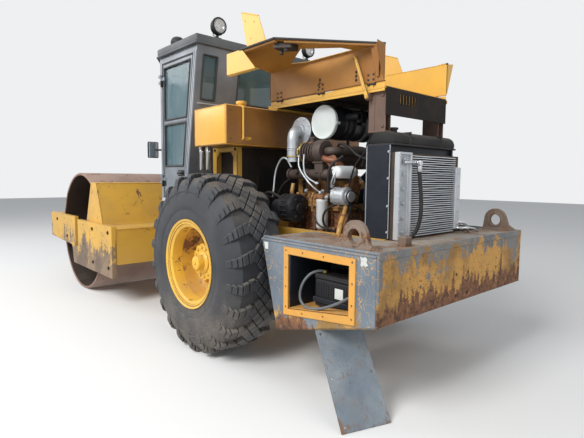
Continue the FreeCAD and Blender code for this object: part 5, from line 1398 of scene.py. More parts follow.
class CoverPlate:
    """The bay's cover, taken off and leaning against the weight."""

    def build(self) -> None:
        """Build the bent plate with its bolt holes."""
        foot = Vector((-1.689, 1.083, 0.0))
        heading, lean = math.radians(-108.3), math.radians(35.5)
        across = Vector((math.cos(heading), math.sin(heading), 0.0))
        level = Vector((-across.y, across.x, 0.0))
        upward = Vector((0.0, 0.0, math.cos(lean))) + level * math.sin(lean)
        normal = across.cross(upward)
        wide, long, thick = 0.340, 0.616, 0.006
        base = foot + Vector((0.0, 0.0, abs(normal.z) * thick))
        SHOP.clear()
        bpy.ops.mesh.primitive_grid_add(x_subdivisions=20, y_subdivisions=36, size=1.0)
        sheet = bpy.context.object
        for vertex in sheet.data.vertices:
            side, high = (vertex.co.x + 0.5) * wide, (vertex.co.y + 0.5) * long
            bow = 0.0025 * math.sin(math.pi * side / wide) * math.sin(math.pi * high / long)
            vertex.co = base + across * side + upward * high - normal * bow
        SHOP.modify(sheet, "SOLIDIFY", thickness=thick, offset=0.0)
        drop = min(vertex.co.z for vertex in sheet.data.vertices)
        sheet.data.transform(Matrix.Translation((0.0, 0.0, 0.0005 - drop)))
        for side in (0.030, wide - 0.030):
            for high in (0.030, long / 2.0, long - 0.030):
                middle = base + across * side + upward * high
                SHOP.cut(sheet, SHOP.rod(middle - normal * 0.03, middle + normal * 0.03, 0.0075, 12, 0.0))
        SHOP.modify(sheet, "BEVEL", width=0.001, segments=1, limit_method="ANGLE")
        SHOP.settle(SHOP.joined([SHOP.smooth(sheet)], "bay_cover"), GREY_PLATE, MACHINE, "frame_grey", ["cover_plate"])


class EngineBay:
    """The open engine with its exhaust blower, air cleaner, filters, drives, pipes and wires."""

    def build(self) -> None:
        """Build each group of the engine."""
        SHOP.settle(self.block(), ENGINE_RUST, MACHINE, "engine_yellow", ["engine_block"])
        SHOP.settle(self.head(), ENGINE_YELLOW, MACHINE, "engine_yellow")
        SHOP.settle(self.exhaust(), ENGINE_IRON, MACHINE, "engine_dark", ["exhaust_manifold"])
        SHOP.settle(self.clamps(), BRASS, MACHINE, "engine_yellow")
        SHOP.settle(self.stains(), COPPER, MACHINE, "engine_dark")
        SHOP.settle(self.elbow(), ALUMINIUM, MACHINE, "pipe_grey", ["intake_pipe"])
        SHOP.settle(self.cleaner_body(), BLACK, MACHINE, "black_metal", ["air_cleaner"])
        SHOP.settle(self.cleaner_lid(), CLEANER_LID, MACHINE, "pipe_grey")
        SHOP.settle(self.filter_cans(), WHITE, MACHINE, "filter_white", ["filters"])
        SHOP.settle(self.filter_heads(), ENGINE_RUST, MACHINE, "engine_yellow")
        SHOP.settle(self.fuel_bowls(), CHROME, MACHINE, "rod_chrome")
        SHOP.settle(self.alternator(), ALUMINIUM, MACHINE, "pipe_grey", ["engine_drives"])
        SHOP.settle(self.black_drives(), BLACK, MACHINE, "black_metal")
        SHOP.settle(self.hoses(), HOSE, MACHINE, "hose_rubber", ["engine_hoses"])
        SHOP.settle(self.bright_pipes(), ALUMINIUM, MACHINE, "pipe_grey")
        SHOP.settle(self.yellow_pipes(), ENGINE_YELLOW, MACHINE, "engine_yellow")
        SHOP.settle(self.silencer(), ENGINE_IRON, MACHINE, "engine_dark", ["muffler"])

    @staticmethod
    def block() -> bpy.types.Object:
        """Model the cylinder block with its ribs, plugs, sump, bell housing and feet."""
        parts = [
            SHOP.block((-0.980, -0.230, 0.830), (-0.350, 0.228, 1.205), 0.012, 2),
            SHOP.block((-0.965, -0.255, 0.890), (-0.365, 0.255, 1.000), 0.014, 2),
            SHOP.prism([(-0.960, 0.640), (-0.960, 0.835), (-0.380, 0.835), (-0.520, 0.640)], "y", -0.150, 0.150, 0.015),
            SHOP.block((-0.975, -0.170, 0.822), (-0.370, 0.170, 0.840), 0.003),
            SHOP.spun([(0.0, 0.001), (0.0, 0.225), (0.016, 0.235), (0.096, 0.235), (0.106, 0.222), (0.120, 0.222),
                       (0.120, 0.001)], (-0.350, 0.0, 1.010), (1, 0, 0), 48),
            SHOP.spun([(0.0, 0.001), (0.0, 0.096), (0.008, 0.108), (0.030, 0.110), (0.030, 0.001)],
                      (-1.000, 0.0, 0.900), (1, 0, 0), 40),
        ]
        for x in (-0.900, -0.420):
            parts.append(SHOP.block((x - 0.040, -0.399, 0.930), (x + 0.040, 0.399, 0.972), 0.006))
            parts += SHOP.bolts([(x, sign * 0.350, 0.972) for sign in (1, -1)], (0, 0, 1), 0.016, 0.014)
        rib = SHOP.block((-0.905, 0.224, 1.030), (-0.881, 0.251, 1.198), 0.006, 2)
        parts += SHOP.row(rib, (0.097, 0, 0), 6)
        plug = SHOP.spun([(0.0, 0.001), (0.0, 0.027), (0.007, 0.026), (0.007, 0.021), (0.003, 0.019), (0.003, 0.001)],
                         (-0.846, 0.228, 1.090), (0, 1, 0), 24)
        parts += SHOP.row(plug, (0.097, 0, 0), 5)
        parts += SHOP.bolts([(-0.94 + 0.07 * k, 0.255, 0.915) for k in range(9)], (0, 1, 0), 0.010, 0.008)
        parts += SHOP.bolts([(-0.94 + 0.07 * k, 0.172, 0.815) for k in range(9)], (0, 0, -1), 0.008, 0.006)
        pump = [
            SHOP.block((-0.905, -0.305, 1.120), (-0.690, -0.229, 1.200), 0.008, 2),
            SHOP.block((-0.903, -0.299, 1.198), (-0.692, -0.256, 1.250), 0.006, 2),
            SHOP.rod((-0.945, -0.280, 1.165), (-0.900, -0.280, 1.165), 0.046, 28, 0.006),
        ]
        screw = SHOP.rod((-0.875, -0.278, 1.248), (-0.875, -0.278, 1.266), 0.009, 12, 0.001)
        pump += SHOP.row(screw, (0.034, 0, 0), 6)
        return SHOP.joined(parts + pump, "cylinder_block")

    @staticmethod
    def head() -> bpy.types.Object:
        """Model the heads with rocker covers, side bosses, brackets and a lifting eye."""
        parts = [SHOP.block((-0.965, -0.190, 1.199), (-0.365, 0.250, 1.262), 0.006)]
        for index in range(3):
            x = -0.935 + index * 0.195
            parts.append(SHOP.block((x, -0.188, 1.262), (x + 0.175, 0.246, 1.338), 0.010, 2))
            parts.append(SHOP.block((x + 0.004, -0.150, 1.336), (x + 0.169, 0.170, 1.352), 0.003))
            parts.append(SHOP.block((x + 0.010, -0.142, 1.350), (x + 0.163, 0.162, 1.446), 0.022, 3))
            spots = [(x + 0.012, y, 1.352) for y in (-0.14, 0.02, 0.16)] + [(x + 0.161, y, 1.352) for y in (-0.14, 0.16)]
            parts += SHOP.bolts(spots, (0, 0, 1), 0.009, 0.009)
            parts += SHOP.bolts([(x + 0.05, 0.01, 1.446), (x + 0.125, 0.01, 1.446)], (0, 0, 1), 0.012, 0.012)
            port = SHOP.block((x + 0.040, 0.240, 1.205), (x + 0.105, 0.272, 1.262), 0.010, 2)
            parts.append(port)
            parts += SHOP.bolts([(x + 0.030, 0.246, 1.30), (x + 0.140, 0.246, 1.30)], (0, 1, 0), 0.010, 0.010)
        bracket = SHOP.prism([(-1.000, 1.300), (-0.905, 1.300), (-0.905, 1.345), (-0.930, 1.420), (-0.985, 1.430),
                              (-1.010, 1.380)], "y", 0.226, 0.246, 0.004)
        SHOP.cut(bracket, SHOP.rod((-0.962, 0.20, 1.372), (-0.962, 0.26, 1.372), 0.024, 20, 0.0))
        parts.append(bracket)
        arm = SHOP.prism([(0.246, 1.300), (0.300, 1.296), (0.352, 1.330), (0.352, 1.350), (0.290, 1.330),
                          (0.246, 1.345)], "x", -0.870, -0.842, 0.004)
        parts += SHOP.row(arm, (0.36, 0, 0), 2)
        eye = SHOP.prism([(-0.420, 1.262), (-0.360, 1.262), (-0.364, 1.480), (-0.390, 1.500), (-0.416, 1.480)], "y",
                         0.210, 0.220, 0.003)
        SHOP.cut(eye, SHOP.rod((-0.390, 0.18, 1.468), (-0.390, 0.24, 1.468), 0.014, 16, 0.0))
        rail = SHOP.tube([(-0.960, 0.262, 1.236), (-0.80, 0.268, 1.240), (-0.60, 0.266, 1.236), (-0.37, 0.262, 1.240)],
                         0.012, 4)
        return SHOP.joined(parts + [eye, rail], "cylinder_heads")

    @staticmethod
    def exhaust() -> bpy.types.Object:
        """Model the manifold's log and ports, and the blower with its ribs, core and scroll."""
        mid = (0.0, 0.320, 1.680)
        parts = [SHOP.rod((-0.935, 0.315, 1.500), (-0.385, 0.315, 1.500), 0.040, 28, 0.008)]
        for index in range(3):
            x = -0.860 + index * 0.195
            parts.append(SHOP.tube([(x, 0.165, 1.488), (x, 0.230, 1.480), (x, 0.290, 1.494), (x, 0.318, 1.500)], 0.027, 6))
            parts.append(SHOP.block((x - 0.040, 0.152, 1.452), (x + 0.040, 0.166, 1.524), 0.006, 2))
            parts += SHOP.bolts([(x - 0.030, 0.166, 1.512), (x + 0.030, 0.166, 1.464)], (0, 1, 0), 0.010, 0.010)
            parts.append(SHOP.rod((x + 0.090, 0.315, 1.5), (x + 0.108, 0.315, 1.5), 0.049, 28, 0.003))
        ribs = [(-0.800, 0.060), (-0.800, 0.084), (-0.790, 0.092), (-0.722, 0.092), (-0.712, 0.078)]
        for index in range(5):
            x = -0.700 + index * 0.030
            ribs += [(x, 0.064), (x, 0.080), (x + 0.003, 0.083), (x + 0.011, 0.083), (x + 0.014, 0.080), (x + 0.014, 0.064)]
        ribs += [(-0.560, 0.062), (-0.545, 0.056), (-0.545, 0.040), (-0.800, 0.040)]
        parts.append(SHOP.spun(ribs, mid, (1, 0, 0), 48))
        SHOP.clear()
        bpy.ops.mesh.primitive_torus_add(major_segments=40, minor_segments=18, major_radius=0.058,
                                         minor_radius=0.033, location=(-0.765, 0.320, 1.680),
                                         rotation=(0.0, math.radians(90.0), 0.0))
        parts.append(SHOP.smooth(SHOP.apply(bpy.context.object)))
        parts.append(SHOP.block((-0.795, 0.276, 1.500), (-0.700, 0.364, 1.640), 0.016, 3))
        parts.append(SHOP.block((-0.805, 0.266, 1.585), (-0.690, 0.374, 1.600), 0.004))
        parts += SHOP.bolts([(-0.797, 0.345, 1.600), (-0.698, 0.345, 1.600)], (0, 0, 1), 0.010, 0.012)
        parts.append(SHOP.rod((-0.640, 0.320, 1.735), (-0.640, 0.320, 1.802), 0.026, 20, 0.003))
        parts.append(SHOP.rod((-0.640, 0.320, 1.785), (-0.640, 0.320, 1.800), 0.033, 20, 0.003))
        spots = [(-0.724, 0.320 + math.sin(a) * 0.084, 1.680 + math.cos(a) * 0.084) for a in (0.4, 1.5, 2.6, 3.7, 4.8)]
        parts += SHOP.bolts(spots, (1, 0, 0), 0.009, 0.012)
        parts.append(SHOP.rod((-0.500, 0.385, 1.520), (-0.500, 0.300, 1.520), 0.020, 16, 0.002))
        return SHOP.joined(parts, "exhaust_blower")

    @staticmethod
    def clamps() -> bpy.types.Object:
        """Model the gold band clamps on the blower's front end and inlet."""
        band = SHOP.spun([(0.0, 0.078), (0.0, 0.083), (0.005, 0.0885), (0.017, 0.0885), (0.022, 0.083), (0.022, 0.078)],
                         (-0.572, 0.320, 1.680), (1, 0, 0), 48)
        ear = SHOP.block((-0.571, 0.400, 1.660), (-0.555, 0.424, 1.692), 0.003)
        bolt = SHOP.bolt((-0.563, 0.412, 1.692), (0, 0, 1), 0.008, 0.016)
        small = SHOP.spun([(0.0, 0.050), (0.0, 0.054), (0.010, 0.054), (0.010, 0.050)], (-0.490, 0.405, 1.640),
                          (0, 0, 1), 32)
        return SHOP.joined([band, ear, bolt, small], "band_clamps")

    @staticmethod
    def stains() -> bpy.types.Object:
        """Model the heat-stained shield and elbow under the blower."""
        shield = SHOP.prism([(-0.935, 1.560), (-0.935, 1.625), (-0.905, 1.650), (-0.835, 1.640), (-0.820, 1.590),
                             (-0.860, 1.556)], "y", 0.340, 0.352, 0.004)
        elbow = SHOP.tube([(-0.800, 0.350, 1.625), (-0.850, 0.352, 1.612), (-0.900, 0.330, 1.600),
                           (-0.930, 0.280, 1.560)], 0.026, 6)
        collar = SHOP.rod((-0.640, 0.320, 1.745), (-0.640, 0.320, 1.760), 0.038, 24, 0.003)
        return SHOP.joined([shield, elbow, collar], "stained_shield")

    @staticmethod
    def elbow() -> bpy.types.Object:
        """Model the grey flanged elbow beside the air cleaner."""
        x, z = -0.490, 1.860
        flange = SHOP.spun([(0.0, 0.044), (0.0, 0.116), (0.003, 0.119), (0.010, 0.119), (0.013, 0.116), (0.013, 0.060),
                            (0.020, 0.056), (0.034, 0.052), (0.034, 0.044)], (x, 0.301, z), (0, 1, 0), 56)
        bolt = SHOP.bolt((x, 0.314, z + 0.102), (0, 1, 0), 0.0085, 0.008)
        parts = [flange] + SHOP.ring(bolt, (x, 0.0, z), (0, 1, 0), 8, 0.5)
        parts.append(SHOP.tube([(x, 0.310, z), (x, 0.346, z - 0.001), (x, 0.385, z - 0.017), (x, 0.402, z - 0.055),
                                (x, 0.404, z - 0.120), (x, 0.405, z - 0.190), (x, 0.402, z - 0.258)], 0.0455, 9))
        parts.append(SHOP.tube([(x, 0.400, z - 0.215), (x - 0.016, 0.372, z - 0.214), (x - 0.050, 0.345, z - 0.198)],
                               0.028, 6))
        for drop in (0.150, 0.165):
            ring = SHOP.spun([(0.0, 0.044), (0.0, 0.049), (0.008, 0.049), (0.008, 0.044)], (x, 0.405, z - drop),
                             (0, 0, 1), 32)
            parts.append(ring)
        parts.append(SHOP.rod((x, 0.301, z), (x, 0.010, z), 0.069, 32, 0.006))
        parts.append(SHOP.block((-0.620, 0.032, z - 0.048), (x, 0.148, z + 0.048), 0.012, 2))
        parts.append(SHOP.block((x - 0.018, 0.022, z), (x + 0.018, 0.058, 2.088), 0.003))
        return SHOP.joined(parts, "intake_elbow")

    @staticmethod
    def cleaner_body() -> bpy.types.Object:
        """Model the air cleaner's dark drum with beads, straps, mount and outlet."""
        outline = [(0.030, 0.001), (0.030, 0.118), (0.022, 0.128)]
        for along in (-0.090, -0.215, -0.340, -0.465):
            outline += [(along + 0.012, 0.128), (along + 0.006, 0.132), (along - 0.006, 0.132), (along - 0.012, 0.128)]
        outline += [(-0.535, 0.128), (-0.552, 0.118), (-0.560, 0.080), (-0.560, 0.001)]
        parts = [SHOP.spun(outline, (-0.750, 0.270, 1.915), (0, 1, 0), 56)]
        for y in (0.120, -0.180):
            strap = SHOP.spun([(-0.018, 0.130), (-0.018, 0.134), (0.018, 0.134), (0.018, 0.130)],
                              (-0.750, y, 1.915), (0, 1, 0), 48)
            parts += [strap, SHOP.block((-0.766, y - 0.018, 2.030), (-0.734, y + 0.018, 2.089), 0.003)]
            parts += SHOP.bolts([(-0.734, y, 2.058)], (1, 0, 0), 0.009, 0.008)
        parts.append(SHOP.block((-0.905, -0.06, 1.900), (-0.870, 0.02, 1.93), 0.006))
        parts.append(SHOP.spun([(-0.060, 0.024), (-0.060, 0.032), (0.060, 0.032), (0.060, 0.024)],
                               (-0.960, 0.180, 1.950), (1, 0, 0), 28))
        return SHOP.joined(parts, "cleaner_drum")

    @staticmethod
    def cleaner_lid() -> bpy.types.Object:
        """Model the pale pressed lid with its rolled rim and clips."""
        lid = SHOP.spun([(-0.006, 0.126), (-0.006, 0.136), (0.006, 0.1375), (0.020, 0.1365), (0.025, 0.131),
                         (0.021, 0.124), (0.017, 0.108), (0.0195, 0.070), (0.0205, 0.030), (0.0205, 0.001),
                         (-0.002, 0.001)], (-0.750, 0.290, 1.915), (0, 1, 0), 64)
        clip = SHOP.block((-0.760, 0.262, 2.046), (-0.740, 0.306, 2.056), 0.002)
        parts = [lid] + SHOP.ring(clip, (-0.750, 0.0, 1.915), (0, 1, 0), 3, 0.2)
        return SHOP.joined(parts, "cleaner_lid")

    @staticmethod
    def filter_cans() -> bpy.types.Object:
        """Model the upright and the level oil filter."""
        upright = SHOP.spun([(0.0, 0.001), (0.0, 0.038), (0.006, 0.045), (0.016, 0.0475), (0.212, 0.0475), (0.216, 0.0495),
                             (0.228, 0.0495), (0.232, 0.046), (0.238, 0.046), (0.238, 0.001)],
                            (-0.770, 0.330, 1.062), (0, 0, 1), 48)
        level = SHOP.spun([(0.0, 0.001), (0.0, 0.046), (0.010, 0.0495), (0.020, 0.0475), (0.160, 0.0475), (0.176, 0.045),
                           (0.186, 0.037), (0.190, 0.026), (0.190, 0.001)], (-1.010, 0.250, 1.515), (0, 1, 0), 44)
        return SHOP.joined([upright, level], "filter_cans")

    @staticmethod
    def filter_heads() -> bpy.types.Object:
        """Model the cast heads that the filters screw into."""
        parts = [
            SHOP.block((-0.815, 0.250, 1.299), (-0.725, 0.372, 1.334), 0.010, 2),
            SHOP.rod((-0.770, 0.330, 1.285), (-0.770, 0.330, 1.306), 0.040, 28, 0.004),
            SHOP.block((-1.030, 0.150, 1.290), (-0.960, 0.232, 1.382), 0.010, 2),
            SHOP.prism([(0.152, 1.360), (0.262, 1.380), (0.262, 1.560), (0.232, 1.560), (0.190, 1.480)], "x",
                       -1.030, -0.990, 0.006),
            SHOP.rod((-1.010, 0.228, 1.515), (-1.010, 0.254, 1.515), 0.044, 28, 0.004),
            SHOP.block((-0.880, 0.232, 1.010), (-0.810, 0.300, 1.075), 0.008, 2),
        ]
        parts += SHOP.bolts([(-0.800, 0.290, 1.334), (-0.740, 0.290, 1.334), (-0.995, 0.19, 1.382)], (0, 0, 1), 0.010, 0.012)
        return SHOP.joined(parts, "filter_heads")

    @staticmethod
    def fuel_bowls() -> bpy.types.Object:
        """Model the two bright fuel filters under the tank."""
        parts = []
        for x in (0.325, 0.215):
            parts.append(SHOP.spun([(0.0, 0.001), (0.0, 0.012), (0.006, 0.020), (0.014, 0.0245), (0.160, 0.0245),
                                    (0.164, 0.027), (0.178, 0.027), (0.184, 0.020), (0.184, 0.001)],
                                   (x, 0.780, 1.525), (0, 0, 1), 36))
            parts.append(SHOP.block((x - 0.014, 0.756, 1.702), (x + 0.014, 0.804, 1.742), 0.004))
            parts += SHOP.bolts([(x, 0.804, 1.722)], (0, 1, 0), 0.008, 0.006)
        return SHOP.joined(parts, "fuel_bowls")

    @staticmethod
    def alternator() -> bpy.types.Object:
        """Model the alternator with slotted ends, fan and pulley."""
        mid = (0.0, 0.335, 1.330)
        body = SHOP.spun([(-1.048, 0.001), (-1.048, 0.058), (-1.040, 0.069), (-1.018, 0.071), (-1.014, 0.064), (-0.952, 0.064),
                          (-0.948, 0.071), (-0.924, 0.070), (-0.912, 0.058), (-0.912, 0.001)], mid, (1, 0, 0), 48)
        slot = SHOP.block((-1.0475, 0.331, 1.372), (-0.915, 0.339, 1.396), 0.003)
        parts = [body] + SHOP.ring(slot, mid, (1, 0, 0), 14)
        parts.append(SHOP.spun([(-1.084, 0.001), (-1.084, 0.040), (-1.078, 0.040), (-1.072, 0.031), (-1.066, 0.040),
                                (-1.060, 0.031), (-1.054, 0.040), (-1.049, 0.040), (-1.049, 0.001)], mid, (1, 0, 0), 40))
        through = SHOP.bolt((-0.912, 0.335, 1.386), (1, 0, 0), 0.007, 0.008)
        parts += SHOP.ring(through, mid, (1, 0, 0), 4, 0.5)
        parts.append(SHOP.prism([(0.250, 1.262), (0.330, 1.262), (0.330, 1.290), (0.300, 1.312), (0.250, 1.330)], "x",
                                -0.955, -0.915, 0.005))
        return SHOP.joined(parts, "alternator")

    @staticmethod
    def black_drives() -> bpy.types.Object:
        """Model the black pump, its bracket, and the fan with hub, blades and belt wheels."""
        mid = (0.0, 0.385, 1.215)
        pump = [(-0.560, 0.001), (-0.560, 0.100), (-0.548, 0.116), (-0.520, 0.120), (-0.512, 0.110), (-0.430, 0.110),
                (-0.424, 0.120), (-0.392, 0.120), (-0.384, 0.106), (-0.372, 0.092), (-0.336, 0.084), (-0.330, 0.070),
                (-0.268, 0.066), (-0.261, 0.058), (-0.261, 0.001)]
        parts = [SHOP.spun(pump, mid, (1, 0, 0), 56)]
        fin = SHOP.block((-0.510, 0.380, 1.322), (-0.432, 0.390, 1.334), 0.003)
        parts += SHOP.ring(fin, mid, (1, 0, 0), 18)
        face = SHOP.bolt((-0.561, 0.385, 1.295), (-1, 0, 0), 0.010, 0.009)
        parts += SHOP.ring(face, mid, (1, 0, 0), 6, 0.5)
        parts.append(SHOP.rod((-0.562, 0.385, 1.215), (-0.580, 0.385, 1.215), 0.045, 28, 0.006))
        parts.append(SHOP.prism([(-0.540, 1.200), (-0.380, 1.200), (-0.400, 1.290), (-0.520, 1.290)], "y", 0.251, 0.300,
                                0.006))
        axis = (0.0, 0.0, 1.330)
        parts.append(SHOP.spun([(-1.120, 0.001), (-1.120, 0.050), (-1.112, 0.060), (-1.060, 0.060), (-1.050, 0.075),
                                (-1.040, 0.062), (-1.030, 0.075), (-1.020, 0.062), (-0.965, 0.060), (-0.965, 0.001)],
                               axis, (1, 0, 0), 44))
        parts.append(SHOP.spun([(-1.118, 0.001), (-1.118, 0.050), (-1.050, 0.085), (-1.040, 0.070), (-1.030, 0.085),
                                (-0.982, 0.055), (-0.982, 0.001)], (0.0, 0.0, 1.150), (1, 0, 0), 44))
        blade = SHOP.plate([(-1.110, -0.042, 1.378), (-1.086, 0.042, 1.378), (-1.080, 0.058, 1.598),
                            (-1.114, -0.058, 1.598)], (0.004, 0.0, 0.0), 0.001)
        parts += SHOP.ring(blade, axis, (1, 0, 0), 8)
        parts.append(SHOP.block((-1.060, -0.034, 1.160), (-1.002, 0.034, 1.320), 0.004))
        return SHOP.joined(parts, "black_drives")

    @staticmethod
    def hoses() -> bpy.types.Object:
        """Lay the coolant hoses, belts, loose hoses and the black wires."""
        routes = (
            (0.032, ((-0.958, -0.110, 1.320), (-1.014, -0.110, 1.334), (-1.032, -0.110, 1.480), (-1.044, -0.110, 1.630),
                     (-1.110, -0.110, 1.700), (-1.210, -0.110, 1.742), (-1.289, -0.110, 1.745))),
            (0.034, ((-0.981, -0.150, 1.080), (-1.045, -0.160, 1.080), (-1.086, -0.240, 1.095), (-1.112, -0.318, 1.109),
                     (-1.180, -0.330, 1.110), (-1.279, -0.330, 1.110))),
            (0.012, ((-0.960, 0.300, 1.640), (-0.900, 0.372, 1.560), (-0.880, 0.380, 1.450), (-0.872, 0.372, 1.350))),
            (0.011, ((-0.850, 0.250, 1.700), (-0.930, 0.300, 1.735), (-1.020, 0.300, 1.700), (-1.100, 0.290, 1.640),
                     (-1.240, 0.280, 1.600))),
            (0.009, ((-0.890, 0.300, 1.010), (-0.850, 0.345, 1.060), (-0.835, 0.385, 1.150), (-0.880, 0.372, 1.235),
                     (-0.930, 0.330, 1.262))),
            (0.007, ((-0.720, 0.385, 1.180), (-0.800, 0.400, 1.100), (-0.900, 0.380, 1.070), (-0.950, 0.330, 1.040))),
            (0.010, ((-1.040, 0.300, 1.270), (-1.060, 0.330, 1.180), (-1.040, 0.360, 1.090), (-1.000, 0.330, 1.010))),
            (0.012, ((-0.330, 0.400, 1.300), (-0.200, 0.420, 1.340), (-0.080, 0.420, 1.290), (0.030, 0.400, 1.250))),
            (0.014, ((-0.330, 0.370, 1.150), (-0.220, 0.400, 1.120), (-0.100, 0.420, 1.160), (0.030, 0.410, 1.160))),
            (0.008, ((-0.400, 0.300, 1.480), (-0.300, 0.330, 1.420), (-0.180, 0.330, 1.300), (0.032, 0.300, 1.320))),
            (0.006, ((-1.262, 0.335, 1.900), (-1.240, 0.320, 1.800), (-1.200, 0.300, 1.700), (-1.080, 0.300, 1.560),
                     (-1.030, 0.310, 1.405))),
            (0.013, ((-1.230, 0.240, 1.775), (-1.180, 0.260, 1.740), (-1.150, 0.250, 1.640), (-1.100, 0.240, 1.560))),
        )
        parts = [SHOP.tube(points, radius, 5) for radius, points in routes]
        for low, high in ((1.150, 1.330),):
            loop = [(-1.045, 0.076, high), (-1.045, 0.073, low), (-1.045, 0.0, low - 0.083), (-1.045, -0.073, low),
                    (-1.045, -0.076, high), (-1.045, 0.0, high + 0.074), (-1.045, 0.076, high)]
            parts.append(SHOP.tube(loop, 0.006, 3))
        belt = [(-1.066, 0.060, 1.130), (-1.066, 0.200, 1.215), (-1.066, 0.345, 1.292), (-1.066, 0.374, 1.335),
                (-1.066, 0.340, 1.370), (-1.066, 0.200, 1.320), (-1.066, 0.030, 1.225)]
        parts.append(SHOP.tube(belt, 0.006, 3))
        rings = [((-0.985, -0.110, 1.318), (1, 0, 0), 0.034), ((-1.262, -0.110, 1.745), (1, 0, 0), 0.034),
                 ((-1.262, -0.330, 1.110), (1, 0, 0), 0.036), ((-1.004, -0.150, 1.080), (1, 0, 0), 0.036)]
        for spot, axis, radius in rings:
            parts.append(SHOP.spun([(0.0, radius - 0.002), (0.0, radius + 0.004), (0.012, radius + 0.004),
                                    (0.012, radius - 0.002)], spot, axis, 28))
        return SHOP.joined(parts, "engine_hose_set")

    @staticmethod
    def bright_pipes() -> bpy.types.Object:
        """Lay the thin bright pipes, injection lines and fittings."""
        routes = [
            (0.007, ((-0.560, 0.400, 1.640), (-0.580, 0.412, 1.560), (-0.650, 0.408, 1.470), (-0.720, 0.392, 1.400),
                     (-0.760, 0.345, 1.352))),
            (0.007, ((-0.620, 0.395, 1.660), (-0.628, 0.405, 1.560), (-0.650, 0.400, 1.490), (-0.740, 0.360, 1.420))),
            (0.006, ((-0.950, 0.300, 1.560), (-0.920, 0.340, 1.500), (-0.900, 0.330, 1.440), (-0.830, 0.300, 1.400))),
            (0.008, ((-0.395, 0.330, 1.560), (-0.330, 0.350, 1.640), (-0.250, 0.350, 1.600), (-0.200, 0.380, 1.300))),
            (0.006, ((-1.010, 0.440, 1.515), (-1.000, 0.455, 1.470), (-0.960, 0.430, 1.430), (-0.900, 0.350, 1.400))),
            (0.009, ((-1.490, -0.440, 1.075), (-1.560, -0.500, 1.085), (-1.600, -0.560, 1.075), (-1.600, -0.640, 1.052))),
        ]
        for index in range(6):
            pump_x, head_x = -0.875 + index * 0.034, -0.905 + index * 0.097
            level = 1.292 + index * 0.011
            routes.append((0.005, ((pump_x, -0.278, 1.262), (pump_x, -0.278, level - 0.008), (pump_x + 0.01, -0.278, level),
                                   (head_x, -0.278, level), (head_x, -0.262, level), (head_x, -0.190, level))))
        parts = [SHOP.tube(points, radius, 4) for radius, points in routes]
        spots = [(-0.560, 0.400, 1.640), (-0.760, 0.345, 1.345), (-0.740, 0.360, 1.420), (-0.900, 0.350, 1.395)]
        parts += SHOP.bolts(spots, (0, 0, 1), 0.012, 0.018)
        parts += SHOP.bolts([(-0.86, 0.374, 1.318), (-0.70, 0.252, 1.36), (-0.50, 0.252, 1.36)], (0, 1, 0), 0.012, 0.014)
        return SHOP.joined(parts, "bright_pipes")

    @staticmethod
    def yellow_pipes() -> bpy.types.Object:
        """Lay the painted pipes: the slanted filler below the alternator and the water rail."""
        slanted = SHOP.tube([(-1.000, 0.300, 1.270), (-1.060, 0.380, 1.225), (-1.105, 0.470, 1.150), (-1.128, 0.520, 1.085),
                             (-1.130, 0.530, 1.052)], 0.018, 7)
        cap = SHOP.rod((-1.000, 0.305, 1.268), (-0.985, 0.285, 1.285), 0.029, 24, 0.004)
        flange = SHOP.spun([(0.0, 0.020), (0.0, 0.040), (0.010, 0.040), (0.010, 0.020)], (-1.130, 0.530, 1.047),
                           (0, 0, 1), 28)
        stub = SHOP.tube([(-0.460, 0.255, 1.230), (-0.450, 0.320, 1.240), (-0.430, 0.350, 1.320), (-0.420, 0.330, 1.420)],
                         0.018, 6)
        rod = SHOP.tube([(-0.700, 0.360, 1.350), (-0.690, 0.372, 1.300), (-0.700, 0.370, 1.200)], 0.010, 5)
        return SHOP.joined([slanted, cap, flange, stub, rod], "painted_pipes")

    @staticmethod
    def silencer() -> bpy.types.Object:
        """Model the silencer on the right side with its seams, pipes and straps."""
        can = SHOP.spun([(-0.930, 0.001), (-0.930, 0.040), (-0.922, 0.090), (-0.916, 0.0945), (-0.906, 0.0945),
                         (-0.902, 0.091), (-0.440, 0.091), (-0.436, 0.0945), (-0.424, 0.0945), (-0.418, 0.088),
                         (-0.410, 0.040), (-0.410, 0.001)], (0.0, -0.270, 1.640), (1, 0, 0), 48)
        inlet = SHOP.tube([(-0.800, 0.320, 1.680), (-0.850, 0.320, 1.681), (-0.879, 0.290, 1.682), (-0.880, 0.200, 1.686),
                           (-0.880, 0.0, 1.699), (-0.880, -0.120, 1.682), (-0.880, -0.250, 1.663)], 0.033, 7)
        tail = SHOP.tube([(-0.415, -0.270, 1.640), (-0.370, -0.276, 1.638), (-0.342, -0.320, 1.622), (-0.340, -0.430, 1.584),
                          (-0.340, -0.484, 1.560), (-0.340, -0.499, 1.500), (-0.340, -0.500, 1.200),
                          (-0.340, -0.500, 0.902)], 0.033, 7)
        parts = [can, inlet, tail]
        for x in (-0.860, -0.500):
            parts.append(SHOP.spun([(-0.015, 0.090), (-0.015, 0.0945), (0.015, 0.0945), (0.015, 0.090)],
                                   (x, -0.270, 1.640), (1, 0, 0), 40))
            parts.append(SHOP.block((x - 0.014, -0.289, 1.730), (x + 0.014, -0.267, 2.089), 0.003))
        return SHOP.joined(parts, "silencer")


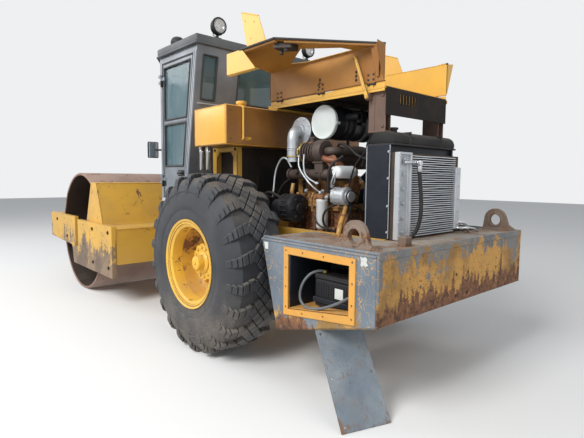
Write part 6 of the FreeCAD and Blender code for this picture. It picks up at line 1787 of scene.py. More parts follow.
class Radiator:
    """The radiator with its fan shroud, header tank and the oil cooler bolted behind it."""

    FRONT = -1.280
    BACK = -1.480

    def build(self) -> None:
        """Build the radiator and cooler."""
        SHOP.settle(self.casing(), BLACK_PANEL, MACHINE, "black_metal", ["radiator"])
        SHOP.settle(self.edges(), STRIP_GREY, MACHINE, "cooler_grey")
        SHOP.settle(self.header(), RAD_TANK, MACHINE, "black_metal")
        SHOP.settle(self.channels(), ALUMINIUM, MACHINE, "cooler_grey")
        # The core behind the fins is near-black: painted shade.
        SHOP.settle(self.backing(), FIN_GAP_SHADE, MACHINE, "cooler_grey")
        SHOP.settle(self.fins(), FINS, MACHINE, "cooler_grey")
        SHOP.settle(self.fittings(), CHROME, MACHINE, "rod_chrome")
        SHOP.settle(self.hose(), HOSE, MACHINE, "hose_rubber", ["cooler_hose"])

    def casing(self) -> bpy.types.Object:
        """Model the side panels with their ribs, the core, the front shroud and plate, and the fan."""
        parts = [SHOP.block((self.BACK + 0.020, -0.395, 1.060), (self.FRONT - 0.010, 0.395, 1.695), 0.0)]
        for sign in (1, -1):
            low, high = sorted((sign * 0.392, sign * 0.410))
            parts.append(SHOP.block((self.BACK, low, 1.050), (self.FRONT, high, 1.702), 0.005, 2))
            rib = [(-1.462, sign * 0.411, 1.09), (-1.462, sign * 0.411, 1.67)]
            parts.append(SHOP.tube(rib, 0.006, 3))
        shroud = [(-0.012, 0.290), (-0.012, 0.392), (0.020, 0.390), (0.065, 0.318), (0.110, 0.303), (0.110, 0.290),
                  (0.060, 0.300), (0.014, 0.372)]
        parts.append(SHOP.spun(shroud[:1] + shroud[1:6], (self.FRONT, 0.0, 1.330), (1, 0, 0), 56))
        parts.append(SHOP.block((self.FRONT - 0.020, -0.392, 1.060), (self.FRONT - 0.006, 0.392, 1.690), 0.003))
        hub = SHOP.rod((self.FRONT + 0.030, 0.0, 1.330), (self.FRONT + 0.085, 0.0, 1.330), 0.060, 32, 0.008)
        blade = SHOP.plate([(self.FRONT + 0.040, -0.030, 1.385), (self.FRONT + 0.040, -0.050, 1.600),
                            (self.FRONT + 0.066, 0.050, 1.605), (self.FRONT + 0.070, 0.030, 1.385)], (0.004, 0, 0), 0.001)
        parts += [hub] + SHOP.ring(blade, (self.FRONT, 0.0, 1.330), (1, 0, 0), 6)
        return SHOP.joined(parts, "radiator_casing")

    def edges(self) -> bpy.types.Object:
        """Model the pale worn folds that edge the side panels."""
        parts = []
        for x in (self.BACK - 0.001, self.FRONT - 0.004):
            parts.append(SHOP.block((x, 0.4085, 1.056), (x + 0.006, 0.4125, 1.696), 0.001))
        parts += SHOP.bolts([(-1.470, 0.412, z) for z in (1.10, 1.28, 1.47, 1.65)], (0, 1, 0), 0.008, 0.006)
        left = SHOP.joined(parts, "panel_edges")
        return SHOP.joined(SHOP.both_sides(left), "panel_edges")

    def header(self) -> bpy.types.Object:
        """Model the rounded header tank with its seams, neck and cap."""
        outline = [(-1.290, 1.699), (-1.500, 1.699), (-1.503, 1.735), (-1.488, 1.772), (-1.452, 1.790),
                   (-1.338, 1.790), (-1.302, 1.772), (-1.288, 1.735)]
        tank = SHOP.prism(outline, "y", -0.402, 0.402, 0.012)
        SHOP.modify(tank, "SUBSURF", levels=1, render_levels=1, subdivision_type="SIMPLE")
        seam = SHOP.block((-1.508, -0.408, 1.694), (-1.282, 0.408, 1.706), 0.003)
        bars = [SHOP.block((-1.506, y, 1.700), (-1.284, y + 0.010, 1.794), 0.004, 2) for y in (-0.20, 0.20)]
        neck = SHOP.rod((-1.395, 0.270, 1.785), (-1.395, 0.270, 1.815), 0.030, 28, 0.003)
        cap = SHOP.rod((-1.395, 0.270, 1.812), (-1.395, 0.270, 1.826), 0.038, 28, 0.004)
        return SHOP.joined([SHOP.smooth(tank, 50.0), seam, neck, cap] + bars, "header_tank")

    @staticmethod
    def channels() -> bpy.types.Object:
        """Model the cooler's bright side channels with their rows of bolts."""
        outline = [(-1.510, 0.400), (-1.549, 0.400), (-1.549, 0.382), (-1.528, 0.376), (-1.528, 0.272),
                   (-1.549, 0.264), (-1.549, 0.245), (-1.510, 0.245)]
        parts = [SHOP.prism(outline, "z", 1.050, 1.645, 0.003)]
        parts.append(SHOP.block((-1.551, 0.250, 1.630), (-1.510, 0.398, 1.647), 0.003))
        parts.append(SHOP.block((-1.551, 0.250, 1.050), (-1.510, 0.398, 1.066), 0.003))
        parts += SHOP.bolts([(-1.529, 0.322, 1.10 + 0.1 * k) for k in range(6)], (-1, 0, 0), 0.014, 0.010)
        parts += SHOP.bolts([(-1.549, 0.391, 1.08 + 0.09 * k) for k in range(7)], (-1, 0, 0), 0.007, 0.005)
        parts.append(SHOP.block((-1.549, -0.372, 1.080), (-1.500, -0.350, 1.560), 0.003))
        parts.append(SHOP.block((-1.546, -0.430, 1.080), (-1.530, -0.370, 1.560), 0.003))
        parts += SHOP.bolts([(-1.546, -0.402, 1.12 + 0.1 * k) for k in range(5)], (-1, 0, 0), 0.009, 0.006)
        return SHOP.joined(parts, "cooler_channels")

    @staticmethod
    def backing() -> bpy.types.Object:
        """Model the core behind the fins with its flat tubes, near-black as painted shade in the gaps."""
        parts = [SHOP.block((-1.519, -0.428, 1.050), (-1.478, 0.398, 1.645), 0.0)]
        tube = SHOP.block((-1.530, -0.350, 1.058), (-1.517, 0.246, 1.061), 0.0)
        parts += SHOP.row(tube, (0, 0, 0.016), 36)
        return SHOP.joined(parts, "cooler_backing")

    @staticmethod
    def fins() -> bpy.types.Object:
        """Model the cooler's rows of fins, a few of them bent."""
        made = []
        for k in range(36):
            z = 1.0645 + 0.016 * k
            sag = 0.0022 * math.sin(2.3 * k)
            bars = SHOP.plate([(-1.541, 0.247, z), (-1.543, 0.06, z + sag), (-1.541, -0.14, z - sag),
                               (-1.541, -0.352, z), (-1.514, -0.352, z), (-1.514, -0.14, z - sag),
                               (-1.514, 0.06, z + sag), (-1.514, 0.247, z)], (0, 0, 0.0052), 0.0)
            made.append(bars)
        return SHOP.joined(made, "cooler_fins")

    @staticmethod
    def fittings() -> bpy.types.Object:
        """Model the elbow at the cooler's top and the bent bright pipes at its lower right."""
        parts = [
            SHOP.rod((-1.530, 0.222, 1.575), (-1.562, 0.222, 1.575), 0.020, 6, 0.002),
            SHOP.rod((-1.552, 0.222, 1.575), (-1.590, 0.222, 1.575), 0.014, 20, 0.002),
            SHOP.block((-1.606, 0.204, 1.557), (-1.572, 0.240, 1.594), 0.006, 2),
            SHOP.rod((-1.589, 0.222, 1.560), (-1.589, 0.222, 1.516), 0.017, 6, 0.002),
            SHOP.rod((-1.560, 0.245, 1.578), (-1.548, 0.345, 1.578), 0.011, 16, 0.002),
            SHOP.tube([(-1.50, -0.405, 1.130), (-1.545, -0.440, 1.128), (-1.560, -0.500, 1.112),
                       (-1.548, -0.540, 1.075), (-1.520, -0.540, 1.049)], 0.012, 4),
            SHOP.tube([(-1.50, -0.400, 1.085), (-1.565, -0.420, 1.083), (-1.600, -0.465, 1.080),
                       (-1.600, -0.480, 1.049)], 0.009, 4),
            SHOP.rod((-1.545, -0.430, 1.129), (-1.552, -0.458, 1.126), 0.017, 6, 0.001),
        ]
        return SHOP.joined(parts, "cooler_fittings")

    @staticmethod
    def hose() -> bpy.types.Object:
        """Model the hose that hangs from the elbow down to the weight's top."""
        route = [(-1.589, 0.222, 1.520), (-1.598, 0.222, 1.440), (-1.614, 0.226, 1.300), (-1.612, 0.236, 1.180),
                 (-1.592, 0.256, 1.100), (-1.560, 0.285, 1.052)]
        tail = SHOP.tube([(-1.46, -0.44, 1.052), (-1.50, -0.60, 1.056), (-1.56, -0.72, 1.056)], 0.008, 3)
        return SHOP.joined([SHOP.tube(route, 0.0135, 5), tail], "cooler_hose_run")


class Hood:
    """The raised hood: two folded doors, their props, the tray between them and its posts."""

    HINGE_XS = (-1.300, -0.810, -0.320)
    TILT = math.radians(9.0)
    ROOT = (0.400, 2.370)
    RIM = ((-1.412, 0.000), (-0.790, 0.466), (-0.400, 0.466), (-0.195, 0.426))
    HOLE = ((-1.150, 0.030), (-1.100, 0.105), (-0.830, 0.240), (-0.530, 0.070), (-0.660, 0.030))

    def build(self) -> None:
        """Build the doors, props, tray and posts."""
        for side in Side:
            body = f"hood_{side.word}"
            # The left door gets the darker yellow as painted shade; the right door keeps the plain yellow.
            finish = YELLOW_PAINTED_SHADE if side is Side.LEFT else YELLOW
            self.place(self.door(), side, finish, body, "roof_yellow", [f"hood_door_{side.word}"])
            self.place(self.outer_skin(), side, YELLOW, body, "roof_yellow")
            self.place(self.seal(), side, RUBBER_SEAL, body, "hose_rubber")
            self.place(self.ironwork(), side, DARK_BOLT, body, "black_metal")
            self.place(self.stays(), side, finish, body, "roof_yellow")
            prop = f"prop_{side.word}"
            self.place(self.prop(), side, YELLOW, prop, "roof_yellow", [f"hood_prop_{side.word}"])
            self.place(self.post(), side, POST_BROWN, MACHINE, "engine_dark",
                       ["hood_posts"] if side is Side.LEFT else [])
        SHOP.settle(self.tray(), YELLOW, MACHINE, "roof_yellow", ["hood_frame"])
        # Near-black plates under the tray and on the rear panel: painted shade.
        SHOP.settle(self.soot(), PAINTED_SHADE_PLATE, MACHINE, "engine_dark")
        SHOP.settle(self.louvres(), YELLOW, MACHINE, "roof_yellow")

    @staticmethod
    def place(piece: bpy.types.Object, side: Side, finish: Finish, body: str, slot: str,
              replaces: Sequence[str] = ()) -> None:
        """Settle a piece of the left side, or its mirror image on the right.

        Args:
            piece: The piece as modelled for the left side.
            side: The side it goes to.
            finish: Its finish.
            body: The body that carries it.
            slot: The record's material slot.
            replaces: Solids that it stands for.
        """
        piece.name = f"{piece.name}_{side.word}"
        if side is Side.RIGHT:
            piece.data.transform(Matrix.Scale(-1.0, 4, (0, 1, 0)))
            piece.data.flip_normals()
        SHOP.settle(piece, finish, body, slot, replaces)

    def on_leaf(self, x: float, reach: float, above: float = 0.0) -> tuple[float, float, float]:
        """Return a point of the tilted leaf.

        Args:
            x: Length along the machine.
            reach: Distance out from the wall along the leaf.
            above: Height over the leaf's lower face.

        Returns:
            The point.
        """
        return (x, self.ROOT[0] + reach * math.cos(self.TILT) - above * math.sin(self.TILT),
                self.ROOT[1] + reach * math.sin(self.TILT) + above * math.cos(self.TILT))

    def door(self) -> bpy.types.Object:
        """Model the wall, the leaf with its opening and the end plate."""
        wall = SHOP.prism([(-1.412, 2.132), (-0.195, 2.132), (-0.195, 2.372), (-1.412, 2.372)], "y", 0.400, 0.406)
        normal = Vector(self.on_leaf(0, 0, 1)) - Vector(self.on_leaf(0, 0, 0))
        leaf = SHOP.plate([self.on_leaf(x, s) for x, s in self.RIM] + [self.on_leaf(-0.195, 0.0)],
                          normal * 0.003, 0.0)
        tool = SHOP.plate([self.on_leaf(x, s, -0.02) for x, s in self.HOLE], normal * 0.04, 0.0)
        SHOP.cut(leaf, tool)
        end = SHOP.prism([(0.400, 2.142), (0.412, 2.142), (0.490, 2.384), (0.400, 2.370)], "x", -1.412, -1.406)
        lip = SHOP.block((-1.410, 0.384, 2.128), (-0.197, 0.405, 2.134), 0.002)
        fold = SHOP.tube([(-1.410, 0.405, 2.371), (-0.80, 0.405, 2.371), (-0.197, 0.405, 2.371)], 0.004, 3)
        return SHOP.joined([wall, leaf, end, lip, fold], "hood_door_skin")

    def outer_skin(self) -> bpy.types.Object:
        """Model the leaf's weather side, the skirt, its strip and the upright flap."""
        normal = Vector(self.on_leaf(0, 0, 1)) - Vector(self.on_leaf(0, 0, 0))
        leaf = SHOP.plate([self.on_leaf(x, s, 0.003) for x, s in self.RIM] + [self.on_leaf(-0.195, 0.0, 0.003)],
                          normal * 0.003, 0.001)
        tool = SHOP.plate([self.on_leaf(x, s, -0.02) for x, s in self.HOLE], normal * 0.06, 0.0)
        SHOP.cut(leaf, tool)
        _, edge_y, edge_z = self.on_leaf(0.0, 0.466)
        skirt = SHOP.prism([(-0.195, edge_z + 0.006), (-0.400, edge_z + 0.006), (-0.575, edge_z - 0.165),
                            (-0.195, edge_z - 0.160)], "y", edge_y - 0.006, edge_y, 0.002)
        strip = SHOP.prism([(-0.572, edge_y - 0.006), (-0.572, edge_y - 0.040), (-0.197, edge_y - 0.040),
                            (-0.197, edge_y - 0.006)], "z", edge_z - 0.166, edge_z - 0.160)
        flap = SHOP.prism([(-0.470, edge_z), (-0.390, edge_z + 0.280), (-0.610, edge_z + 0.205), (-0.700, edge_z)],
                          "y", edge_y - 0.006, edge_y, 0.002)
        brim = SHOP.tube([(-0.395, edge_y - 0.003, edge_z + 0.278), (-0.500, edge_y - 0.003, edge_z + 0.243),
                          (-0.608, edge_y - 0.003, edge_z + 0.204)], 0.005, 3)
        holes = [(-0.56, edge_z + 0.17), (-0.45, edge_z + 0.20), (-0.52, edge_z + 0.06)]
        for x, z in holes:
            SHOP.cut(flap, SHOP.rod((x, edge_y - 0.03, z), (x, edge_y + 0.03, z), 0.006, 12, 0.0))
        return SHOP.joined([leaf, skirt, strip, flap, brim], "hood_outer_skin")

    def seal(self) -> bpy.types.Object:
        """Model the black seal along the leaf's rim and the wall's upper fold."""
        rim = [self.on_leaf(x, s, 0.004) for x, s in self.RIM]
        runs = [SHOP.rod(first, second, 0.008, 12, 0.0) for first, second in zip(rim, rim[1:])]
        runs.append(SHOP.rod((-0.192, 0.403, 2.140), (-0.192, 0.403, 2.372), 0.005, 10, 0.0))
        return SHOP.joined(runs, "hood_seal")

    def ironwork(self) -> bpy.types.Object:
        """Model the latch box under the leaf, the hinge leaves and their bolts."""
        parts = []
        for x in self.HINGE_XS:
            parts.append(SHOP.rod((x - 0.035, 0.400, 2.120), (x + 0.035, 0.400, 2.120), 0.0095, 16, 0.002))
            spots = [(x + dx, 0.4065, 2.150 + dz) for dx in (-0.022, 0.022) for dz in (0.0, 0.034)]
            parts += SHOP.bolts(spots, (0, 1, 0), 0.0085, 0.007)
        for x in (-1.165, -0.800):
            parts += SHOP.bolts([(x, 0.4065, z) for z in (2.168, 2.196, 2.224)], (0, 1, 0), 0.008, 0.007)
        corners = [self.on_leaf(x, s, -0.001) for x, s in ((-0.745, 0.360), (-0.745, 0.440), (-0.870, 0.376),
                                                           (-0.870, 0.300))]
        parts.append(SHOP.plate(corners, (0.0, 0.0, -0.046), 0.004))
        low = Vector(self.on_leaf(-0.80, 0.37, -0.045))
        parts.append(SHOP.rod(low, low + Vector((-0.05, 0.02, -0.020)), 0.012, 14, 0.002))
        parts.append(SHOP.rod(low + Vector((0.03, 0, 0)), low + Vector((0.03, 0.0, -0.030)), 0.016, 14, 0.002))
        return SHOP.joined(parts, "hood_ironwork")

    def stays(self) -> bpy.types.Object:
        """Model the rail under the leaf, the tapered stay and the hinge leaves' plates."""
        first, second = Vector(self.on_leaf(-0.830, 0.404, -0.016)), Vector(self.on_leaf(-1.385, 0.004, -0.016))
        across = Vector((0.0, 0.0, 1.0)).cross(second - first).normalized() * 0.014
        rail = SHOP.plate([first + across, second + across, second - across, first - across],
                          (0.0, 0.0, 0.028), 0.003)
        front = SHOP.plate([self.on_leaf(-0.790, 0.430, -0.016), self.on_leaf(-0.410, 0.430, -0.016),
                            self.on_leaf(-0.410, 0.455, -0.016), self.on_leaf(-0.790, 0.455, -0.016)],
                           (0.0, 0.0, 0.020), 0.002)
        stay = SHOP.plate([(-1.352, 0.407, 2.160), (-1.372, 0.407, 2.160), (-1.392, 0.430, 2.370),
                           (-1.312, 0.430, 2.370)], (0.0, 0.012, 0.0), 0.002)
        web = SHOP.plate([(-1.400, 0.408, 2.170), (-1.400, 0.408, 2.366), (-1.400, 0.478, 2.366)],
                         (0.008, 0.0, 0.0), 0.001)
        plates = [SHOP.block((x - 0.034, 0.405, 2.126), (x + 0.034, 0.4085, 2.200), 0.001) for x in self.HINGE_XS]
        return SHOP.joined([rail, front, stay, web] + plates, "hood_stays")

    @staticmethod
    def prop() -> bpy.types.Object:
        """Model the flat prop bar with rounded ends and pins."""
        low, high = Vector((-1.282, 0.430, 2.030)), Vector((-1.172, 0.430, 2.320))
        along = (high - low).normalized()
        across = Vector((along.z, 0.0, -along.x)) * 0.014
        start, end = low - along * 0.012, high + along * 0.010
        bar = SHOP.plate([start - across - Vector((0, 0.005, 0)), start + across - Vector((0, 0.005, 0)),
                          end + across * 0.75 - Vector((0, 0.005, 0)), end - across * 0.75 - Vector((0, 0.005, 0))],
                         (0.0, 0.010, 0.0), 0.003)
        rib = SHOP.tube([low + Vector((0, 0.005, 0)) + along * 0.05, high + Vector((0, 0.005, 0)) - along * 0.04],
                        0.005, 3)
        pins = [SHOP.bolt(low + Vector((0, 0.004, 0)), (0, 1, 0), 0.010, 0.008),
                SHOP.bolt(high + Vector((0, 0.004, 0)), (0, 1, 0), 0.008, 0.006)]
        return SHOP.joined([bar, rib] + pins, "hood_prop_bar")

    @staticmethod
    def post() -> bpy.types.Object:
        """Model one post as an open channel with a foot and bolts."""
        parts = [
            SHOP.block((-1.409, 0.371, 1.790), (-1.262, 0.378, 2.082), 0.002),
            SHOP.block((-1.405, 0.310, 1.790), (-1.262, 0.317, 2.082), 0.002),
            SHOP.block((-1.290, 0.312, 1.790), (-1.264, 0.376, 2.082), 0.002),
            SHOP.block((-1.411, 0.306, 1.788), (-1.262, 0.382, 1.800), 0.002),
            SHOP.block((-1.411, 0.306, 2.070), (-1.262, 0.382, 2.083), 0.002),
            SHOP.block((-1.318, 0.3775, 1.80), (-1.312, 0.381, 2.08), 0.001),
            SHOP.plate([(-1.270, 0.378, 2.060), (-1.296, 0.378, 2.060), (-1.294, 0.378, 2.010),
                        (-1.272, 0.378, 2.010)], (0.0, 0.044, 0.0), 0.003),
        ]
        parts += SHOP.bolts([(-1.385, 0.3785, z) for z in (1.83, 2.04)], (0, 1, 0), 0.010, 0.008)
        return SHOP.joined(parts, "hood_post")

    @staticmethod
    def tray() -> bpy.types.Object:
        """Model the tray between the doors with its folded rims and hinge ears."""
        parts = [SHOP.block((-1.420, -0.388, 2.0935), (-0.165, 0.388, 2.098), 0.002),
                 SHOP.block((-0.166, -0.300, 2.070), (-0.045, 0.300, 2.098), 0.004)]
        rims = []
        for x in Hood.HINGE_XS:
            rims.append(SHOP.block((x - 0.016, 0.384, 2.088), (x + 0.016, 0.404, 2.128), 0.003))
        rims.append(SHOP.block((-1.418, 0.380, 2.080), (-0.168, 0.409, 2.091), 0.002))
        rims.append(SHOP.block((-1.418, 0.402, 2.062), (-0.168, 0.407, 2.084), 0.001))
        rims.append(SHOP.block((-1.412, 0.392, 2.090), (-0.195, 0.396, 2.122), 0.001))
        left = SHOP.joined(rims, "hood_tray")
        parts += SHOP.both_sides(left)
        cross = SHOP.block((-1.2, -0.386, 2.098), (-1.17, 0.386, 2.106), 0.003)
        parts += SHOP.row(cross, (0.42, 0, 0), 3)
        return SHOP.joined(parts, "hood_tray")

    @staticmethod
    def soot() -> bpy.types.Object:
        """Model the tray's underside, its cross bars and the rear panel, near-black as painted shade."""
        parts = [SHOP.block((-1.412, -0.378, 2.0855), (-0.168, 0.378, 2.0934), 0.0)]
        bar = SHOP.block((-1.21, -0.376, 2.060), (-1.18, 0.376, 2.086), 0.004)
        parts += SHOP.row(bar, (0.42, 0, 0), 3)
        panel = SHOP.block((-1.420, -0.388, 1.905), (-1.414, 0.388, 2.093), 0.001)
        for k in range(6):
            y = 0.031 + 0.036 * k
            SHOP.cut(panel, SHOP.block((-1.44, y, 1.990), (-1.40, y + 0.018, 2.060), 0.0))
        return SHOP.joined(parts + [panel], "hood_underside")

    @staticmethod
    def louvres() -> bpy.types.Object:
        """Model the bright louvres that stand out of the rear panel."""
        blade = SHOP.plate([(-1.413, 0.031, 1.990), (-1.413, 0.031, 2.060), (-1.424, 0.050, 2.056),
                            (-1.424, 0.050, 1.994)], (0.0, 0.002, 0.0), 0.0)
        return SHOP.joined(SHOP.row(blade, (0.0, 0.036, 0.0), 6), "hood_louvres")


class TankAndStand:
    """The tank that lies across the machine on two open stands with a black panel between."""

    def build(self) -> None:
        """Build the tank, the stands and the panel."""
        SHOP.settle(self.tank(), TANK_YELLOW, MACHINE, "roof_yellow", ["tank"])
        # The tank's rear face and underside in a darker yellow: painted shade.
        SHOP.settle(self.rear_skin(), TANK_SHADE, MACHINE, "roof_yellow")
        SHOP.settle(self.furniture(), YELLOW, MACHINE, "roof_yellow")
        SHOP.settle(self.stand(), YELLOW_FRAME, MACHINE, "frame_yellow", ["tank_stand"])
        # The bulkhead panel and the portal linings in near-black: painted shade.
        SHOP.settle(self.panel(), PAINTED_SHADE_PLATE, MACHINE, "black_metal")
        SHOP.settle(self.fixings(), DARK_BOLT, MACHINE, "black_metal")

    @staticmethod
    def tank() -> bpy.types.Object:
        """Model the folded tank with its welded seams and drain boss."""
        body = SHOP.block((-0.160, -0.850, 1.740), (0.340, 0.850, 2.070), 0.014, 3)
        welds = []
        for x in (-0.156, 0.336):
            for z in (1.744, 2.066):
                welds.append(SHOP.rod((x, 0.8485, z), (x, 0.8465, z), 0.004, 8, 0.0))
        rim = [(-0.150, 1.750), (0.330, 1.750), (0.330, 2.060), (-0.150, 2.060), (-0.150, 1.750)]
        for first, second in zip(rim, rim[1:]):
            run = SHOP.rod((first[0], 0.8495, first[1]), (second[0], 0.8495, second[1]), 0.0028, 8, 0.0)
            welds += SHOP.both_sides(run)
        boss = SHOP.rod((0.10, 0.42, 1.743), (0.10, 0.42, 1.722), 0.030, 24, 0.003)
        plug = SHOP.bolt((0.10, 0.42, 1.723), (0, 0, -1), 0.018, 0.014)
        return SHOP.joined([SHOP.smooth(body, 40.0), boss, plug] + welds, "tank_body")

    @staticmethod
    def rear_skin() -> bpy.types.Object:
        """Model the tank's rear face and underside in a darker copy of the tank's yellow, painted shade."""
        skin = SHOP.prism([(-0.842, 1.748), (0.842, 1.748), (0.842, 2.062), (-0.842, 2.062)], "x", -0.1625, -0.156,
                          0.003)
        low = SHOP.block((-0.150, -0.842, 1.7375), (0.33, 0.842, 1.741), 0.001)
        return SHOP.joined([skin, low], "tank_rear_skin")

    @staticmethod
    def furniture() -> bpy.types.Object:
        """Model the grip, the catch and the filler."""
        grip = SHOP.tube([(-0.160, 0.683, 1.790), (-0.174, 0.683, 1.792), (-0.176, 0.683, 1.815),
                          (-0.176, 0.683, 1.93), (-0.176, 0.683, 2.035), (-0.174, 0.683, 2.056),
                          (-0.160, 0.683, 2.058)], 0.0085, 4)
        catch = [SHOP.block((-0.166, 0.590, 1.784), (-0.160, 0.655, 1.812), 0.002),
                 SHOP.block((-0.174, 0.600, 1.788), (-0.162, 0.625, 1.806), 0.002)]
        catch += SHOP.bolts([(-0.166, y, 1.799) for y in (0.636, 0.649)], (-1, 0, 0), 0.006, 0.005)
        neck = SHOP.rod((-0.030, 0.600, 2.066), (-0.030, 0.600, 2.100), 0.038, 32, 0.002)
        cap = SHOP.rod((-0.030, 0.600, 2.098), (-0.030, 0.600, 2.128), 0.047, 12, 0.006)
        lever = SHOP.block((-0.060, 0.592, 2.124), (0.0, 0.608, 2.132), 0.003)
        return SHOP.joined([grip, neck, cap, lever] + catch, "tank_furniture")

    @staticmethod
    def stand() -> bpy.types.Object:
        """Model the two portals with feet, gussets and a strap."""
        parts = [SHOP.block((0.035, 0.545, 1.700), (0.432, 0.600, 1.741), 0.004)]
        for low, high in ((0.035, 0.097), (0.362, 0.432)):
            parts.append(SHOP.block((low, 0.545, 1.052), (low + 0.006, 0.600, 1.704), 0.001))
            parts.append(SHOP.block((high - 0.006, 0.545, 1.052), (high, 0.600, 1.704), 0.001))
            parts.append(SHOP.block((low, 0.592, 1.052), (high, 0.600, 1.704), 0.002))
            parts.append(SHOP.block((low - 0.004, 0.400, 1.048), (high + 0.004, 0.604, 1.062), 0.003))
        gusset = SHOP.prism([(0.097, 1.702), (0.140, 1.702), (0.097, 1.650)], "y", 0.590, 0.598)
        parts.append(gusset)
        parts.append(SHOP.prism([(0.362, 1.702), (0.320, 1.702), (0.362, 1.650)], "y", 0.590, 0.598))
        left = SHOP.joined(parts, "tank_stand_portal")
        return SHOP.joined(SHOP.both_sides(left), "tank_stand_portal")

    @staticmethod
    def panel() -> bpy.types.Object:
        """Model the panel between the stands with its folded rims and stiffeners, and sheets inside the portals,
        near-black as painted shade.
        """
        parts = [SHOP.block((0.036, -0.546, 1.330), (0.046, 0.546, 1.741), 0.001),
                 SHOP.block((0.036, -0.300, 1.120), (0.046, 0.300, 1.332), 0.001),
                 SHOP.block((0.026, -0.546, 1.326), (0.044, 0.546, 1.334), 0.002)]
        rib = SHOP.block((0.028, -0.37, 1.34), (0.038, -0.345, 1.73), 0.003)
        parts += SHOP.row(rib, (0.0, 0.24, 0.0), 4)
        # Dark sheets inside the open portals: painted shade.
        lining = SHOP.block((0.100, 0.548, 1.07), (0.360, 0.552, 1.700), 0.0)
        parts += SHOP.both_sides(lining)
        return SHOP.joined(parts, "bulkhead_panel")

    @staticmethod
    def fixings() -> bpy.types.Object:
        """Add the bolts of the stands and the tank's rear face."""
        spots = [(x, 0.601, z) for x in (0.060, 0.395) for z in (1.100, 1.720)]
        left = SHOP.joined(SHOP.bolts(spots, (0, 1, 0), 0.011, 0.009), "stand_bolts")
        parts = SHOP.both_sides(left)
        parts += SHOP.bolts([(-0.161, y, z) for y, z in ((0.80, 1.79), (0.80, 2.02), (0.30, 1.78), (0.05, 2.0))],
                            (-1, 0, 0), 0.006, 0.004)
        return SHOP.joined(parts, "stand_bolts")


